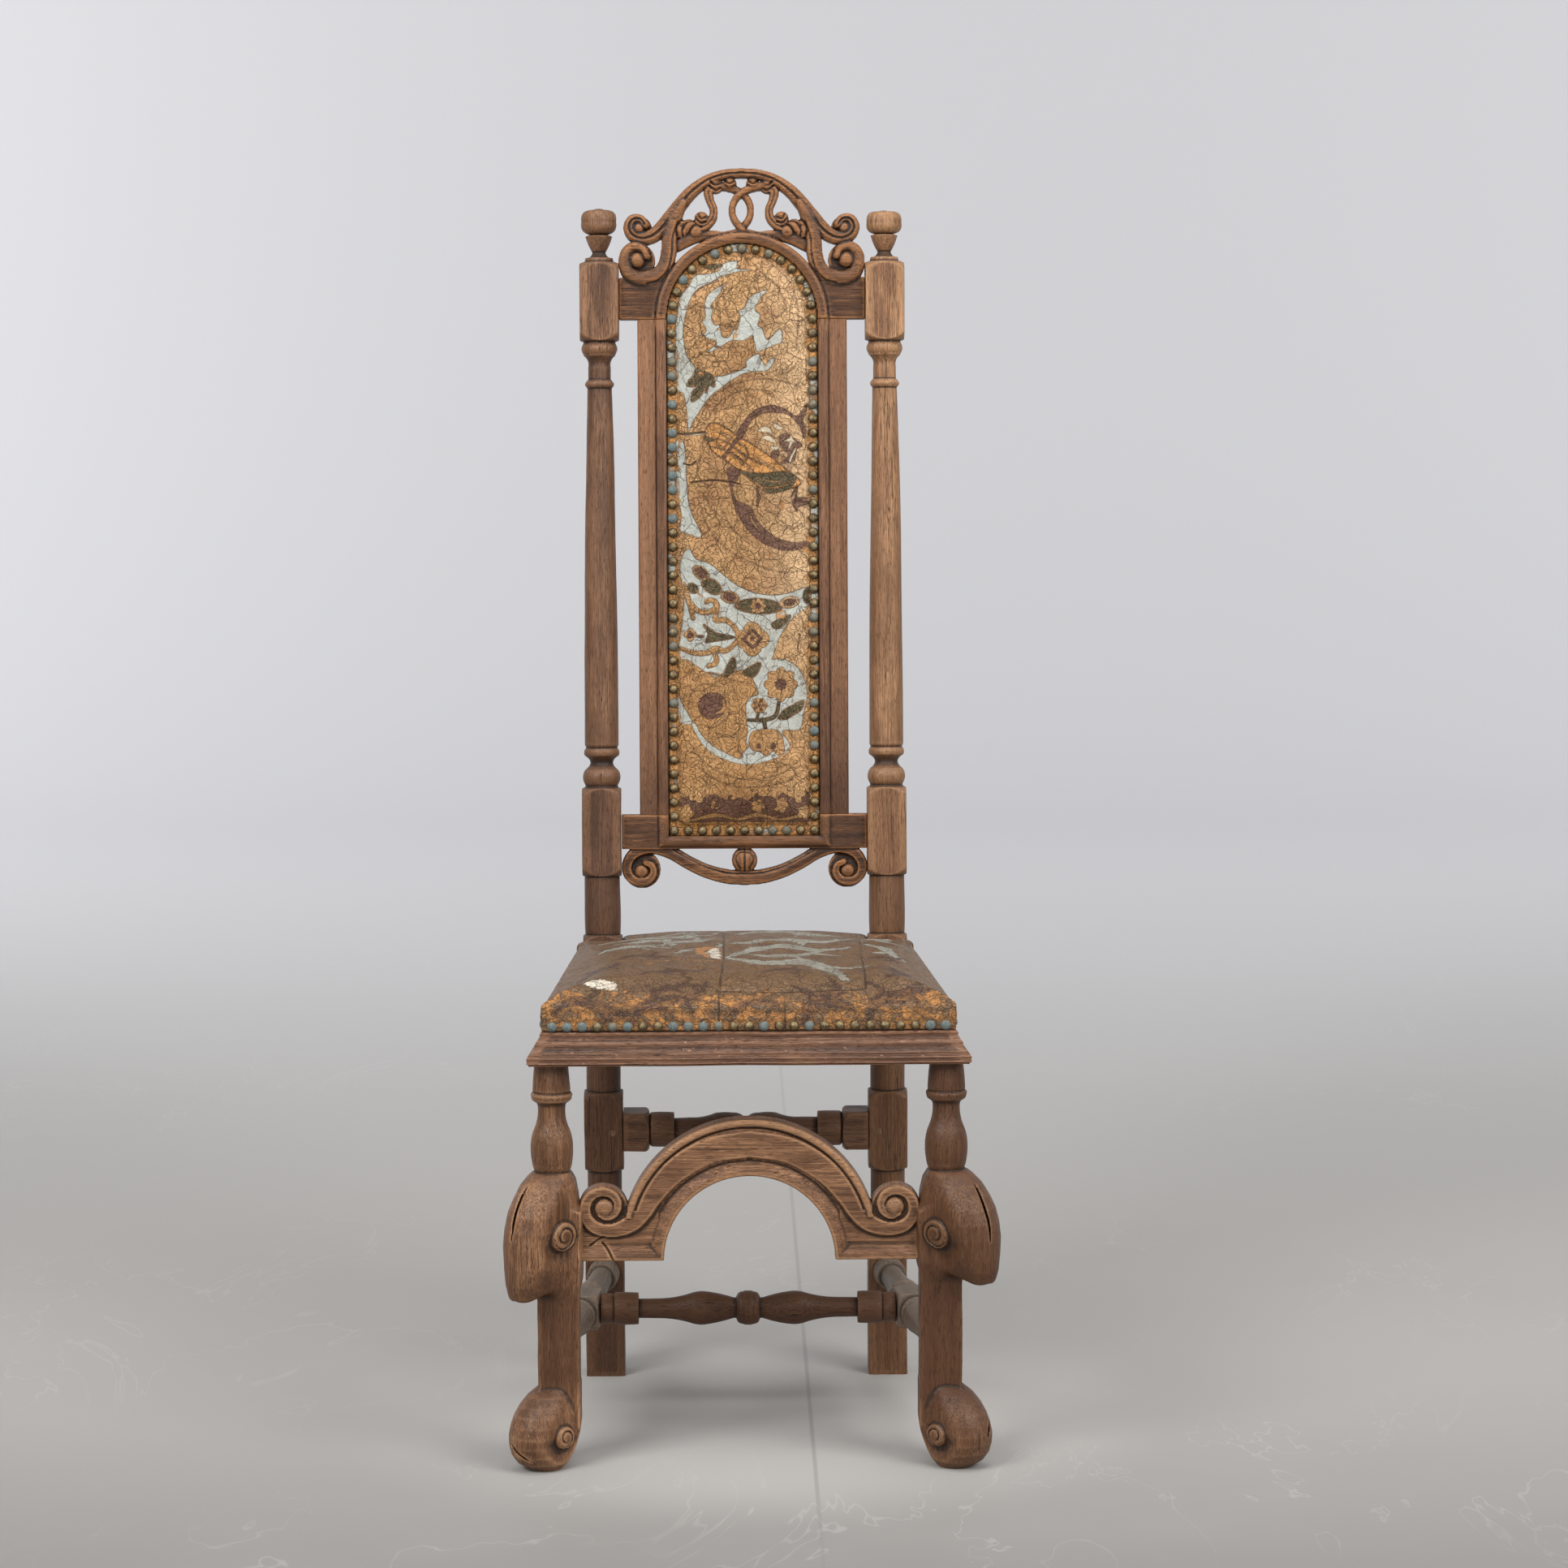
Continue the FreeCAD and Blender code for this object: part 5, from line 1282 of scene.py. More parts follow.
        shoulder = np.interp(
            z, (tip, self.shaft_top, 285.0, 300.0, 312.0), (self.inner, self.inner, 27.0, 24.0, 18.0)
        )
        knee = smooth_max(smooth_max(knee, x - shoulder, 5.0), y - shoulder, 5.0)
        body = smooth_min(knee, shaft, 13.0)
        body = smooth_min(body, foot, 2.2)
        turned = smooth_max(np.hypot(x, y) - self.turned(z), self.turning_foot - 9.0 - z, 1.0)
        body = np.minimum(body, np.maximum(turned, z - self.leg_top))
        flat = np.broadcast_to(z, body.shape)
        for line, depth in cracks:
            cut = self.crack(np.broadcast_to(x, body.shape[:1] + (1,) + body.shape[2:]),
                             y, flat[:, :1, :], line, depth)
            body = smooth_max(body, -cut, 0.6)
        return field_mesh(body, low, voxel)

    def build(self, wood: Material) -> None:
        """Make both legs."""
        left = (
            ([(-23, 303), (-31, 288), (-38, 268), (-41, 246)], -22.0),
            ([(-42, 58), (-36, 72), (-27, 79)], -20.0), ([(-44, 31), (-36, 22), (-24, 14)], -26.0)
        )
        right = (([(-26, 303), (-34, 287), (-41, 264), (-43, 244)], -26.0),
                 ([(-40, 66), (-44, 50), (-41, 34)], -20.0))
        for side, name, reach, tip, cracks in ((-1, "front_leg_left", 50.5, 177.0, left),
                                               (1, "front_leg_right", 55.0, 193.0, right)):
            points, faces = self.mesh(reach, tip, cracks)
            grain = points + 61.0 * (side + 2)
            points = points + 0.35 * wobble(points, 38.0, 30 + side)[:, None] * (0.6, 0.6, 0.0)
            points[:, 2] = np.maximum(points[:, 2], 0.0)
            points[:, 0] = -side * points[:, 0] + side * self.chair.leg_x
            points[:, 1] += self.chair.leg_y
            piece = build_mesh(name + "_carved", self.chair.settle(points), faces)
            height = grain[:, 2] - 61.0 * (side + 2)
            # Grime and painted shade: darker on the shaft under the knee, and the right leg darker all over.
            soil_and_shade = np.interp(
                height, (60, 95, 180, 225, 300, 330, 426), (0.0, 0.85, 0.85, 0.15, 0.05, 0.2, 0.35)
            )
            finish_timber(piece, grain, 60.0, np.minimum(soil_and_shade + 0.32 * (side + 1), 1.0))
            dress(piece, wood, [name])


@dataclass
class Stretchers:
    """Arched front stretcher and the turned stretchers, in millimetres."""

    chair: ChairFrame
    arch_bottom: float = 217.0
    arch_radius: float = 88.5
    outer_radius: float = 133.0
    outer_centre: float = 233.0
    arch_end: float = 175.1
    arch_y: float = -395.2
    half_thickness: float = 11.0
    rear_half: float = 21.5
    side_half: float = 19.0

    def arch(self, wood: Material) -> None:
        """Make the arched front stretcher with its beaded edge, broad band, cove and volutes."""
        board = Board((-self.arch_end, self.arch_bottom), (self.arch_end, 366.5), 1.15, self.half_thickness)
        x, z = np.abs(board.x), board.z
        opening = np.hypot(x, z - self.arch_bottom) - self.arch_radius
        rim = np.hypot(x, z - self.outer_centre) - self.outer_radius
        below = self.arch_bottom - z
        eye_x, eye_z = 149.5, 271.5
        block = np.maximum(np.maximum(x - self.arch_end, z - 256.0), 60.0 - x)
        area = np.maximum(np.maximum(np.minimum(rim, block), below), x - self.arch_end)
        within = np.minimum(opening, z - self.arch_bottom)
        ground = -8.0 - 2.2 * ease(z, 282.0, 304.0)
        cove = np.interp(within, (0, 1.5, 6, 12, 16, 18.5), (-9.5, -11.5, -11.0, -8.6, -7.2, -7.4))
        board.add(area, np.where(within < 18.5, cove, ground))
        bead = np.clip(-rim, 0.0, 8.4)
        edge = -11.0 - 3.4 * np.sqrt(np.clip(1.0 - ((bead - 4.2) / 4.2) ** 2, 0.0, 1.0))
        clear = np.hypot(x - eye_x, z - eye_z) > 23.0
        board.front = np.where(
            (rim < 0.4) & (rim > -8.4) & (z > 262.0) & clear, np.minimum(edge, board.front), board.front
        )
        board.disc(eye_x, eye_z, 24.0, -7.6)
        filled = np.maximum(np.maximum(z - 276.0, 94.0 - x), np.maximum(x - 150.0, 236.0 - z))
        board.add(np.maximum(filled, -opening), -8.0)
        band = [
            (0, 340), (42, 332.6), (79, 311), (100.8, 287.5), (110.5, 271), (120, 259), (132, 252.3),
            (146.5, 250), (160, 253.5), (168.3, 263), (169.6, 275), (163.8, 286), (152, 290.6), (141, 287),
            (135.8, 278), (138.3, 268), (146.5, 263), (154, 266)
        ]
        board.carve(
            Strand(
                band, (16, 15.9, 15.7, 15.2, 14.2, 11.0, 8.4, 6.9, 5.8, 4.8, 3.2), -8.3, 4.6, Profile.BAND
            )
        )
        board.front += 2.2 * np.exp(-((rim + 9.2) / 1.0) ** 2) * (z > 270.0) * (area < 0)
        board.boss(eye_x, eye_z + 1.0, 9.8, -9.0, 5.4)
        for line in ([(-165, 233), (-157, 239), (-150, 243)], [(-141, 218), (-146, 228), (-152, 236)]):
            board.cut(line, 0.9, 3.0, mirror=False)
        board.outside = np.maximum(board.outside, -opening)
        points, faces = board.mesh()
        grain = points[:, [2, 1, 0]] + 210.0
        points[:, 1] += 0.3 * wobble(points, 70.0, 41) + self.arch_y
        piece = build_mesh("arched_stretcher", self.chair.settle(points), faces)
        finish_timber(piece, grain, 60.0)
        dress(piece, wood, ["front_stretcher"])

    def rear(self, wood: Material) -> None:
        """Make the rear stretcher: a double vase between collars and square blocks."""
        end = self.chair.post_inner - 0.1
        wide, block = block_radius(self.rear_half), end - 29.0
        half = [
            (0, 12.6, 0), (1.5, 13.4, 0), (15, 18.0, 1.6), (34, 17.8, 0.7), (61, 13.0, -1.6), (79, 12.4, 0),
            (79.5, 19, 0), (block - 3, 19.2, 0.4), (block, 16.5, 0.8), (block + 8, wide, 2), (end, wide, 0)
        ]
        # Grime and painted shade: the rear stretcher is evenly darkened under the seat.
        turning = Turning(both_ways(half), self.rear_half, seed=7, soil_and_shade=((-300.0, 0.5), (300.0, 0.5)))
        place = laid((0.0, self.chair.post_y, self.chair.rear_stretcher), (1, 0, 0))
        dress(turning.build("rear_turned_stretcher", place), wood, ["rear_stretcher"])

    def low(self, wood: Material, middle_wood: Material) -> None:
        """Make the side stretchers and the medial stretcher between them."""
        height = self.chair.low_stretcher
        wide, block = block_radius(self.side_half), 23.0
        front = np.array((-self.chair.leg_x + 6.0, self.chair.leg_y + 28.0, height))
        rear = np.array((-self.chair.post_x, -self.chair.post_half, height))
        mid = np.linalg.norm(rear - front) / 2
        half = [
            (0, wide, 0), (block - 9, wide, 0), (block, 15.6, 2), (block + 10, 17, 0.6),
            (block + 11, 15.8, 0), (block + 19, 12.2, -1), (block + 28, 17, -1), (block + 36, 17.2, 0.5),
            (mid - 28, 12.4, -1.6), (mid - 27, 16.6, 0), (mid - 3, 17.0, 0.3), (mid - 1.6, 15.4, 0)
        ]
        for side, name in ((-1, "side_stretcher_left"), (1, "side_stretcher_right")):
            turning = Turning(both_ways(half), self.side_half, seed=10 + side)
            centre = (front + rear) / 2 * np.array((-side, 1, 1))
            place = laid(self.chair.settle(centre), (rear - front) * np.array((-side, 1, 1)))
            dress(turning.build(name + "_turned", place), wood, [name])
        reach = abs((front + rear)[0]) / 2 - self.side_half
        collar = reach - 41.0
        half = [
            (0, 18.3, 0), (6, 17.4, 0.5), (12.5, 12.2, 1.6), (14, 11.0, -0.3), (16, 11.2, 0),
            (44, 17.5, 0.7), (60, 16.6, 0.9), (collar - 22, 10.8, -1.4), (collar, 10.4, 0),
            (collar + 0.5, 17, 0), (collar + 26, 17.3, 0.3), (collar + 27, 15, 0), (reach, 16, 0.8)
        ]
        # Grime and painted shade: the medial stretcher is evenly darkened under the seat.
        turning = Turning(both_ways(half), 40.0, seed=14, soil_and_shade=((-300.0, 1.0), (300.0, 1.0)))
        place = laid(self.chair.settle((front + rear) / 2 * np.array((0, 1, 1))), (1, 0, 0))
        dress(
            turning.build("medial_turned_stretcher", place), middle_wood,
            ["medial_stretcher"]
        )


# Leather
class Ink(Enum):
    """Paint and wear that a leather design lays over its gilding."""

    BLUE = "ink_blue"
    MAROON = "ink_maroon"
    GREEN = "ink_green"
    BARE = "ink_bare"
    CREAM = "ink_cream"
    BROWN = "ink_brown"


class Drawing:
    """Design on a leather, kept for each ink as a signed distance that is positive within the ink.

    What is painted later covers what lies under it, and gilding is what no ink covers.
    """

    def __init__(self, x: Array, z: Array) -> None:
        """Start a bare gilt ground at places of the leather."""
        self.x = x
        self.z = z
        self.inks = {ink: np.full(x.shape, -30.0) for ink in Ink}

    def paint(self, ink: Ink | None, inside: Array, rim: float = 0.0) -> None:
        """Lay an ink, or gilding where there is none, over a shape.

        Args:
            ink: Ink of the shape.
            inside: Distances inside it.
            rim: Width of a gilt rim laid round it first.
        """
        if rim:
            self.paint(None, inside + rim)
        for other, held in self.inks.items():
            self.inks[other] = np.maximum(held, inside) if other is ink else np.minimum(held, -inside)

    def patch(self, ink: Ink | None, points: Sequence[Spot], rim: float = 0.0) -> None:
        """Paint a closed shape through points, with a gilt rim where one is given."""
        self.paint(ink, outline_distance(self.x, self.z, spline(points, closed=True, steps=3)), rim)

    def stroke(self, ink: Ink | None, points: Sequence[Spot], widths: Sequence[float]) -> None:
        """Paint a brush stroke with half widths along it."""
        gap, along = line_distance(self.x, self.z, spline(points, steps=4))
        self.paint(ink, np.interp(along, np.linspace(0.0, 1.0, len(widths)), widths) - gap)

    def oval(
        self, ink: Ink | None, x: float, z: float, wide: float, high: float, turn: float = 0.0,
        rim: float = 0.0
    ) -> None:
        """Paint an oval bud or leaf from its half sizes and its turn in degrees."""
        c, s = math.cos(math.radians(turn)), math.sin(math.radians(turn))
        along, across = (self.x - x) * c + (self.z - z) * s, (self.z - z) * c - (self.x - x) * s
        self.paint(ink, (1.0 - np.hypot(along / wide, across / high)) * min(wide, high), rim)

    def bloom(self, ink: Ink | None, x: float, z: float, radius: float, petals: int, notch: float) -> None:
        """Paint a flower with rounded petals."""
        turn = np.arctan2(self.z - z, self.x - x)
        edge = radius - notch * (1.0 - np.abs(np.cos(turn * petals / 2)))
        self.paint(ink, edge - np.hypot(self.x - x, self.z - z))

    def frond(self, ink: Ink | None, points: Sequence[Spot], width: float, leaves: int) -> None:
        """Paint a curling stem with pointed leaves on both sides."""
        self.stroke(ink, points, (0.3 * width, width, 0.8 * width, 0.2 * width))
        line = spline(points, steps=8)
        for number in range(leaves):
            at = round((number + 1) / (leaves + 1) * (len(line) - 2))
            step = line[at + 1] - line[at]
            turn = math.atan2(step[1], step[0]) + (0.7 if number % 2 else -0.7)
            ends = [line[at] + width * far * np.array((math.cos(turn + bend), math.sin(turn + bend)))
                    for far, bend in ((2.2, 0.0), (4.2, 0.4 if number % 2 else -0.4))]
            self.stroke(
                ink, [tuple(line[at]), *map(tuple, ends)], (0.55 * width, 0.5 * width, 0.08 * width)
            )

    def store(self, piece: Piece) -> None:
        """Store the design on a piece."""
        for ink, held in self.inks.items():
            set_values(piece, ink.value, np.clip(held, -8.0, 8.0))


@dataclass(frozen=True)
class LeatherFinish:
    """Old gilt leather: tooled gold under brown varnish, painted foliage, fine cracks, rubbed places and a
    painted sheen towards the right side.
    """

    name: str
    gold: Colour
    shade: Colour
    blue: Colour
    maroon: Colour
    green: Colour
    bare: Colour
    cream: Colour = (0.50, 0.42, 0.29)
    crack_dark: Colour = (0.05, 0.024, 0.012)
    metal: float = 0.45
    rubbed: float = 0.08
    dirt: float = 0.2
    ragged: float = 0.8
    hold: float = 0.86
    patchy: float = 0.9
    sheen: Colour = (0.66, 0.46, 0.27)
    ruddy: Colour = (0.40, 0.195, 0.058)
    sheen_and_ruddy: float = 0.0

    def make(self) -> Material:
        """Material of the finish."""
        r = Recipe(self.name)
        place = r.values("panel", vector=True)
        cloud = r.noise(r.stretch(place, 0.03), 5.0, 0.6)
        speck = r.noise(r.stretch(place, 0.55), 4.0, 0.7)
        smear = r.noise(r.stretch(place, 0.11), 5.0, 0.65)
        flake = r.noise(r.stretch(place, 0.075), 8.0, 0.68, 0.8)
        warp = r.node("ShaderNodeVectorMath", {"operation": "MULTIPLY_ADD"}, {
            0: r.node("ShaderNodeTexNoise", {}, {"Vector": place, "Scale": 0.09, "Detail": 3.0}, "Color"),
            1: (9.0, 9.0, 9.0), 2: place})
        ring = r.cells(r.stretch(warp, 0.066), "F1")
        veins = abs(r.noise(r.stretch(warp, 0.06), 2.0) - 0.5).ease(0.0, 0.02)
        tooling = abs((ring * 13.0).sine()).ease(0.0, 0.40).smaller(veins)
        fissure = r.cells(r.stretch(warp, (0.050, 0.050, 0.036)), "DISTANCE_TO_EDGE")
        fine = r.cells(r.stretch(warp, (0.17, 0.17, 0.12)), "DISTANCE_TO_EDGE")
        crack = (fissure.ease(0.020, 0.006) * smear.ease(0.36, 0.48)).larger(
            fine.ease(0.040, 0.012) * 0.75 * cloud.ease(0.48, 0.60))
        seam = r.values("seam").ease(1.5, 0.5)
        tone = r.mix(
            self.shade, self.gold, (cloud * 0.9 + smear * 0.5 + speck * 0.25 - 0.32).ease(0.20, 0.75)
        )
        tone = r.mix(tone, dim(self.shade, 0.55), (1.0 - tooling) * 0.42)
        aside = r.part(place, "X")
        low = r.part(place, "Z").ease(880.0, 740.0)
        tone = r.mix(tone, self.ruddy, low * (0.2 + smear) * self.sheen_and_ruddy)
        # Painted sheen: the gilding is lightened towards the right side, most in the upper part, as a
        # reflection of the lamps.
        tone = r.mix(
            tone, self.sheen, aside.ease(0.0, 80.0) * (0.4 + 1.2 * cloud) * (1.0 - 0.7 * low) * self.sheen_and_ruddy
        )
        uneven = ((smear - 0.5) * 1.6 + (speck - 0.5) + (flake - 0.5) * 1.6) * self.ragged
        palette = {Ink.BLUE: self.blue, Ink.MAROON: self.maroon, Ink.GREEN: self.green, Ink.BARE: self.bare,
                   Ink.CREAM: self.cream, Ink.BROWN: dim(self.shade, 0.45)}
        covers = {ink: (r.values(ink.value) + uneven).ease(-0.30, 0.30) for ink in palette}
        for ink, colour in palette.items():
            layer = r.mix(dim(colour, 0.68), dim(colour, 1.25),
                          (speck * 0.5 + smear * 0.6).ease(0.30, 0.80))
            hold = 0.45 if ink is Ink.BROWN else (self.hold + self.patchy * (speck - 0.5)).smaller(1.0)
            tone = r.mix(tone, layer, covers[ink] * hold)
            outline = abs(r.values(ink.value) + uneven).ease(1.1, 0.3) * (0.2 if ink is Ink.BROWN else 0.5)
            tone = r.mix(tone, dim(self.shade, 0.35), outline)
        lost = (flake + r.values("rub") * 0.22 + self.rubbed).ease(0.68, 0.73)
        bared = r.mix(dim(self.bare, 0.32), self.bare, (smear * 0.6 + speck * 0.5).ease(0.42, 0.64))
        tone = r.mix(tone, bared, lost * 0.9 * (1.0 - 0.7 * covers[Ink.MAROON]))
        tone = r.mix(tone, dim(self.shade, 0.5), cloud.ease(0.45, 0.75) * self.dirt)
        tone = r.mix(tone, self.crack_dark, (crack * 0.62).larger(seam * 0.85))
        gilt = 1.0 - covers[Ink.BLUE].larger(covers[Ink.CREAM])
        metal = gilt * (1.0 - lost) * self.metal
        rough = (0.26 + 0.35 * speck + 0.3 * lost + 0.2 * (1.0 - gilt)).smaller(0.9)
        wrinkle = r.bump(smear * 1.4 + cloud * 0.8, 0.0012)
        relief = tooling * gilt * 0.8 + speck * 0.25 - crack * 1.3 - lost * 0.4 - seam * 2.0
        return r.close(tone, rough, r.bump(relief, 0.0008, wrinkle), {"Specular IOR Level": 0.5}, metal)


@dataclass(frozen=True)
class Swelling:
    """Cloth simulation that swells a stuffed leather between its nailed edges, in millimetres."""

    limit: float
    pressure: float = 4.0
    frames: int = 20

    def moves(self, points: Array, faces: Sequence[Array], held: Array) -> Array:
        """Args:
            points: Points of the closed pad.
            faces: Its faces.
            held: Which points are nailed down.

        Returns:
            One move for each point, no longer than the limit.
        """
        piece = build_mesh("swelling", points, faces)
        piece.vertex_groups.new(name="held").add(np.flatnonzero(held).tolist(), 1.0, "REPLACE")
        cloth = piece.modifiers.new("swelling", "CLOTH")
        cloth.settings.vertex_group_mass = "held"
        cloth.settings.use_pressure = True
        cloth.settings.uniform_pressure_force = self.pressure
        cloth.settings.effector_weights.gravity = 0.0
        cloth.point_cache.frame_start = 1
        cloth.point_cache.frame_end = self.frames
        scene = bpy.context.scene
        for frame in range(1, self.frames + 1):
            scene.frame_set(frame)
        view = bpy.context.evaluated_depsgraph_get()
        move = mesh_points(piece.evaluated_get(view).data) - mesh_points(piece.data)
        bpy.data.objects.remove(piece)
        scene.frame_set(1)
        length = np.linalg.norm(move, axis=1)
        LOG.info(
            "swelling: %d points move %.1f mm on average, %.1f mm at most", len(move), length.mean(),
            length.max()
        )
        return move * np.minimum(1.0, self.limit / np.maximum(length, 1e-6))[:, None]

    def carried(self, moves: Array, points: Array, spots: Array) -> Array:
        """Moves at the spots of a finer pad, from the four nearest points of the coarse one."""
        tree = KDTree(len(points))
        for index, point in enumerate(points):
            tree.insert(point, index)
        tree.balance()
        result = np.empty(spots.shape)
        for index, spot in enumerate(spots):
            near = tree.find_n(spot, 4)
            weight = np.array([1.0 / (gap + 0.5) ** 2 for _, _, gap in near])
            result[index] = weight @ moves[[number for _, number, _ in near]] / weight.sum()
        return result


@dataclass
class BackPanel:
    """Stuffed panel of the back with its leather, in millimetres."""

    chair: ChairFrame
    face_y: float = -7.1
    back_y: float = -5.4
    crown: float = 8.0
    swell_limit: float = 4.5
    coarse_pitch: float = 5.0
    margin: float = 11.4
    run: float = 45.0
    pitch: float = 1.25
    edge_gap: float = 0.6

    def outline(self) -> Array:
        """Outline of the leather: straight sides under a round arch."""
        half = self.chair.panel_half - self.edge_gap
        low = self.chair.panel_bottom + self.edge_gap
        arc = [
            (half * math.cos(a), self.chair.spring + half * math.sin(a))
            for a in np.linspace(0.0, math.pi, 61)
        ]
        return np.array([(-half, low), (half, low), *arc])

    def front(self) -> tuple[Array, Array]:
        """Points of the front in x and z on the outline's even net, and its four-sided faces."""
        line = self.outline()
        xs = np.arange(line[:, 0].min(), line[:, 0].max() + self.pitch, self.pitch)
        zs = np.arange(line[:, 1].min(), line[:, 1].max() + self.pitch, self.pitch)
        x, z = np.meshgrid(xs, zs, indexing="ij")
        kept = outline_distance(x, z, line) > 0.45 * self.pitch
        used, quads = net_faces(kept)
        return np.column_stack((x.ravel()[used], z.ravel()[used])), quads

    def snapped(self, spots: Array, rim: Array) -> Array:
        """Spots with those of the rim moved onto the outline."""
        ring = np.vstack((self.outline(), self.outline()[:1]))
        edge = np.unique(rim)
        _, along = line_distance(spots[edge, 0], spots[edge, 1], ring)
        reach = np.concatenate(([0.0], np.cumsum(np.hypot(*np.diff(ring, axis=0).T))))
        moved = spots.copy()
        moved[edge, 0] = np.interp(along, reach / reach[-1], ring[:, 0])
        moved[edge, 1] = np.interp(along, reach / reach[-1], ring[:, 1])
        return moved

    def swell(self, spots: Array) -> tuple[Array, Array]:
        """Front of the stuffed leather in y, and the distance from its edge."""
        inset = np.maximum(outline_distance(spots[:, 0], spots[:, 1], self.outline()), 0.0)
        share = np.clip((inset - self.margin) / self.run, 0.0, 1.0)
        puff = self.crown * np.sqrt(1.0 - (1.0 - share) ** 2.2)
        puff *= 1.0 + 0.10 * wobble(spots, 150.0, 61)
        tuck = 0.9 * np.exp(-((inset - 5.6) / 5.0) ** 2)
        ripple = 0.45 * wobble(spots, 34.0, 62) * ease(inset, 9.0, 22.0)
        return self.face_y + tuck - puff - ripple, inset

    def creases(self, spots: Array) -> Array:
        """Distance to the tears and creases of the leather."""
        lines = (
            [(-74, 1045), (-60, 1044), (-42, 1046)], [(-58, 991), (-30, 993), (-5, 989)],
            [(54, 975), (60, 985), (58, 968)], [(-66, 1012), (-58, 1010), (-52, 1014)]
        )
        gaps = [line_distance(spots[:, 0], spots[:, 1], spline(line))[0] for line in lines]
        return np.minimum.reduce(gaps)

    def closed(self) -> tuple[Array, list[Array], Array]:
        """Closed pad: points of the upright back, faces and distances from the edge."""
        spots, quads = self.front()
        rim = open_edges(quads)
        spots = self.snapped(spots, rim)
        depth, inset = self.swell(spots)
        edge, order = np.unique(rim, return_inverse=True)
        behind = len(spots) + order.reshape(-1, 2)
        centre = len(spots) + len(edge)
        upright = np.column_stack((spots[:, 0], depth, spots[:, 1]))
        rear = np.column_stack((spots[edge, 0], np.full(len(edge), self.back_y), spots[edge, 1]))
        middle = np.array(((0.0, self.back_y, 900.0),))
        points = np.vstack((upright, rear, middle))
        skirt = np.column_stack((rim[:, 1], rim[:, 0], behind[:, 0], behind[:, 1]))
        cap = np.column_stack((np.full(len(rim), centre), behind[:, 1], behind[:, 0]))
        return points, [np.vstack((quads, skirt)), cap], np.concatenate((inset, np.zeros(len(edge) + 1)))

    def build(self, leather: Material) -> Piece:
        """Make the panel with its design."""
        points, faces, inset = self.closed()
        coarse, coarse_faces, gap = replace(self, pitch=self.coarse_pitch).closed()
        swelling = Swelling(self.swell_limit)
        moves = swelling.moves(coarse, coarse_faces, gap < self.margin)
        flat = points.copy()
        points = points + swelling.carried(moves, coarse, points) * ease(inset, 9.0, 16.0)[:, None]
        piece = build_mesh("back_panel", self.chair.settle(self.chair.lean(points)), faces)
        everywhere = flat[:, [0, 2]]
        drawing = Drawing(everywhere[:, 0], everywhere[:, 1])
        self.draw_top(drawing)
        self.draw_medallion(drawing)
        self.draw_garland(drawing)
        self.draw_basket(drawing)
        self.draw_border(drawing)
        self.draw_tooling(drawing)
        self.draw_margin(drawing, inset)
        drawing.store(piece)
        set_values(piece, "panel", flat)
        set_values(piece, "seam", self.creases(everywhere))
        set_values(
            piece, "rub", 0.5 * ease(-inset, -17.0, -9.0) + 0.25 * ease(everywhere[:, 1], 640.0, 580.0)
        )
        dress(piece, leather, ["back_leather", "back_stuffing"])
        return piece

    def draw_top(self, d: Drawing) -> None:
        """Draw the leaf scroll of the arch on its blue ground."""
        d.patch(
            Ink.BLUE,
            [
                (-5, 1234), (-5, 1225), (11, 1224), (-12, 1220), (-32, 1211), (-47, 1203), (-58, 1190),
                (-65, 1161), (-64, 1143), (-60, 1128), (-46, 1111), (-29, 1107), (-12, 1110), (4, 1117),
                (4, 1123), (17, 1132), (20, 1127), (25, 1119), (30, 1125), (36, 1127), (33, 1119),
                (27, 1113), (10, 1112), (-5, 1107), (-21, 1096), (-36, 1085), (-47, 1070), (-56, 1056),
                (-60, 1047), (-62, 1070), (-65, 1088), (-72, 1094), (-74, 1114), (-74, 1154), (-71, 1174),
                (-68, 1196), (-59, 1205), (-52, 1218), (-41, 1219), (-25, 1223), (-20, 1231)
            ]
        )
        d.patch(
            Ink.BLUE,
            [
                (-18, 1209), (-25, 1197), (-34, 1185), (-32, 1179), (-34, 1172), (-30, 1163), (-25, 1163),
                (-22, 1151), (-14, 1150), (-10, 1157), (-5, 1160), (-2, 1170), (-3, 1179), (2, 1181),
                (9, 1194), (28, 1202), (20, 1192), (14, 1180), (20, 1174), (17, 1163), (22, 1159),
                (27, 1147), (33, 1151), (42, 1159), (44, 1145), (35, 1141), (17, 1134), (14, 1143),
                (11, 1152), (6, 1148), (-3, 1146), (-10, 1147), (-18, 1143), (-27, 1137), (-40, 1133),
                (-30, 1141), (-29, 1146), (-38, 1149), (-48, 1154), (-40, 1155), (-40, 1161), (-44, 1167),
                (-40, 1172), (-41, 1187), (-35, 1199)
            ]
        )
        d.patch(
            Ink.GREEN,
            [
                (-50, 1117), (-43, 1113), (-33, 1109), (-31, 1100), (-32, 1096), (-37, 1099), (-40, 1090),
                (-42, 1096), (-46, 1087), (-56, 1080), (-55, 1090), (-50, 1097), (-60, 1097), (-60, 1101),
                (-54, 1108)
            ],
            rim=1.2
        )
        d.patch(Ink.GREEN, [(-42, 1227), (-30, 1231), (-21, 1229), (-30, 1224)])

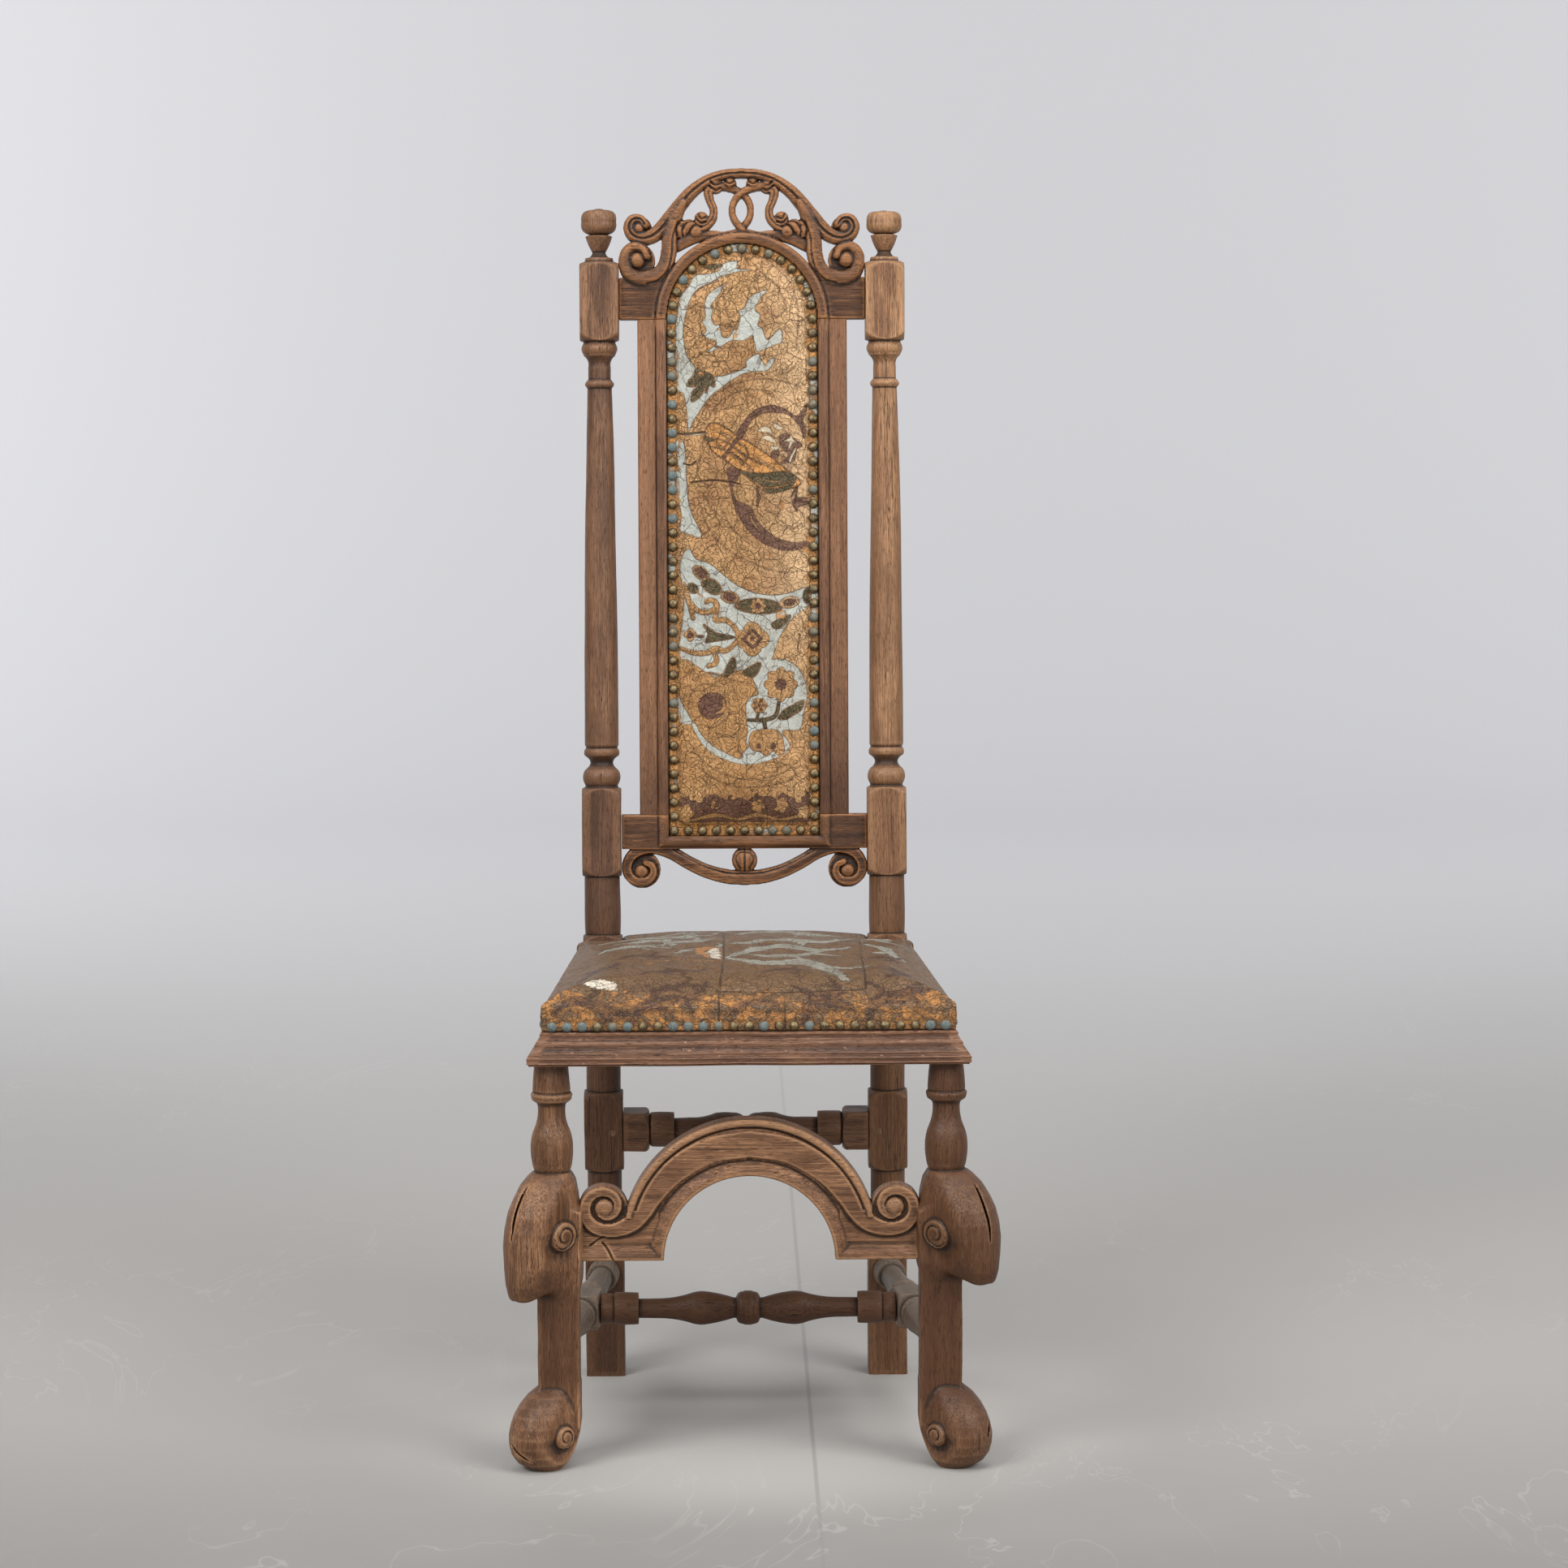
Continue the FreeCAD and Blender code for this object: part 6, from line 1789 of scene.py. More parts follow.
    def draw_medallion(self, d: Drawing) -> None:
        """Draw the crescents, the torn strip with painted shadow at its edge and painted shade in its folds,
        and the flower of the great medallion.
        """
        d.patch(
            Ink.MAROON,
            [
                (-7, 1043), (0, 1056), (10, 1067), (20, 1073), (35, 1075), (48, 1071), (59, 1064),
                (66, 1070), (71, 1078), (70, 1066), (67, 1059), (70, 1047), (68, 1039), (63, 1052),
                (53, 1063), (42, 1067), (28, 1067), (17, 1064), (8, 1056), (0, 1040)
            ]
        )
        d.patch(
            Ink.MAROON,
            [
                (-17, 1007), (-3, 1003), (-5, 996), (-11, 985), (-8, 972), (2, 968), (10, 962), (14, 952),
                (24, 940), (37, 930), (55, 925), (72, 926), (72, 920), (55, 916), (40, 917), (22, 924),
                (7, 936), (-3, 950), (-10, 966), (-14, 984)
            ]
        )
        d.stroke(None, [(6, 958), (11, 947), (20, 934)], (0.3, 1.3, 0.3))
        d.stroke(Ink.MAROON, [(15, 986), (17, 974), (15, 964)], (1.0, 2.2, 0.6))
        d.patch(Ink.MAROON, [(54, 970), (59, 974), (71, 974), (70, 966), (62, 964), (60, 958), (56, 964)])
        d.patch(
            Ink.MAROON,
            [
                (40, 1041), (50, 1044), (60, 1037), (67, 1031), (60, 1027), (57, 1014), (42, 1012),
                (50, 1020), (42, 1030)
            ]
        )
        d.patch(Ink.MAROON, [(31, 1023), (39, 1027), (40, 1021), (34, 1016)])
        for line, width in (
            ([(17, 1047), (26, 1049), (33, 1044)], 3.4), ([(21, 1040), (29, 1039), (38, 1033)], 3.0),
            ([(33, 1056), (39, 1051), (45, 1050)], 2.6), ([(30, 1030), (36, 1028), (42, 1031)], 2.2),
            ([(46, 1036), (53, 1037), (60, 1034)], 2.4), ([(53, 1044), (54, 1036), (51, 1028)], 2.0)
        ):
            d.stroke(Ink.CREAM, line, (0.4, width, 0.8 * width, 0.4))
        d.stroke(Ink.CREAM, [(59, 1028), (53, 1017), (51, 1008)], (1.0, 1.5, 0.6))
        strip = spline(
            [
                (-41, 1048), (-30, 1056), (-5, 1041), (24, 1023), (50, 1003), (63, 992), (60, 987),
                (31, 979), (17, 987), (-7, 1007), (-32, 1025), (-38, 1036)
            ],
            closed=True, steps=3
        )
        inside = outline_distance(d.x, d.z, strip)
        # Painted shadow: a dark maroon rim round the torn strip, where its edge stands off the leather.
        d.paint(Ink.MAROON, inside + 1.1)
        d.paint(Ink.BARE, inside)
        for line in (
            [(-33, 1049), (-16, 1041), (2, 1029)], [(-30, 1034), (-12, 1021)],
            [(10, 1022), (26, 1010), (44, 1000)], [(4, 1008), (14, 1000)]
        ):
            d.stroke(None, line, (0.4, 1.5, 1.1, 0.4))
        d.patch(
            Ink.GREEN,
            [
                (-7, 1007), (6, 1002), (24, 1001), (46, 1003), (60, 996), (50, 983), (28, 979), (19, 988),
                (2, 999)
            ]
        )
        d.stroke(None, [(8, 999), (30, 992), (53, 992)], (0.3, 0.9, 0.3))
        d.stroke(Ink.BARE, [(22, 985), (36, 985), (50, 989)], (0.3, 0.9, 0.3))
        d.patch(Ink.GREEN, [(-41, 1042), (-29, 1037), (-30, 1034), (-42, 1038)])
        d.stroke(Ink.MAROON, [(-5, 1039), (-14, 1028), (-20, 1019)], (2.4, 1.6, 2.2))
        # Painted shade: brown lines in the folds of the torn strip.
        for line in (
            [(-37, 1040), (-20, 1036), (0, 1022), (20, 1010)], [(-34, 1030), (-14, 1024), (8, 1008)],
            [(-22, 1046), (-16, 1036), (-24, 1026)], [(2, 1032), (6, 1020), (0, 1010)]
        ):
            d.stroke(Ink.BROWN, line, (0.5, 1.0, 0.9, 0.5))
        d.patch(
            Ink.BLUE,
            [
                (-73, 1036), (-65, 1034), (-63, 1012), (-62, 985), (-58, 960), (-46, 932), (-62, 935),
                (-70, 940), (-68, 957), (-73, 988)
            ]
        )
        d.stroke(Ink.CREAM, [(-66, 1045), (-52, 1044), (-40, 1045)], (0.6, 1.4, 0.5))

    def draw_garland(self, d: Drawing) -> None:
        """Draw the garland of buds and the star flower under the medallion."""
        d.patch(
            Ink.BLUE,
            [
                (-61, 919), (-52, 907), (-37, 902), (-25, 892), (-10, 880), (8, 871), (28, 867), (50, 869),
                (74, 876), (74, 857), (57, 844), (45, 830), (36, 812), (31, 797), (20, 791), (5, 785),
                (-7, 785), (-22, 782), (-31, 777), (-45, 785), (-62, 796), (-72, 799), (-70, 820),
                (-67, 845), (-66, 865), (-70, 902)
            ]
        )
        strands = ([(-59, 860), (-50, 850), (-37, 849), (-29, 856), (-35, 862), (-41, 860)],
                   [(-29, 852), (-31, 840), (-20, 840), (-10, 832), (-5, 821)],
                   [(-70, 809), (-55, 804), (-40, 804), (-31, 809), (-20, 806), (-6, 817)],
                   [(-32, 804), (-30, 794), (-39, 789)], [(-66, 880), (-62, 866), (-58, 852), (-56, 842)])
        for line in strands:
            d.stroke(None, line, (2.2, 3.0, 2.8, 2.4))
        d.oval(Ink.GREEN, -35, 877, 11, 7, -35, rim=1.0)
        d.oval(Ink.GREEN, -56, 875, 6, 4.5, -40, rim=0.8)
        d.oval(Ink.MAROON, -47, 892, 8, 5, -35, rim=1.6)
        d.oval(Ink.MAROON, -15, 865, 7, 4.5, -15, rim=2.2)
        d.oval(Ink.GREEN, 17, 855, 24, 8, -3, rim=0.8)
        d.bloom(None, 16, 855, 9.0, 8, 3.0)
        d.bloom(Ink.MAROON, 16, 855, 4.0, 5, 1.5)
        d.oval(Ink.MAROON, 51, 859, 7, 4, 8, rim=2.4)
        d.oval(Ink.GREEN, 70, 866, 3.5, 8)
        d.patch(Ink.GREEN, [(31, 835), (40, 841), (52, 845), (47, 836), (37, 830)], rim=0.8)
        d.patch(
            Ink.GREEN, [(-44, 835), (-31, 826), (-10, 821), (-31, 817), (-42, 816), (-39, 825)], rim=0.7
        )
        d.bloom(None, -59, 824, 7.5, 4, 2.6)
        d.bloom(Ink.MAROON, -59, 824, 4.6, 3, 2.0)
        d.oval(Ink.MAROON, -48, 822, 3.5, 1.6)
        d.bloom(None, 9.5, 819, 19.0, 4, 5.0)
        d.bloom(None, 9.5, 819, 16.5, 12, 2.5)
        square = np.abs(d.x - 9.5) + np.abs(d.z - 819)
        d.paint(Ink.MAROON, (12.0 - square) * 0.7)
        d.paint(None, (7.6 - square) * 0.7)
        d.oval(Ink.MAROON, 9.5, 819, 2.2, 2.2)

    def draw_basket(self, d: Drawing) -> None:
        """Draw the fruit, the flowers and their stems in the lower medallion."""
        d.patch(
            Ink.BLUE,
            [
                (14, 787), (20, 795), (45, 796), (60, 787), (68, 772), (70, 755), (66, 735), (62, 719),
                (42, 718), (51, 702), (42, 691), (22, 684), (0, 681), (-22, 687), (-40, 697), (-52, 712),
                (-58, 726), (-54, 726), (-47, 714), (-35, 702), (-20, 694), (-5, 687), (-1, 694), (5, 701),
                (2, 706), (4, 719), (2, 735), (3, 750), (9, 756), (16, 759), (11, 772), (9, 780)
            ]
        )
        d.patch(Ink.BLUE, [(-72, 757), (-67, 745), (-57, 727), (-72, 729)])
        d.oval(Ink.MAROON, -35, 746, 16, 14.5, 10)
        d.stroke(None, [(-31, 737), (-22, 742), (-23, 753)], (0.4, 2.6, 0.5))
        d.patch(Ink.GREEN, [(-12, 799), (-9, 790), (-12, 782), (-22, 776), (-19, 787)], rim=0.9)
        d.patch(Ink.GREEN, [(18, 793), (15, 782), (8, 777), (-2, 781), (3, 786)], rim=0.9)
        d.stroke(Ink.GREEN, [(4, 730), (22, 730), (35, 735), (39, 751)], (1.4, 2.2, 2.0, 1.6))
        d.stroke(Ink.GREEN, [(22, 730), (24, 718)], (1.9, 1.6))
        d.stroke(Ink.GREEN, [(16, 738), (14, 730)], (1.2, 1.5))
        d.patch(
            Ink.GREEN, [(38, 732), (45, 741), (55, 746), (66, 751), (64, 742), (57, 737), (47, 731)],
            rim=0.8
        )
        d.bloom(None, 41, 769, 19.0, 8, 4.0)
        d.bloom(Ink.MAROON, 41, 769, 6.6, 9, 1.2)
        d.bloom(None, 17, 746, 8.8, 6, 1.6)
        for turn in range(5):
            d.oval(
                Ink.MAROON, 17 + 5.2 * math.cos(turn * 1.26), 746 + 5.2 * math.sin(turn * 1.26), 2.0, 1.5,
                turn * 72
            )
        d.oval(Ink.MAROON, 17, 746, 1.6, 1.6)
        d.patch(
            None,
            [
                (8, 716), (15, 719), (35, 719), (42, 712), (45, 695), (37, 691), (32, 696), (25, 690),
                (17, 695), (10, 696), (5, 706)
            ]
        )
        d.oval(Ink.MAROON, 16, 701, 2.8, 2.8)
        d.oval(Ink.MAROON, 32, 701, 3.5, 3.5)

    def draw_border(self, d: Drawing) -> None:
        """Draw the maroon border with its gilt curls at the foot of the panel."""
        wave = 648.0 + 3.0 * np.sin(d.x * 0.21)
        d.paint(Ink.MAROON, np.minimum(np.minimum(wave - d.z, d.z - 617.0), 72.0 - np.abs(d.x)))
        for x, z, radius in (
            (-52, 649, 11), (-32, 637, 6), (-2, 649, 14), (15, 635, 8), (40, 636, 9), (57, 649, 11),
            (-66, 627, 11), (-22, 650, 8), (32, 650, 9), (66, 628, 8)
        ):
            d.bloom(None, x, z, radius, 5, 0.35 * radius)
        for line in (
            [(-44, 640), (-36, 645), (-29, 641), (-31, 635)], [(-16, 636), (-6, 641), (2, 637), (0, 631)],
            [(22, 644), (30, 642), (33, 636), (28, 632)], [(46, 644), (53, 640), (54, 633), (48, 630)]
        ):
            d.stroke(Ink.MAROON, line, (2.0, 3.4, 3.0, 1.6))
        d.stroke(
            None, [(-60, 619), (-30, 625), (-8, 620), (14, 625), (40, 620), (62, 624)],
            (1.0, 2.6, 1.2, 2.4, 1.2, 2.2)
        )
        d.paint(Ink.BARE, 616.0 + 1.6 * np.sin(d.x * 0.33) - d.z)

    def draw_tooling(self, d: Drawing) -> None:
        """Draw the brown lines of leaves, arcs and curls on the gilding."""
        for line in (
            [(-22, 1217), (-20, 1192), (-14, 1168)], [(-51, 1181), (-41, 1149), (-22, 1138), (-4, 1140)],
            [(-54, 1196), (-44, 1205), (-26, 1212)], [(-56, 1168), (-50, 1140), (-36, 1124), (-14, 1122)],
            [(33, 1230), (54, 1209), (62, 1176), (60, 1140)], [(20, 1222), (40, 1204), (50, 1176)],
            [(26, 1180), (38, 1172), (48, 1182), (44, 1196), (34, 1196)],
            [(36, 1108), (52, 1112), (62, 1124)],
            [(-51, 1051), (-35, 1083), (-4, 1100), (28, 1104), (66, 1096)],
            [(-42, 1056), (-24, 1080), (4, 1092), (40, 1090)],
            [(-46, 1025), (-50, 1000), (-38, 988), (-30, 998), (-36, 1006)],
            [(-44, 980), (-34, 962), (-18, 948)],
            [(-48, 972), (-40, 944), (-20, 920), (8, 903), (38, 893), (66, 893)],
            [(-24, 962), (-10, 938), (10, 922)], [(24, 960), (38, 956), (44, 966), (36, 974), (28, 968)],
            [(40, 944), (56, 940), (66, 946)], [(56, 836), (62, 822), (60, 806), (70, 800)],
            [(62, 852), (66, 836), (70, 822)], [(-58, 774), (-38, 782), (-13, 774), (8, 770)],
            [(-62, 742), (-58, 760), (-44, 770), (-24, 766)],
            [(-52, 730), (-40, 722), (-26, 726), (-16, 738), (-18, 754)],
            [(-30, 716), (-14, 712), (-4, 722)], [(-61, 705), (-38, 679), (-2, 665), (38, 670), (66, 689)],
            [(-58, 684), (-30, 664), (0, 656), (40, 660), (66, 674)],
            [(33, 673), (48, 681), (57, 671), (46, 661), (38, 667)], [(-50, 668), (-42, 662), (-48, 656)]
        ):
            d.stroke(Ink.BROWN, line, (0.6, 1.0, 1.0, 0.5))

    def draw_margin(self, d: Drawing, inset: Array) -> None:
        """Show bare leather under the nails, with remains of blue paint."""
        spots = np.column_stack((d.x, d.z))
        d.paint(Ink.BARE, 9.4 + 1.2 * wobble(spots, 26.0, 71) - inset)
        rest = 6.0 * (wobble(spots, 44.0, 72) - 0.35)
        d.paint(Ink.BLUE, np.minimum(rest, 8.0 - inset))


@dataclass
class SeatPad:
    """Stuffed seat with its leather drawn down over the rails, in millimetres."""

    chair: ChairFrame
    front_half: float = 210.0
    back_half: float = 180.0
    front_y: float = -413.0
    rear_y: float = 21.0
    notch_y: float = -23.5
    notch_x: float = 133.5
    skin: float = 3.2
    edge_top: float = 489.6
    crown: float = 15.0
    run: float = 85.0
    seams: Sequence[Sequence[Spot]] = (
        ((-24, 20), (-24, -180), (-26, -300), (-30, -395)), ((124, 10), (122, -200), (121, -390)),
        ((-29, -392), (40, -395), (121, -390))
    )
    hem: float = 460.6
    nail_top: float = 474.0
    roll: float = 13.0
    voxel: float = 2.2
    coarse_voxel: float = 5.0
    swell_limit: float = 4.0

    def plan(self, grow: float) -> Array:
        """Outline of the seat in x and y, grown outwards."""
        half, back, front = self.front_half + grow, self.back_half + grow, self.front_y - grow
        right = [
            (half, front), (back, self.notch_y), (self.notch_x, self.notch_y), (self.notch_x, self.rear_y)
        ]
        return np.array(right + [(-x, y) for x, y in right[::-1]])

    def closed(self, voxel: float, shell: bool) -> tuple[Array, list[Array]]:
        """Points and faces of the pad, as the shell over the rails or as the whole stuffed form."""
        low = np.array((-self.front_half - 20.0, self.front_y - 20.0, self.hem - 6.0))
        high = np.array((self.front_half + 20.0, self.rear_y + 10.0, self.edge_top + self.crown + 10.0))
        axes = [a + voxel * np.arange(math.ceil((b - a) / voxel)) for a, b in zip(low, high)]
        x, y = np.meshgrid(axes[0], axes[1], indexing="ij")
        z = axes[2][None, None, :]
        inside = outline_distance(x, y, self.plan(self.skin))
        spots = np.stack((x, y), axis=-1).reshape(-1, 2)
        corner = np.hypot(np.abs(x) - self.back_half, y - self.notch_y)
        puff = self.crown * (1.0 - (1.0 - np.clip(inside / self.run, 0.0, 1.0)) ** 2.2)
        puff *= (1.0 - 0.9 * np.exp(-(corner / 75.0) ** 2)) * (1.0 - 0.45 * ease(y, -170.0, 10.0))
        top = self.edge_top + puff
        top += (
            0.8 * wobble(spots, 120.0, 81) + 0.5 * wobble(spots, 38.0, 82)
        ).reshape(x.shape) * ease(inside, 8.0, 40.0)
        seam = np.minimum.reduce([line_distance(x, y, spline(line))[0] for line in self.seams])
        top -= 1.1 * np.exp(-(seam / 3.0) ** 2) * ease(inside, 4.0, 20.0)
        bulge = np.interp(z, (460, 471, 479, 487, 495, 505), (0.0, 0.0, 2.6, 5.6, 6.6, 6.6))
        field = smooth_max(-inside[:, :, None] - bulge, z - top[:, :, None], self.roll)
        field = np.maximum(field, self.hem - z)
        if shell:
            core = outline_distance(x, y, self.plan(0.3))[:, :, None]
            field = smooth_max(field, np.minimum(core, self.chair.seat_top + 0.6 - z), 0.8)
        return field_mesh(field, low, voxel)

    def build(self, leather: Material) -> Piece:
        """Make the seat with its design."""
        points, faces = self.closed(self.voxel, True)
        coarse, coarse_faces = self.closed(self.coarse_voxel, False)
        swelling = Swelling(self.swell_limit)
        moves = swelling.moves(coarse, coarse_faces, coarse[:, 2] < self.nail_top)
        under = np.minimum(
            outline_distance(points[:, 0], points[:, 1], self.plan(1.6)), self.edge_top - 3.0 - points[:, 2]
        )
        free = ease(points[:, 2], self.nail_top - 4.0, self.nail_top + 8.0) * ease(-under, -0.8, 0.2)
        flat = points.copy()
        points = points + swelling.carried(moves, coarse, points) * free[:, None]
        piece = build_mesh("seat_pad", self.chair.settle(points), faces)
        self.draw(piece, flat)
        dress(piece, leather, ["seat_leather", "seat_stuffing"])
        return piece

    def draw(self, piece: Piece, points: Array) -> None:
        """Draw the faded foliage, the seams, the hole and the patch on the unrolled leather."""
        fall = np.maximum(492.0 - points[:, 2], 0.0)
        front = points[:, 1] < -0.95 * np.abs(points[:, 0]) * self.front_y / -self.front_half - 4.0
        along = points[:, 0] + np.where(front, 0.0, np.sign(points[:, 0]) * fall)
        deep = points[:, 1] - np.where(points[:, 1] < -330.0, fall, 0.0)
        d = Drawing(along, deep)
        for line, width, leaves in (
            ([(-22, -248), (13, -190), (45, -176), (76, -206), (108, -184)], 12.0, 2),
            ([(-20, -252), (20, -290), (57, -277), (83, -325), (104, -372)], 13.0, 2),
            ([(-16, -160), (40, -130), (80, -150), (112, -110)], 12.0, 2),
            ([(-10, -70), (40, -46), (80, -72), (112, -62)], 13.0, 2),
            ([(0, -228), (34, -244), (66, -228), (96, -240)], 9.0, 2),
            ([(-150, -50), (-120, -40), (-90, -58), (-40, -30)], 13.0, 2),
            ([(-155, -110), (-110, -90), (-70, -96), (-32, -66)], 13.0, 2),
            ([(-140, -150), (-100, -128), (-70, -142), (-32, -112)], 12.0, 2),
            ([(-160, -196), (-120, -172), (-80, -186)], 9.0, 2),
            ([(127, -40), (150, -62), (146, -100), (164, -124)], 10.0, 2),
            ([(128, -165), (146, -180), (158, -220), (172, -236)], 9.0, 1),
            ([(-76, -214), (-50, -190), (-36, -196), (-28, -150)], 9.0, 1)
        ):
            d.frond(Ink.BLUE, line, width, leaves)
        for line, width, leaves in (
            ([(-122, -440), (-105, -420), (-75, -406), (-45, -412)], 9.0, 4),
            ([(56, -440), (70, -415), (98, -398)], 10.0, 4),
            ([(-20, -440), (-5, -418), (22, -412), (33, -430)], 5.0, 3),
            ([(122, -440), (132, -415), (155, -400), (190, -396)], 9.0, 4),
            ([(-200, -430), (-178, -412), (-150, -420), (-140, -440)], 9.0, 4),
            ([(-100, -398), (-70, -380), (-40, -385)], 5.0, 3),
            ([(140, -370), (160, -340), (150, -300)], 6.0, 4),
            ([(-180, -340), (-160, -300), (-130, -290)], 6.0, 4),
            ([(-110, -350), (-80, -330), (-50, -340)], 6.0, 4),
            ([(10, -345), (40, -325), (66, -340)], 5.0, 3),
            ([(-140, -250), (-110, -235), (-80, -250)], 6.0, 3),
            ([(130, -260), (150, -240), (162, -262)], 5.0, 3)
        ):
            d.frond(Ink.MAROON, line, width, leaves)
        d.stroke(Ink.BARE, [(-108, -292), (-76, -262), (-50, -274), (-30, -268)], (0.6, 1.6, 1.2, 1.6))
        d.patch(
            Ink.CREAM, [(-170, -379), (-158, -370), (-139, -375), (-136, -391), (-150, -389), (-164, -386)]
        )
        d.patch(Ink.BARE, [(-56, -190), (-42, -176), (-28, -182), (-27, -268), (-38, -256), (-50, -232)])
        d.patch(Ink.CREAM, [(-43, -200), (-30, -188), (-29, -262), (-38, -250), (-40, -225)])
        d.store(piece)
        lines = (
            *self.seams, [(36, -398), (37, -450)], [(-60, -180), (-42, -172), (-25, -176)],
            [(-30, -395), (-31, -450)]
        )
        gaps = [line_distance(along, deep, spline(line))[0] for line in lines]
        set_values(piece, "seam", np.minimum.reduce(gaps))
        rub = 0.9 * ease(-deep, 372.0, 412.0) + 0.5 * ease(np.abs(along), 168.0, 205.0)
        set_values(piece, "rub", np.minimum(rub, 0.9))
        set_values(piece, "panel", np.column_stack((along, deep, 0.9 * fall)))


# Seat frame
@dataclass
class SeatFrame:
    """Moulded seat rails, in millimetres."""

    chair: ChairFrame
    front_half: float = 210.0
    back_half: float = 180.0
    front_y: float = -413.0

    def section(self) -> Array:
        """Section of a rail: reach out from its face, and height."""
        corners = [
            (-45, 484, 0), (-45, 426, 0), (14.5, 426, 0), (17, 428.5, 0.7), (17, 434, 0.6),
            (15.5, 436.5, 0.6), (14.2, 436.9, 0), (13.6, 439, 0), (9, 445, 0.9), (5.8, 451, -1.2),
            (5.2, 452.2, 0), (4.7, 452.6, 0), (4.7, 457, 0.5), (3, 458.9, 0.4), (0, 459, 0), (0, 484, 0)
        ]
        return fine_outline(corners, 1.3)

    def build(self, wood: Material) -> None:
        """Make the front rail and both side rails, mitred at the front corners."""
        section = self.section()
        reach = section[:, 0]
        side = np.array((self.back_half - self.front_half, -self.chair.post_half - self.front_y))
        side /= np.linalg.norm(side)
        out = np.array((side[1], -side[0]))
        mitre = (out + np.array((0.0, -1.0))) / (1.0 - out[1])
        end = self.front_half + reach * mitre[0]
        points, faces = sweep(section, -end, end, 3.0)
        world = np.column_stack((points[:, 2], self.front_y - points[:, 0], points[:, 1]))
        self.finish("front_rail", world, points, faces, wood, "seat_front_rail")
        start = reach * (mitre @ side)
        stop = (-self.chair.post_half - self.front_y - reach * out[1]) / side[1]
        points, faces = sweep(section, start, stop, 3.0)
        corner = np.array((self.front_half, self.front_y))
        flat = corner + points[:, 2:] * side + points[:, :1] * out
        for sign, name in ((1, "right"), (-1, "left")):
            world = np.column_stack((sign * flat[:, 0], flat[:, 1], points[:, 1]))
            self.finish(
                "side_rail_" + name, world, points + 400.0 * sign, faces, wood, "seat_side_rail_" + name
            )

    def finish(
        self, name: str, world: Array, grain: Array, faces: list[Array], wood: Material, node: str
    ) -> None:
        """Make one rail, a little uneven along its length."""
        world = world + 0.25 * wobble(world, 90.0, len(name))[:, None]
        piece = build_mesh(name, self.chair.settle(world), faces)
        finish_timber(piece, grain, 30.0)
        dress(piece, wood, [node])


# Nails
@dataclass(frozen=True)
class NailFinish:
    """Worn brass nail heads, some of them covered by verdigris."""

    name: str = "nail_brass"
    brass: Colour = (0.29, 0.215, 0.11)
    dull: Colour = (0.065, 0.048, 0.03)
    verdigris: Colour = (0.15, 0.182, 0.172)

    def make(self) -> Material:
        """Material of the finish."""
        r = Recipe(self.name)
        spot = r.node("ShaderNodeTexCoord", out="Object")
        fine = r.noise(r.stretch(spot, 900.0), 4.0, 0.7)
        film = r.noise(r.stretch(spot, 260.0), 3.0)
        patina = r.values("patina")
        cover = (patina + (fine - 0.5) * 0.7).ease(0.45, 0.62)
        tone = r.mix(self.brass, self.dull, (film * 0.8 + fine * 0.5).ease(0.45, 0.85))
        crust = r.mix(dim(self.verdigris, 0.38), self.verdigris, (fine * 0.7 + film * 0.5).ease(0.40, 0.75))
        tone = r.mix(tone, crust, cover)
        rough = 0.36 + 0.22 * fine + 0.35 * cover
        return r.close(
            tone, rough.smaller(0.95), r.bump(fine, 0.0004), {"Specular IOR Level": 0.5},
            (1.0 - cover) * 0.9
        )


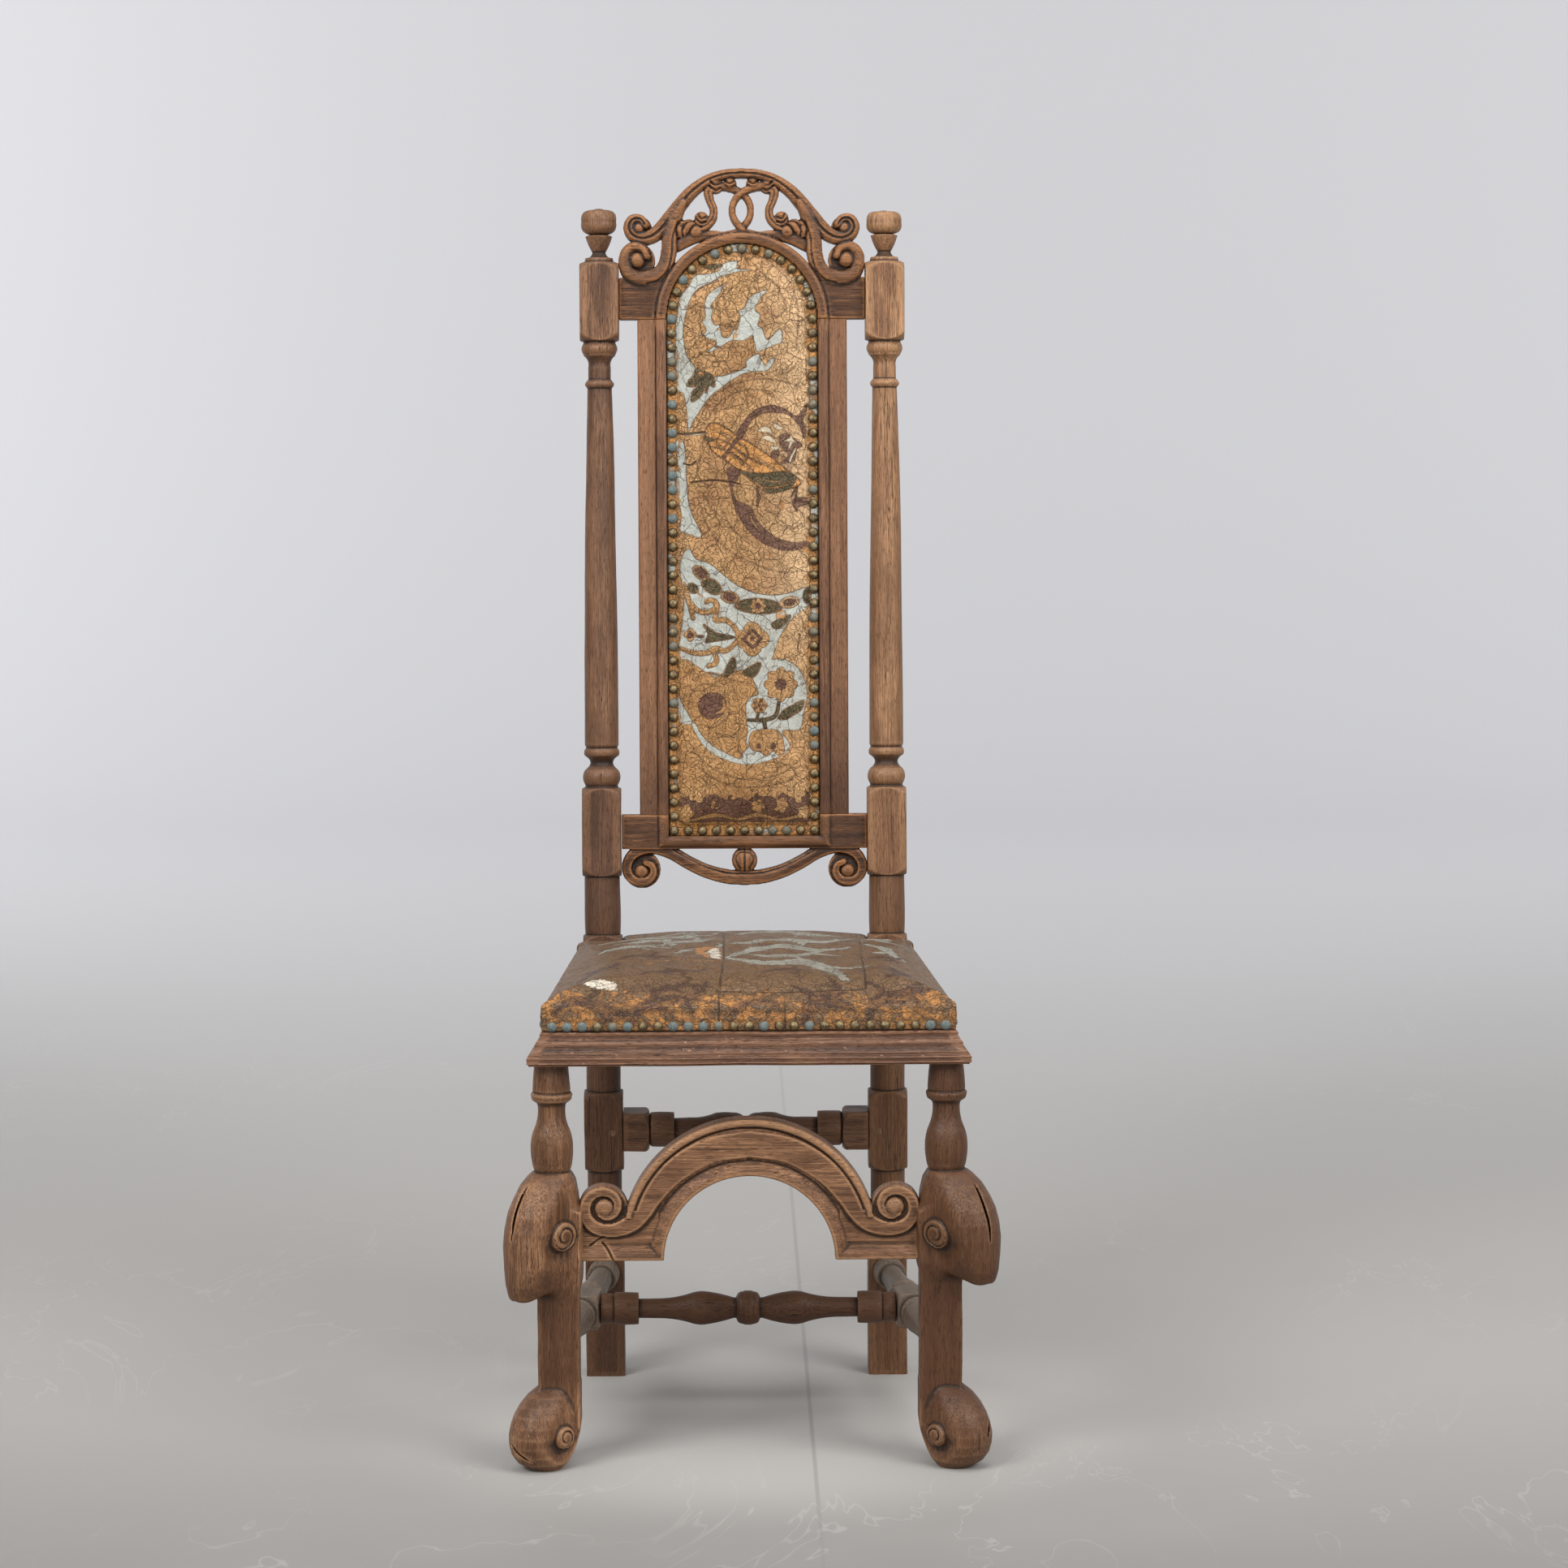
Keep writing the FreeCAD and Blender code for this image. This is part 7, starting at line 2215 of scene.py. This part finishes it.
@dataclass
class Nails:
    """Dome-headed nails set by Geometry Nodes on points, in metres."""

    radius: float = 0.0055
    height: float = 0.0042
    segments: int = 12
    rings: int = 6

    def tree(self, material: Material) -> bpy.types.NodeTree:
        """Tree that sets one domed head on each point, facing as the point says."""
        tree = bpy.data.node_groups.new("nail_heads", "GeometryNodeTree")
        for name, way, kind in (("Points", "INPUT", "Geometry"), ("Radius", "INPUT", "Float"),
                                ("Height", "INPUT", "Float"), ("Heads", "OUTPUT", "Geometry")):
            tree.interface.new_socket(name, in_out=way, socket_type="NodeSocket" + kind)
        g = Graph(tree)
        points, radius, height = (
            g.node("NodeGroupInput", out=name) for name in ("Points", "Radius", "Height")
        )
        sizes = {"Segments": self.segments, "Rings": self.rings, "Radius": radius}
        ball = g.node("GeometryNodeMeshUVSphere", {}, sizes)
        flat = g.node("ShaderNodeMath", {"operation": "DIVIDE"}, {0: height, 1: radius})
        scale = g.node("ShaderNodeCombineXYZ", {}, {"X": 1.0, "Y": 1.0, "Z": flat})
        facing = g.node(
            "GeometryNodeInputNamedAttribute", {"data_type": "FLOAT_VECTOR"}, {"Name": "facing"}
        )
        turn = g.node("FunctionNodeAlignRotationToVector", {"axis": "Z"}, {"Vector": facing})
        heads = g.node("GeometryNodeInstanceOnPoints", {},
                       {"Points": points, "Instance": ball, "Rotation": turn, "Scale": scale})
        real = g.node("GeometryNodeRealizeInstances", {}, {"Geometry": heads})
        smooth = g.node("GeometryNodeSetShadeSmooth", {}, {"Geometry": real})
        paint = g.node("GeometryNodeSetMaterial", {}, {"Geometry": smooth, "Material": material})
        g.add("NodeGroupOutput", {}, {"Heads": paint})
        return tree

    def build(
        self, name: str, node: str, facing: Callable[[Array], Array], patina: Callable[[Array], Array],
        material: Material
    ) -> Piece:
        """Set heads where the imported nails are.

        Args:
            name: Name of the piece.
            node: Solid whose nails give the places.
            facing: Direction of each head from its place.
            patina: Amount of verdigris on each head from its place.
            material: Material of the heads.

        Returns:
            The finished piece.
        """
        lumps = packed_lumps(node)
        middles = np.array([(lump.min(axis=0) + lump.max(axis=0)) / 2 for lump in lumps])
        away = facing(middles)
        away /= np.linalg.norm(away, axis=1)[:, None]
        reach = np.array([((lump - middle) @ way).max() for lump, middle, way in zip(lumps, middles, away)])
        places = middles + (reach - self.height * 0.9)[:, None] * away
        mesh = bpy.data.meshes.new(name)
        mesh.from_pydata(places.tolist(), [], [])
        holder = bpy.data.objects.new(name, mesh)
        bpy.context.scene.collection.objects.link(holder)
        set_values(holder, "facing", away)
        set_values(holder, "patina", patina(places))
        tree = self.tree(material)
        setting = holder.modifiers.new("heads", "NODES")
        setting.node_group = tree
        for item in tree.interface.items_tree:
            if item.in_out == "INPUT" and item.name in ("Radius", "Height"):
                setting[item.identifier] = self.radius if item.name == "Radius" else self.height
        view = bpy.context.evaluated_depsgraph_get()
        heads = bpy.data.meshes.new_from_object(
            holder.evaluated_get(view), preserve_all_data_layers=True, depsgraph=view
        )
        holder.modifiers.clear()
        holder.data = heads
        heads.name = name
        dress(holder, material, [node])
        return holder


def packed_lumps(node: str) -> list[Array]:
    """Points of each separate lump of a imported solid, in metres."""
    mesh = bpy.data.objects[node].data
    points = mesh_points(mesh) * MM
    _, first, same = np.unique(
        np.round(points * 1e5).astype(np.int64), axis=0, return_index=True, return_inverse=True
    )
    edges = np.empty(len(mesh.edges) * 2, dtype=np.int32)
    mesh.edges.foreach_get("vertices", edges)
    ends = same.ravel()[edges].reshape(-1, 2)
    label = np.arange(len(first))
    settled = False
    while not settled:
        least = label.copy()
        np.minimum.at(least, ends[:, 0], label[ends[:, 1]])
        np.minimum.at(least, ends[:, 1], label[ends[:, 0]])
        settled = np.array_equal(least, label)
        label = least
    spots = points[first]
    return [spots[label == value] for value in np.unique(label)]


def back_patina(places: Array) -> Array:
    """Verdigris of the back's nails: most on the upper left side and low on the right."""
    chance = np.random.default_rng(5).uniform(0.0, 0.55, len(places))
    left = (places[:, 0] < -0.05) & (places[:, 2] > 0.93) & (places[:, 2] < 1.22)
    right = (places[:, 0] > 0.05) & (places[:, 2] > 0.70) & (places[:, 2] < 0.76)
    crown = (places[:, 2] > 1.22) & (np.abs(np.abs(places[:, 0]) - 0.03) < 0.012)
    return chance + 0.28 * left + 0.35 * right + 0.3 * crown


def seat_facing(places: Array) -> Array:
    """Directions of the seat's nails: out from the front rail, the side rails and the back rail."""
    ahead = places[:, 1] < places[:, 1].min() + 0.004
    behind = places[:, 1] > places[:, 1].max() - 0.004
    side = np.column_stack((np.sign(places[:, 0]), np.full(len(places), 0.077), np.zeros(len(places))))
    away = np.where(ahead[:, None], (0.0, -1.0, 0.0), side)
    return np.where(behind[:, None], (0.0, 1.0, 0.0), away)


def seat_patina(places: Array) -> Array:
    """Verdigris of the seat's nails, which comes in runs along the front."""
    chance = np.random.default_rng(9).uniform(0.0, 0.5, len(places))
    x = places[:, 0]
    green = (x < -0.165) | (x > 0.175)
    for middle, half in ((-0.132, 0.016), (-0.05, 0.033), (0.008, 0.008), (0.06, 0.008)):
        green |= np.abs(x - middle) < half
    return chance + 0.5 * green


# Cloth under the leather
@dataclass(frozen=True)
class ClothFinish:
    """Plain woven cloth with uneven threads and dust."""

    name: str
    pale: Colour
    dark: Colour
    thread: float

    def make(self) -> Material:
        """Material of the finish."""
        r = Recipe(self.name)
        place = r.values("panel", vector=True)
        parts = [r.part(place, axis) for axis in ("X", "Y")]
        warp, weft = ((part * (math.pi / self.thread)).sine() for part in parts)
        over = (warp * weft).ease(-0.3, 0.3)
        cloth = abs(warp) * over + abs(weft) * (1.0 - over)
        slub = r.noise(r.stretch(place, (0.6, 0.08, 0.3)), 3.0)
        stain = r.noise(r.stretch(place, 0.015), 5.0, 0.65)
        tone = r.mix(self.dark, self.pale, (cloth * 0.6 + slub * 0.4).ease(0.2, 0.8))
        tone = r.mix(tone, dim(self.dark, 0.45), stain.ease(0.5, 0.75) * 0.6)
        return r.close(tone, 0.9, r.bump(cloth + slub * 0.5, 0.0005), {"Specular IOR Level": 0.2})


@dataclass
class Cloths:
    """Linen behind the back, base cloth under the seat and the webbing that carries it, in millimetres."""

    chair: ChairFrame
    linen_half: float = 95.0
    linen_low: float = 590.0
    linen_y: float = 13.2
    thick: float = 0.9

    def slab(
        self, name: str, x: Array, z: Array, kept: Array, front: Array
    ) -> tuple[Array, list[Array], Array]:
        """Thin closed sheet over the kept cells of a net.

        Args:
            name: Name that seeds the unevenness.
            x: First coordinates of the net.
            z: Second coordinates of the net.
            kept: Points of the net that are cloth.
            front: Third coordinate of one face; the other lies a thickness further.

        Returns:
            Points as first, second and third coordinates, faces, and the points without thickness.
        """
        used, quads = net_faces(kept)
        flat = np.column_stack((x.ravel()[used], z.ravel()[used], front.ravel()[used]))
        flat[:, 2] += 0.15 * wobble(flat[:, :2], 55.0, len(name))
        rim = open_edges(quads)
        count = len(flat)
        other = flat + np.array((0.0, 0.0, self.thick))
        skirt = np.column_stack((rim[:, 1], rim[:, 0], rim[:, 0] + count, rim[:, 1] + count))
        faces = np.vstack((quads, quads[:, ::-1] + count, skirt))
        return np.vstack((flat, other)), [faces], np.vstack((flat, flat))

    def net(self, low: Spot, high: Spot, pitch: float) -> tuple[Array, Array]:
        """Even net between two corners."""
        counts = [max(2, round((b - a) / pitch) + 1) for a, b in zip(low, high)]
        return tuple(
            np.meshgrid(*(np.linspace(a, b, n) for a, b, n in zip(low, high, counts)), indexing="ij")
        )

    def linen(self, cloth: Material) -> None:
        """Make the linen stretched over the back of the panel frame."""
        top = self.chair.spring + self.linen_half
        x, z = self.net((-self.linen_half, self.linen_low), (self.linen_half, top), 3.0)
        reach = np.where(z > self.chair.spring, np.hypot(x, z - self.chair.spring), np.abs(x))
        kept = reach < self.linen_half + 0.01
        hollow = 1.1 * np.exp(-(np.maximum(reach - 40.0, 0.0) / 16.0) ** 2)
        points, faces, flat = self.slab("linen", x, z, kept, self.linen_y + 0.2 - hollow * 0.6)
        upright = points[:, [0, 2, 1]]
        piece = build_mesh("linen", self.chair.settle(self.chair.lean(upright)), faces)
        set_values(piece, "panel", flat)
        dress(piece, cloth, ["back_linen"])
        size = (2 * self.linen_half * MM, (top - self.linen_low) * MM)

    def base(self, cloth: Material) -> None:
        """Make the base cloth stretched over the seat rails."""
        low, high = (np.array(corner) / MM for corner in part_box("seat_base_cloth"))
        x, y = self.net((low[0], low[1]), (high[0], high[1]), 4.0)
        share = (y - low[1]) / (high[1] - low[1])
        across = x / high[0] * (high[0] - share * 30.0)
        seat = SeatPad(self.chair)
        kept = outline_distance(across, y - self.chair.post_y, seat.plan(-4.0)) > 0.0
        points, faces, flat = self.slab("base", across, y, kept, np.full(x.shape, low[2] + 0.1))
        piece = build_mesh("base_cloth", points, faces)
        set_values(piece, "panel", flat)
        dress(piece, cloth, ["seat_base_cloth"])

    def webbing(self, cloth: Material) -> None:
        """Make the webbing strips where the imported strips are."""
        points, faces, flats = [], [], []
        start = 0
        for lump in packed_lumps("seat_webbing"):
            low, high = lump.min(axis=0) / MM, lump.max(axis=0) / MM
            x, y = self.net((low[0], low[1]), (high[0], high[1]), 3.0)
            kept = np.ones(x.shape, dtype=bool)
            strip, quads, flat = self.slab("strip", x, y, kept, np.full(x.shape, low[2] + 0.1))
            strip[:, 2] = np.where(strip[:, 2] > low[2] + 0.6, high[2] - 0.1, strip[:, 2])
            points.append(strip)
            faces.append(quads[0] + start)
            flats.append(flat)
            start += len(strip)
        piece = build_mesh("webbing", np.vstack(points), [np.vstack(faces)])
        set_values(piece, "panel", np.vstack(flats))
        dress(piece, cloth, ["seat_webbing"])


# Studio
@dataclass(frozen=True)
class Lamp:
    """Soft square lamp that faces a target, in metres and watts."""

    name: str
    place: Place
    target: Place
    size: float
    power: float

    def build(self) -> None:
        """Add the lamp to the scene."""
        data = bpy.data.lights.new(self.name, "AREA")
        data.size = self.size
        data.energy = self.power
        lamp = bpy.data.objects.new(self.name, data)
        away = (np.array(self.target) - np.array(self.place)).tolist()
        turn = Vector(away).to_track_quat("-Z", "Y")
        lamp.matrix_world = Matrix.Translation(self.place) @ turn.to_matrix().to_4x4()
        bpy.context.scene.collection.objects.link(lamp)


@dataclass
class Studio:
    """Pale sheet that runs from floor to wall, soft lamps and the camera, in metres and degrees."""

    paint: StudioFinish = StudioFinish("pale_sheet", (0.345, 0.332, 0.315), (0.565, 0.565, 0.58))
    near_edge: float = -12.0
    bend_start: float = 4.6
    bend_radius: float = 3.0
    wall_top: float = 9.0
    half_width: float = 16.0
    lamps: Sequence[Lamp] = (
        Lamp("key", (-2.4, -3.0, 3.2), (0.0, 0.0, 0.8), 2.0, 149.0),
        Lamp("fill", (2.6, -2.6, 2.6), (0.0, 0.0, 0.8), 2.0, 105.0),
        Lamp("low", (-0.3, -3.4, 0.7), (0.0, 0.1, 0.1), 1.6, 9.0),
        Lamp("top", (0.3, -0.6, 4.2), (0.0, 0.1, 0.4), 2.4, 84.0),
        Lamp("wall_left", (-4.6, 3.6, 3.0), (-2.4, 7.0, 1.4), 2.0, 178.0),
        Lamp("wall_right", (4.6, 3.6, 3.0), (2.2, 7.0, 1.4), 2.0, 99.0),
    )
    sky_colour: Colour = (1.0, 1.0, 1.02)
    sky_strength: float = 0.435
    focal_share: float = 3.328
    sensor_width: float = 36.0
    clip_end: float = 60.0
    camera_turn: float = 0.93
    camera_tilt: float = 7.51
    camera_roll: float = -0.18
    camera_distance: float = 5.481
    camera_aside: float = 0.0402
    camera_height: float = 1.4105
    camera_back: float = 0.0321

    def sheet(self) -> None:
        """Make the floor that curves up into a wall."""
        start, radius, wide = self.bend_start, self.bend_radius, self.half_width
        curve = [(start + radius * math.sin(a), radius - radius * math.cos(a))
                 for a in np.linspace(0.0, math.pi / 2, 25)]
        path = [(self.near_edge, 0.0), *curve, (start + radius, self.wall_top)]
        points = np.array([(x, y, z) for y, z in path for x in (-wide, wide)])
        faces = [(2 * i, 2 * i + 1, 2 * i + 3, 2 * i + 2) for i in range(len(path) - 1)]
        mesh = bpy.data.meshes.new("studio_sheet")
        mesh.from_pydata(points.tolist(), [], faces)
        mesh.shade_smooth()
        mesh.materials.append(self.paint.make())
        sheet = bpy.data.objects.new("studio_sheet", mesh)
        bpy.context.scene.collection.objects.link(sheet)

    def lights(self) -> None:
        """Light the chair softly from the upper left, with a weak fill from the right and a soft sky."""
        for lamp in self.lamps:
            lamp.build()
        world = bpy.data.worlds.new("soft_sky")
        world.use_nodes = True
        sky = world.node_tree.nodes["Background"]
        sky.inputs["Color"].default_value = (*self.sky_colour, 1.0)
        sky.inputs["Strength"].default_value = self.sky_strength
        bpy.context.scene.world = world

    def camera(self) -> None:
        """Set the camera where the photograph was taken from."""
        turn, tilt, roll = (math.radians(a) for a in (self.camera_turn, self.camera_tilt, self.camera_roll))
        ahead = np.array(
            (math.sin(turn) * math.cos(tilt), math.cos(turn) * math.cos(tilt), -math.sin(tilt))
        )
        right = np.array((math.cos(turn), -math.sin(turn), 0.0))
        up = np.cross(right, ahead)
        across = math.cos(roll) * right + math.sin(roll) * up
        upright = -math.sin(roll) * right + math.cos(roll) * up
        away = self.camera_distance
        stand = (-math.sin(turn) * away, -math.cos(turn) * away - self.camera_back, self.camera_height)
        spot = np.array(stand) + self.camera_aside * across
        data = bpy.data.cameras.new("camera")
        data.sensor_width = self.sensor_width
        data.lens = self.focal_share * self.sensor_width
        data.clip_end = self.clip_end
        camera = bpy.data.objects.new("camera", data)
        axes = np.column_stack((across, upright, -ahead, spot))
        camera.matrix_world = Matrix(np.vstack((axes, (0, 0, 0, 1))).tolist())
        bpy.context.scene.collection.objects.link(camera)
        bpy.context.scene.camera = camera
        bpy.context.scene.view_settings.view_transform = "Standard"


# Finishes of this chair
WOODS = (
    WoodFinish("post_wood", (0.060, 0.026, 0.012), (0.175, 0.080, 0.039), (0.34, 0.175, 0.086), worn=0.35),
    WoodFinish("warm_wood", (0.10, 0.045, 0.020), (0.29, 0.14, 0.066), (0.52, 0.29, 0.14), worn=0.4),
    WoodFinish(
        "crest_wood", (0.034, 0.013, 0.005), (0.112, 0.045, 0.018), (0.37, 0.16, 0.058), 0.02, worn=0.7
    ),
    WoodFinish("leg_wood", (0.078, 0.033, 0.014), (0.23, 0.106, 0.049), (0.46, 0.25, 0.125)),
    WoodFinish("dusty_wood", (0.05, 0.027, 0.015), (0.105, 0.060, 0.036), (0.22, 0.145, 0.095), 0.45),
    WoodFinish("stile_wood", (0.062, 0.025, 0.011), (0.215, 0.096, 0.045), (0.43, 0.21, 0.10), worn=0.4),
    WoodFinish(
        "rail_wood", (0.06, 0.026, 0.014), (0.15, 0.068, 0.036), (0.26, 0.13, 0.07), 0.02, 0.45, grime_and_shade=0.3
    ),
    WoodFinish(
        "hidden_wood", (0.06, 0.03, 0.016), (0.14, 0.075, 0.04), (0.24, 0.14, 0.08), source=Source.OBJECT
    ),
    WoodFinish(
        "peg_oak", (0.07, 0.035, 0.018), (0.16, 0.085, 0.045), (0.27, 0.16, 0.09), source=Source.OBJECT
    ),
)
GILT_LEATHER = LeatherFinish(
    "gilt_leather", gold=(0.475, 0.275, 0.116), shade=(0.205, 0.095, 0.035), blue=(0.37, 0.40, 0.365),
    maroon=(0.085, 0.034, 0.026), green=(0.035, 0.036, 0.015), bare=(0.47, 0.215, 0.06), sheen_and_ruddy=0.5
)
SEAT_LEATHER = LeatherFinish(
    "seat_leather", gold=(0.205, 0.117, 0.054), shade=(0.090, 0.047, 0.022), blue=(0.275, 0.285, 0.245),
    maroon=(0.046, 0.017, 0.011), green=(0.03, 0.03, 0.015), bare=(0.47, 0.205, 0.052),
    cream=(0.66, 0.60, 0.49), metal=0.15, rubbed=0.02, dirt=0.3, ragged=10.0, hold=0.7, patchy=1.9
)
BRASS = NailFinish()
IRON = NailFinish("tack_iron", (0.07, 0.06, 0.055), (0.035, 0.025, 0.02), (0.16, 0.07, 0.03))
LINEN = ClothFinish("linen_cloth", (0.42, 0.34, 0.24), (0.22, 0.17, 0.11), 1.2)
WEBBING = ClothFinish("webbing_cloth", (0.36, 0.27, 0.17), (0.16, 0.11, 0.07), 2.2)


def main() -> None:
    """Build the sub-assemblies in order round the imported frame."""
    logging.basicConfig(level=logging.INFO, format="%(message)s")
    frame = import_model()
    chair = ChairFrame(post_y=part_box("back_post_left")[0][1] / MM + ChairFrame.post_half)
    woods = {finish.name: finish.make() for finish in WOODS}
    back = BackFrame(chair)
    back.posts((woods["post_wood"], woods["warm_wood"]))
    back.crest(woods["crest_wood"])
    back.lower_rail(woods["crest_wood"])
    back.stiles(woods["stile_wood"])
    FrontLegs(chair).build(woods["leg_wood"])
    stretchers = Stretchers(chair)
    stretchers.arch(woods["leg_wood"])
    stretchers.rear(woods["post_wood"])
    stretchers.low(woods["dusty_wood"], woods["leg_wood"])
    SeatFrame(chair).build(woods["rail_wood"])
    BackPanel(chair).build(GILT_LEATHER.make())
    SeatPad(chair).build(SEAT_LEATHER.make())
    brass = BRASS.make()
    front = np.array((0.0, -math.cos(math.radians(chair.rake)), math.sin(math.radians(chair.rake))))
    Nails().build(
        "back_heads", "back_nails", lambda places: np.tile(front, (len(places), 1)), back_patina, brass
    )
    Nails().build("seat_heads", "seat_nails", seat_facing, seat_patina, brass)
    linen = LINEN.make()
    cloths = Cloths(chair)
    cloths.linen(linen)
    cloths.base(linen)
    cloths.webbing(WEBBING.make())
    iron, oak = IRON.make(), woods["peg_oak"]
    kept = {
        "seat_back_rail": woods["hidden_wood"], "back_pegs": oak, "seat_pegs": oak, "stretcher_pegs": oak,
        "linen_tacks": iron, "webbing_tacks": iron
    }
    for name, material in kept.items():
        node = frame["nodes"][name]
        node.data.materials.clear()
        node.data.materials.append(material)
        LOG.info("%s: kept with its own material", name)
    studio = Studio()
    studio.sheet()
    studio.lights()
    studio.camera()


if __name__ == "__main__":
    main()
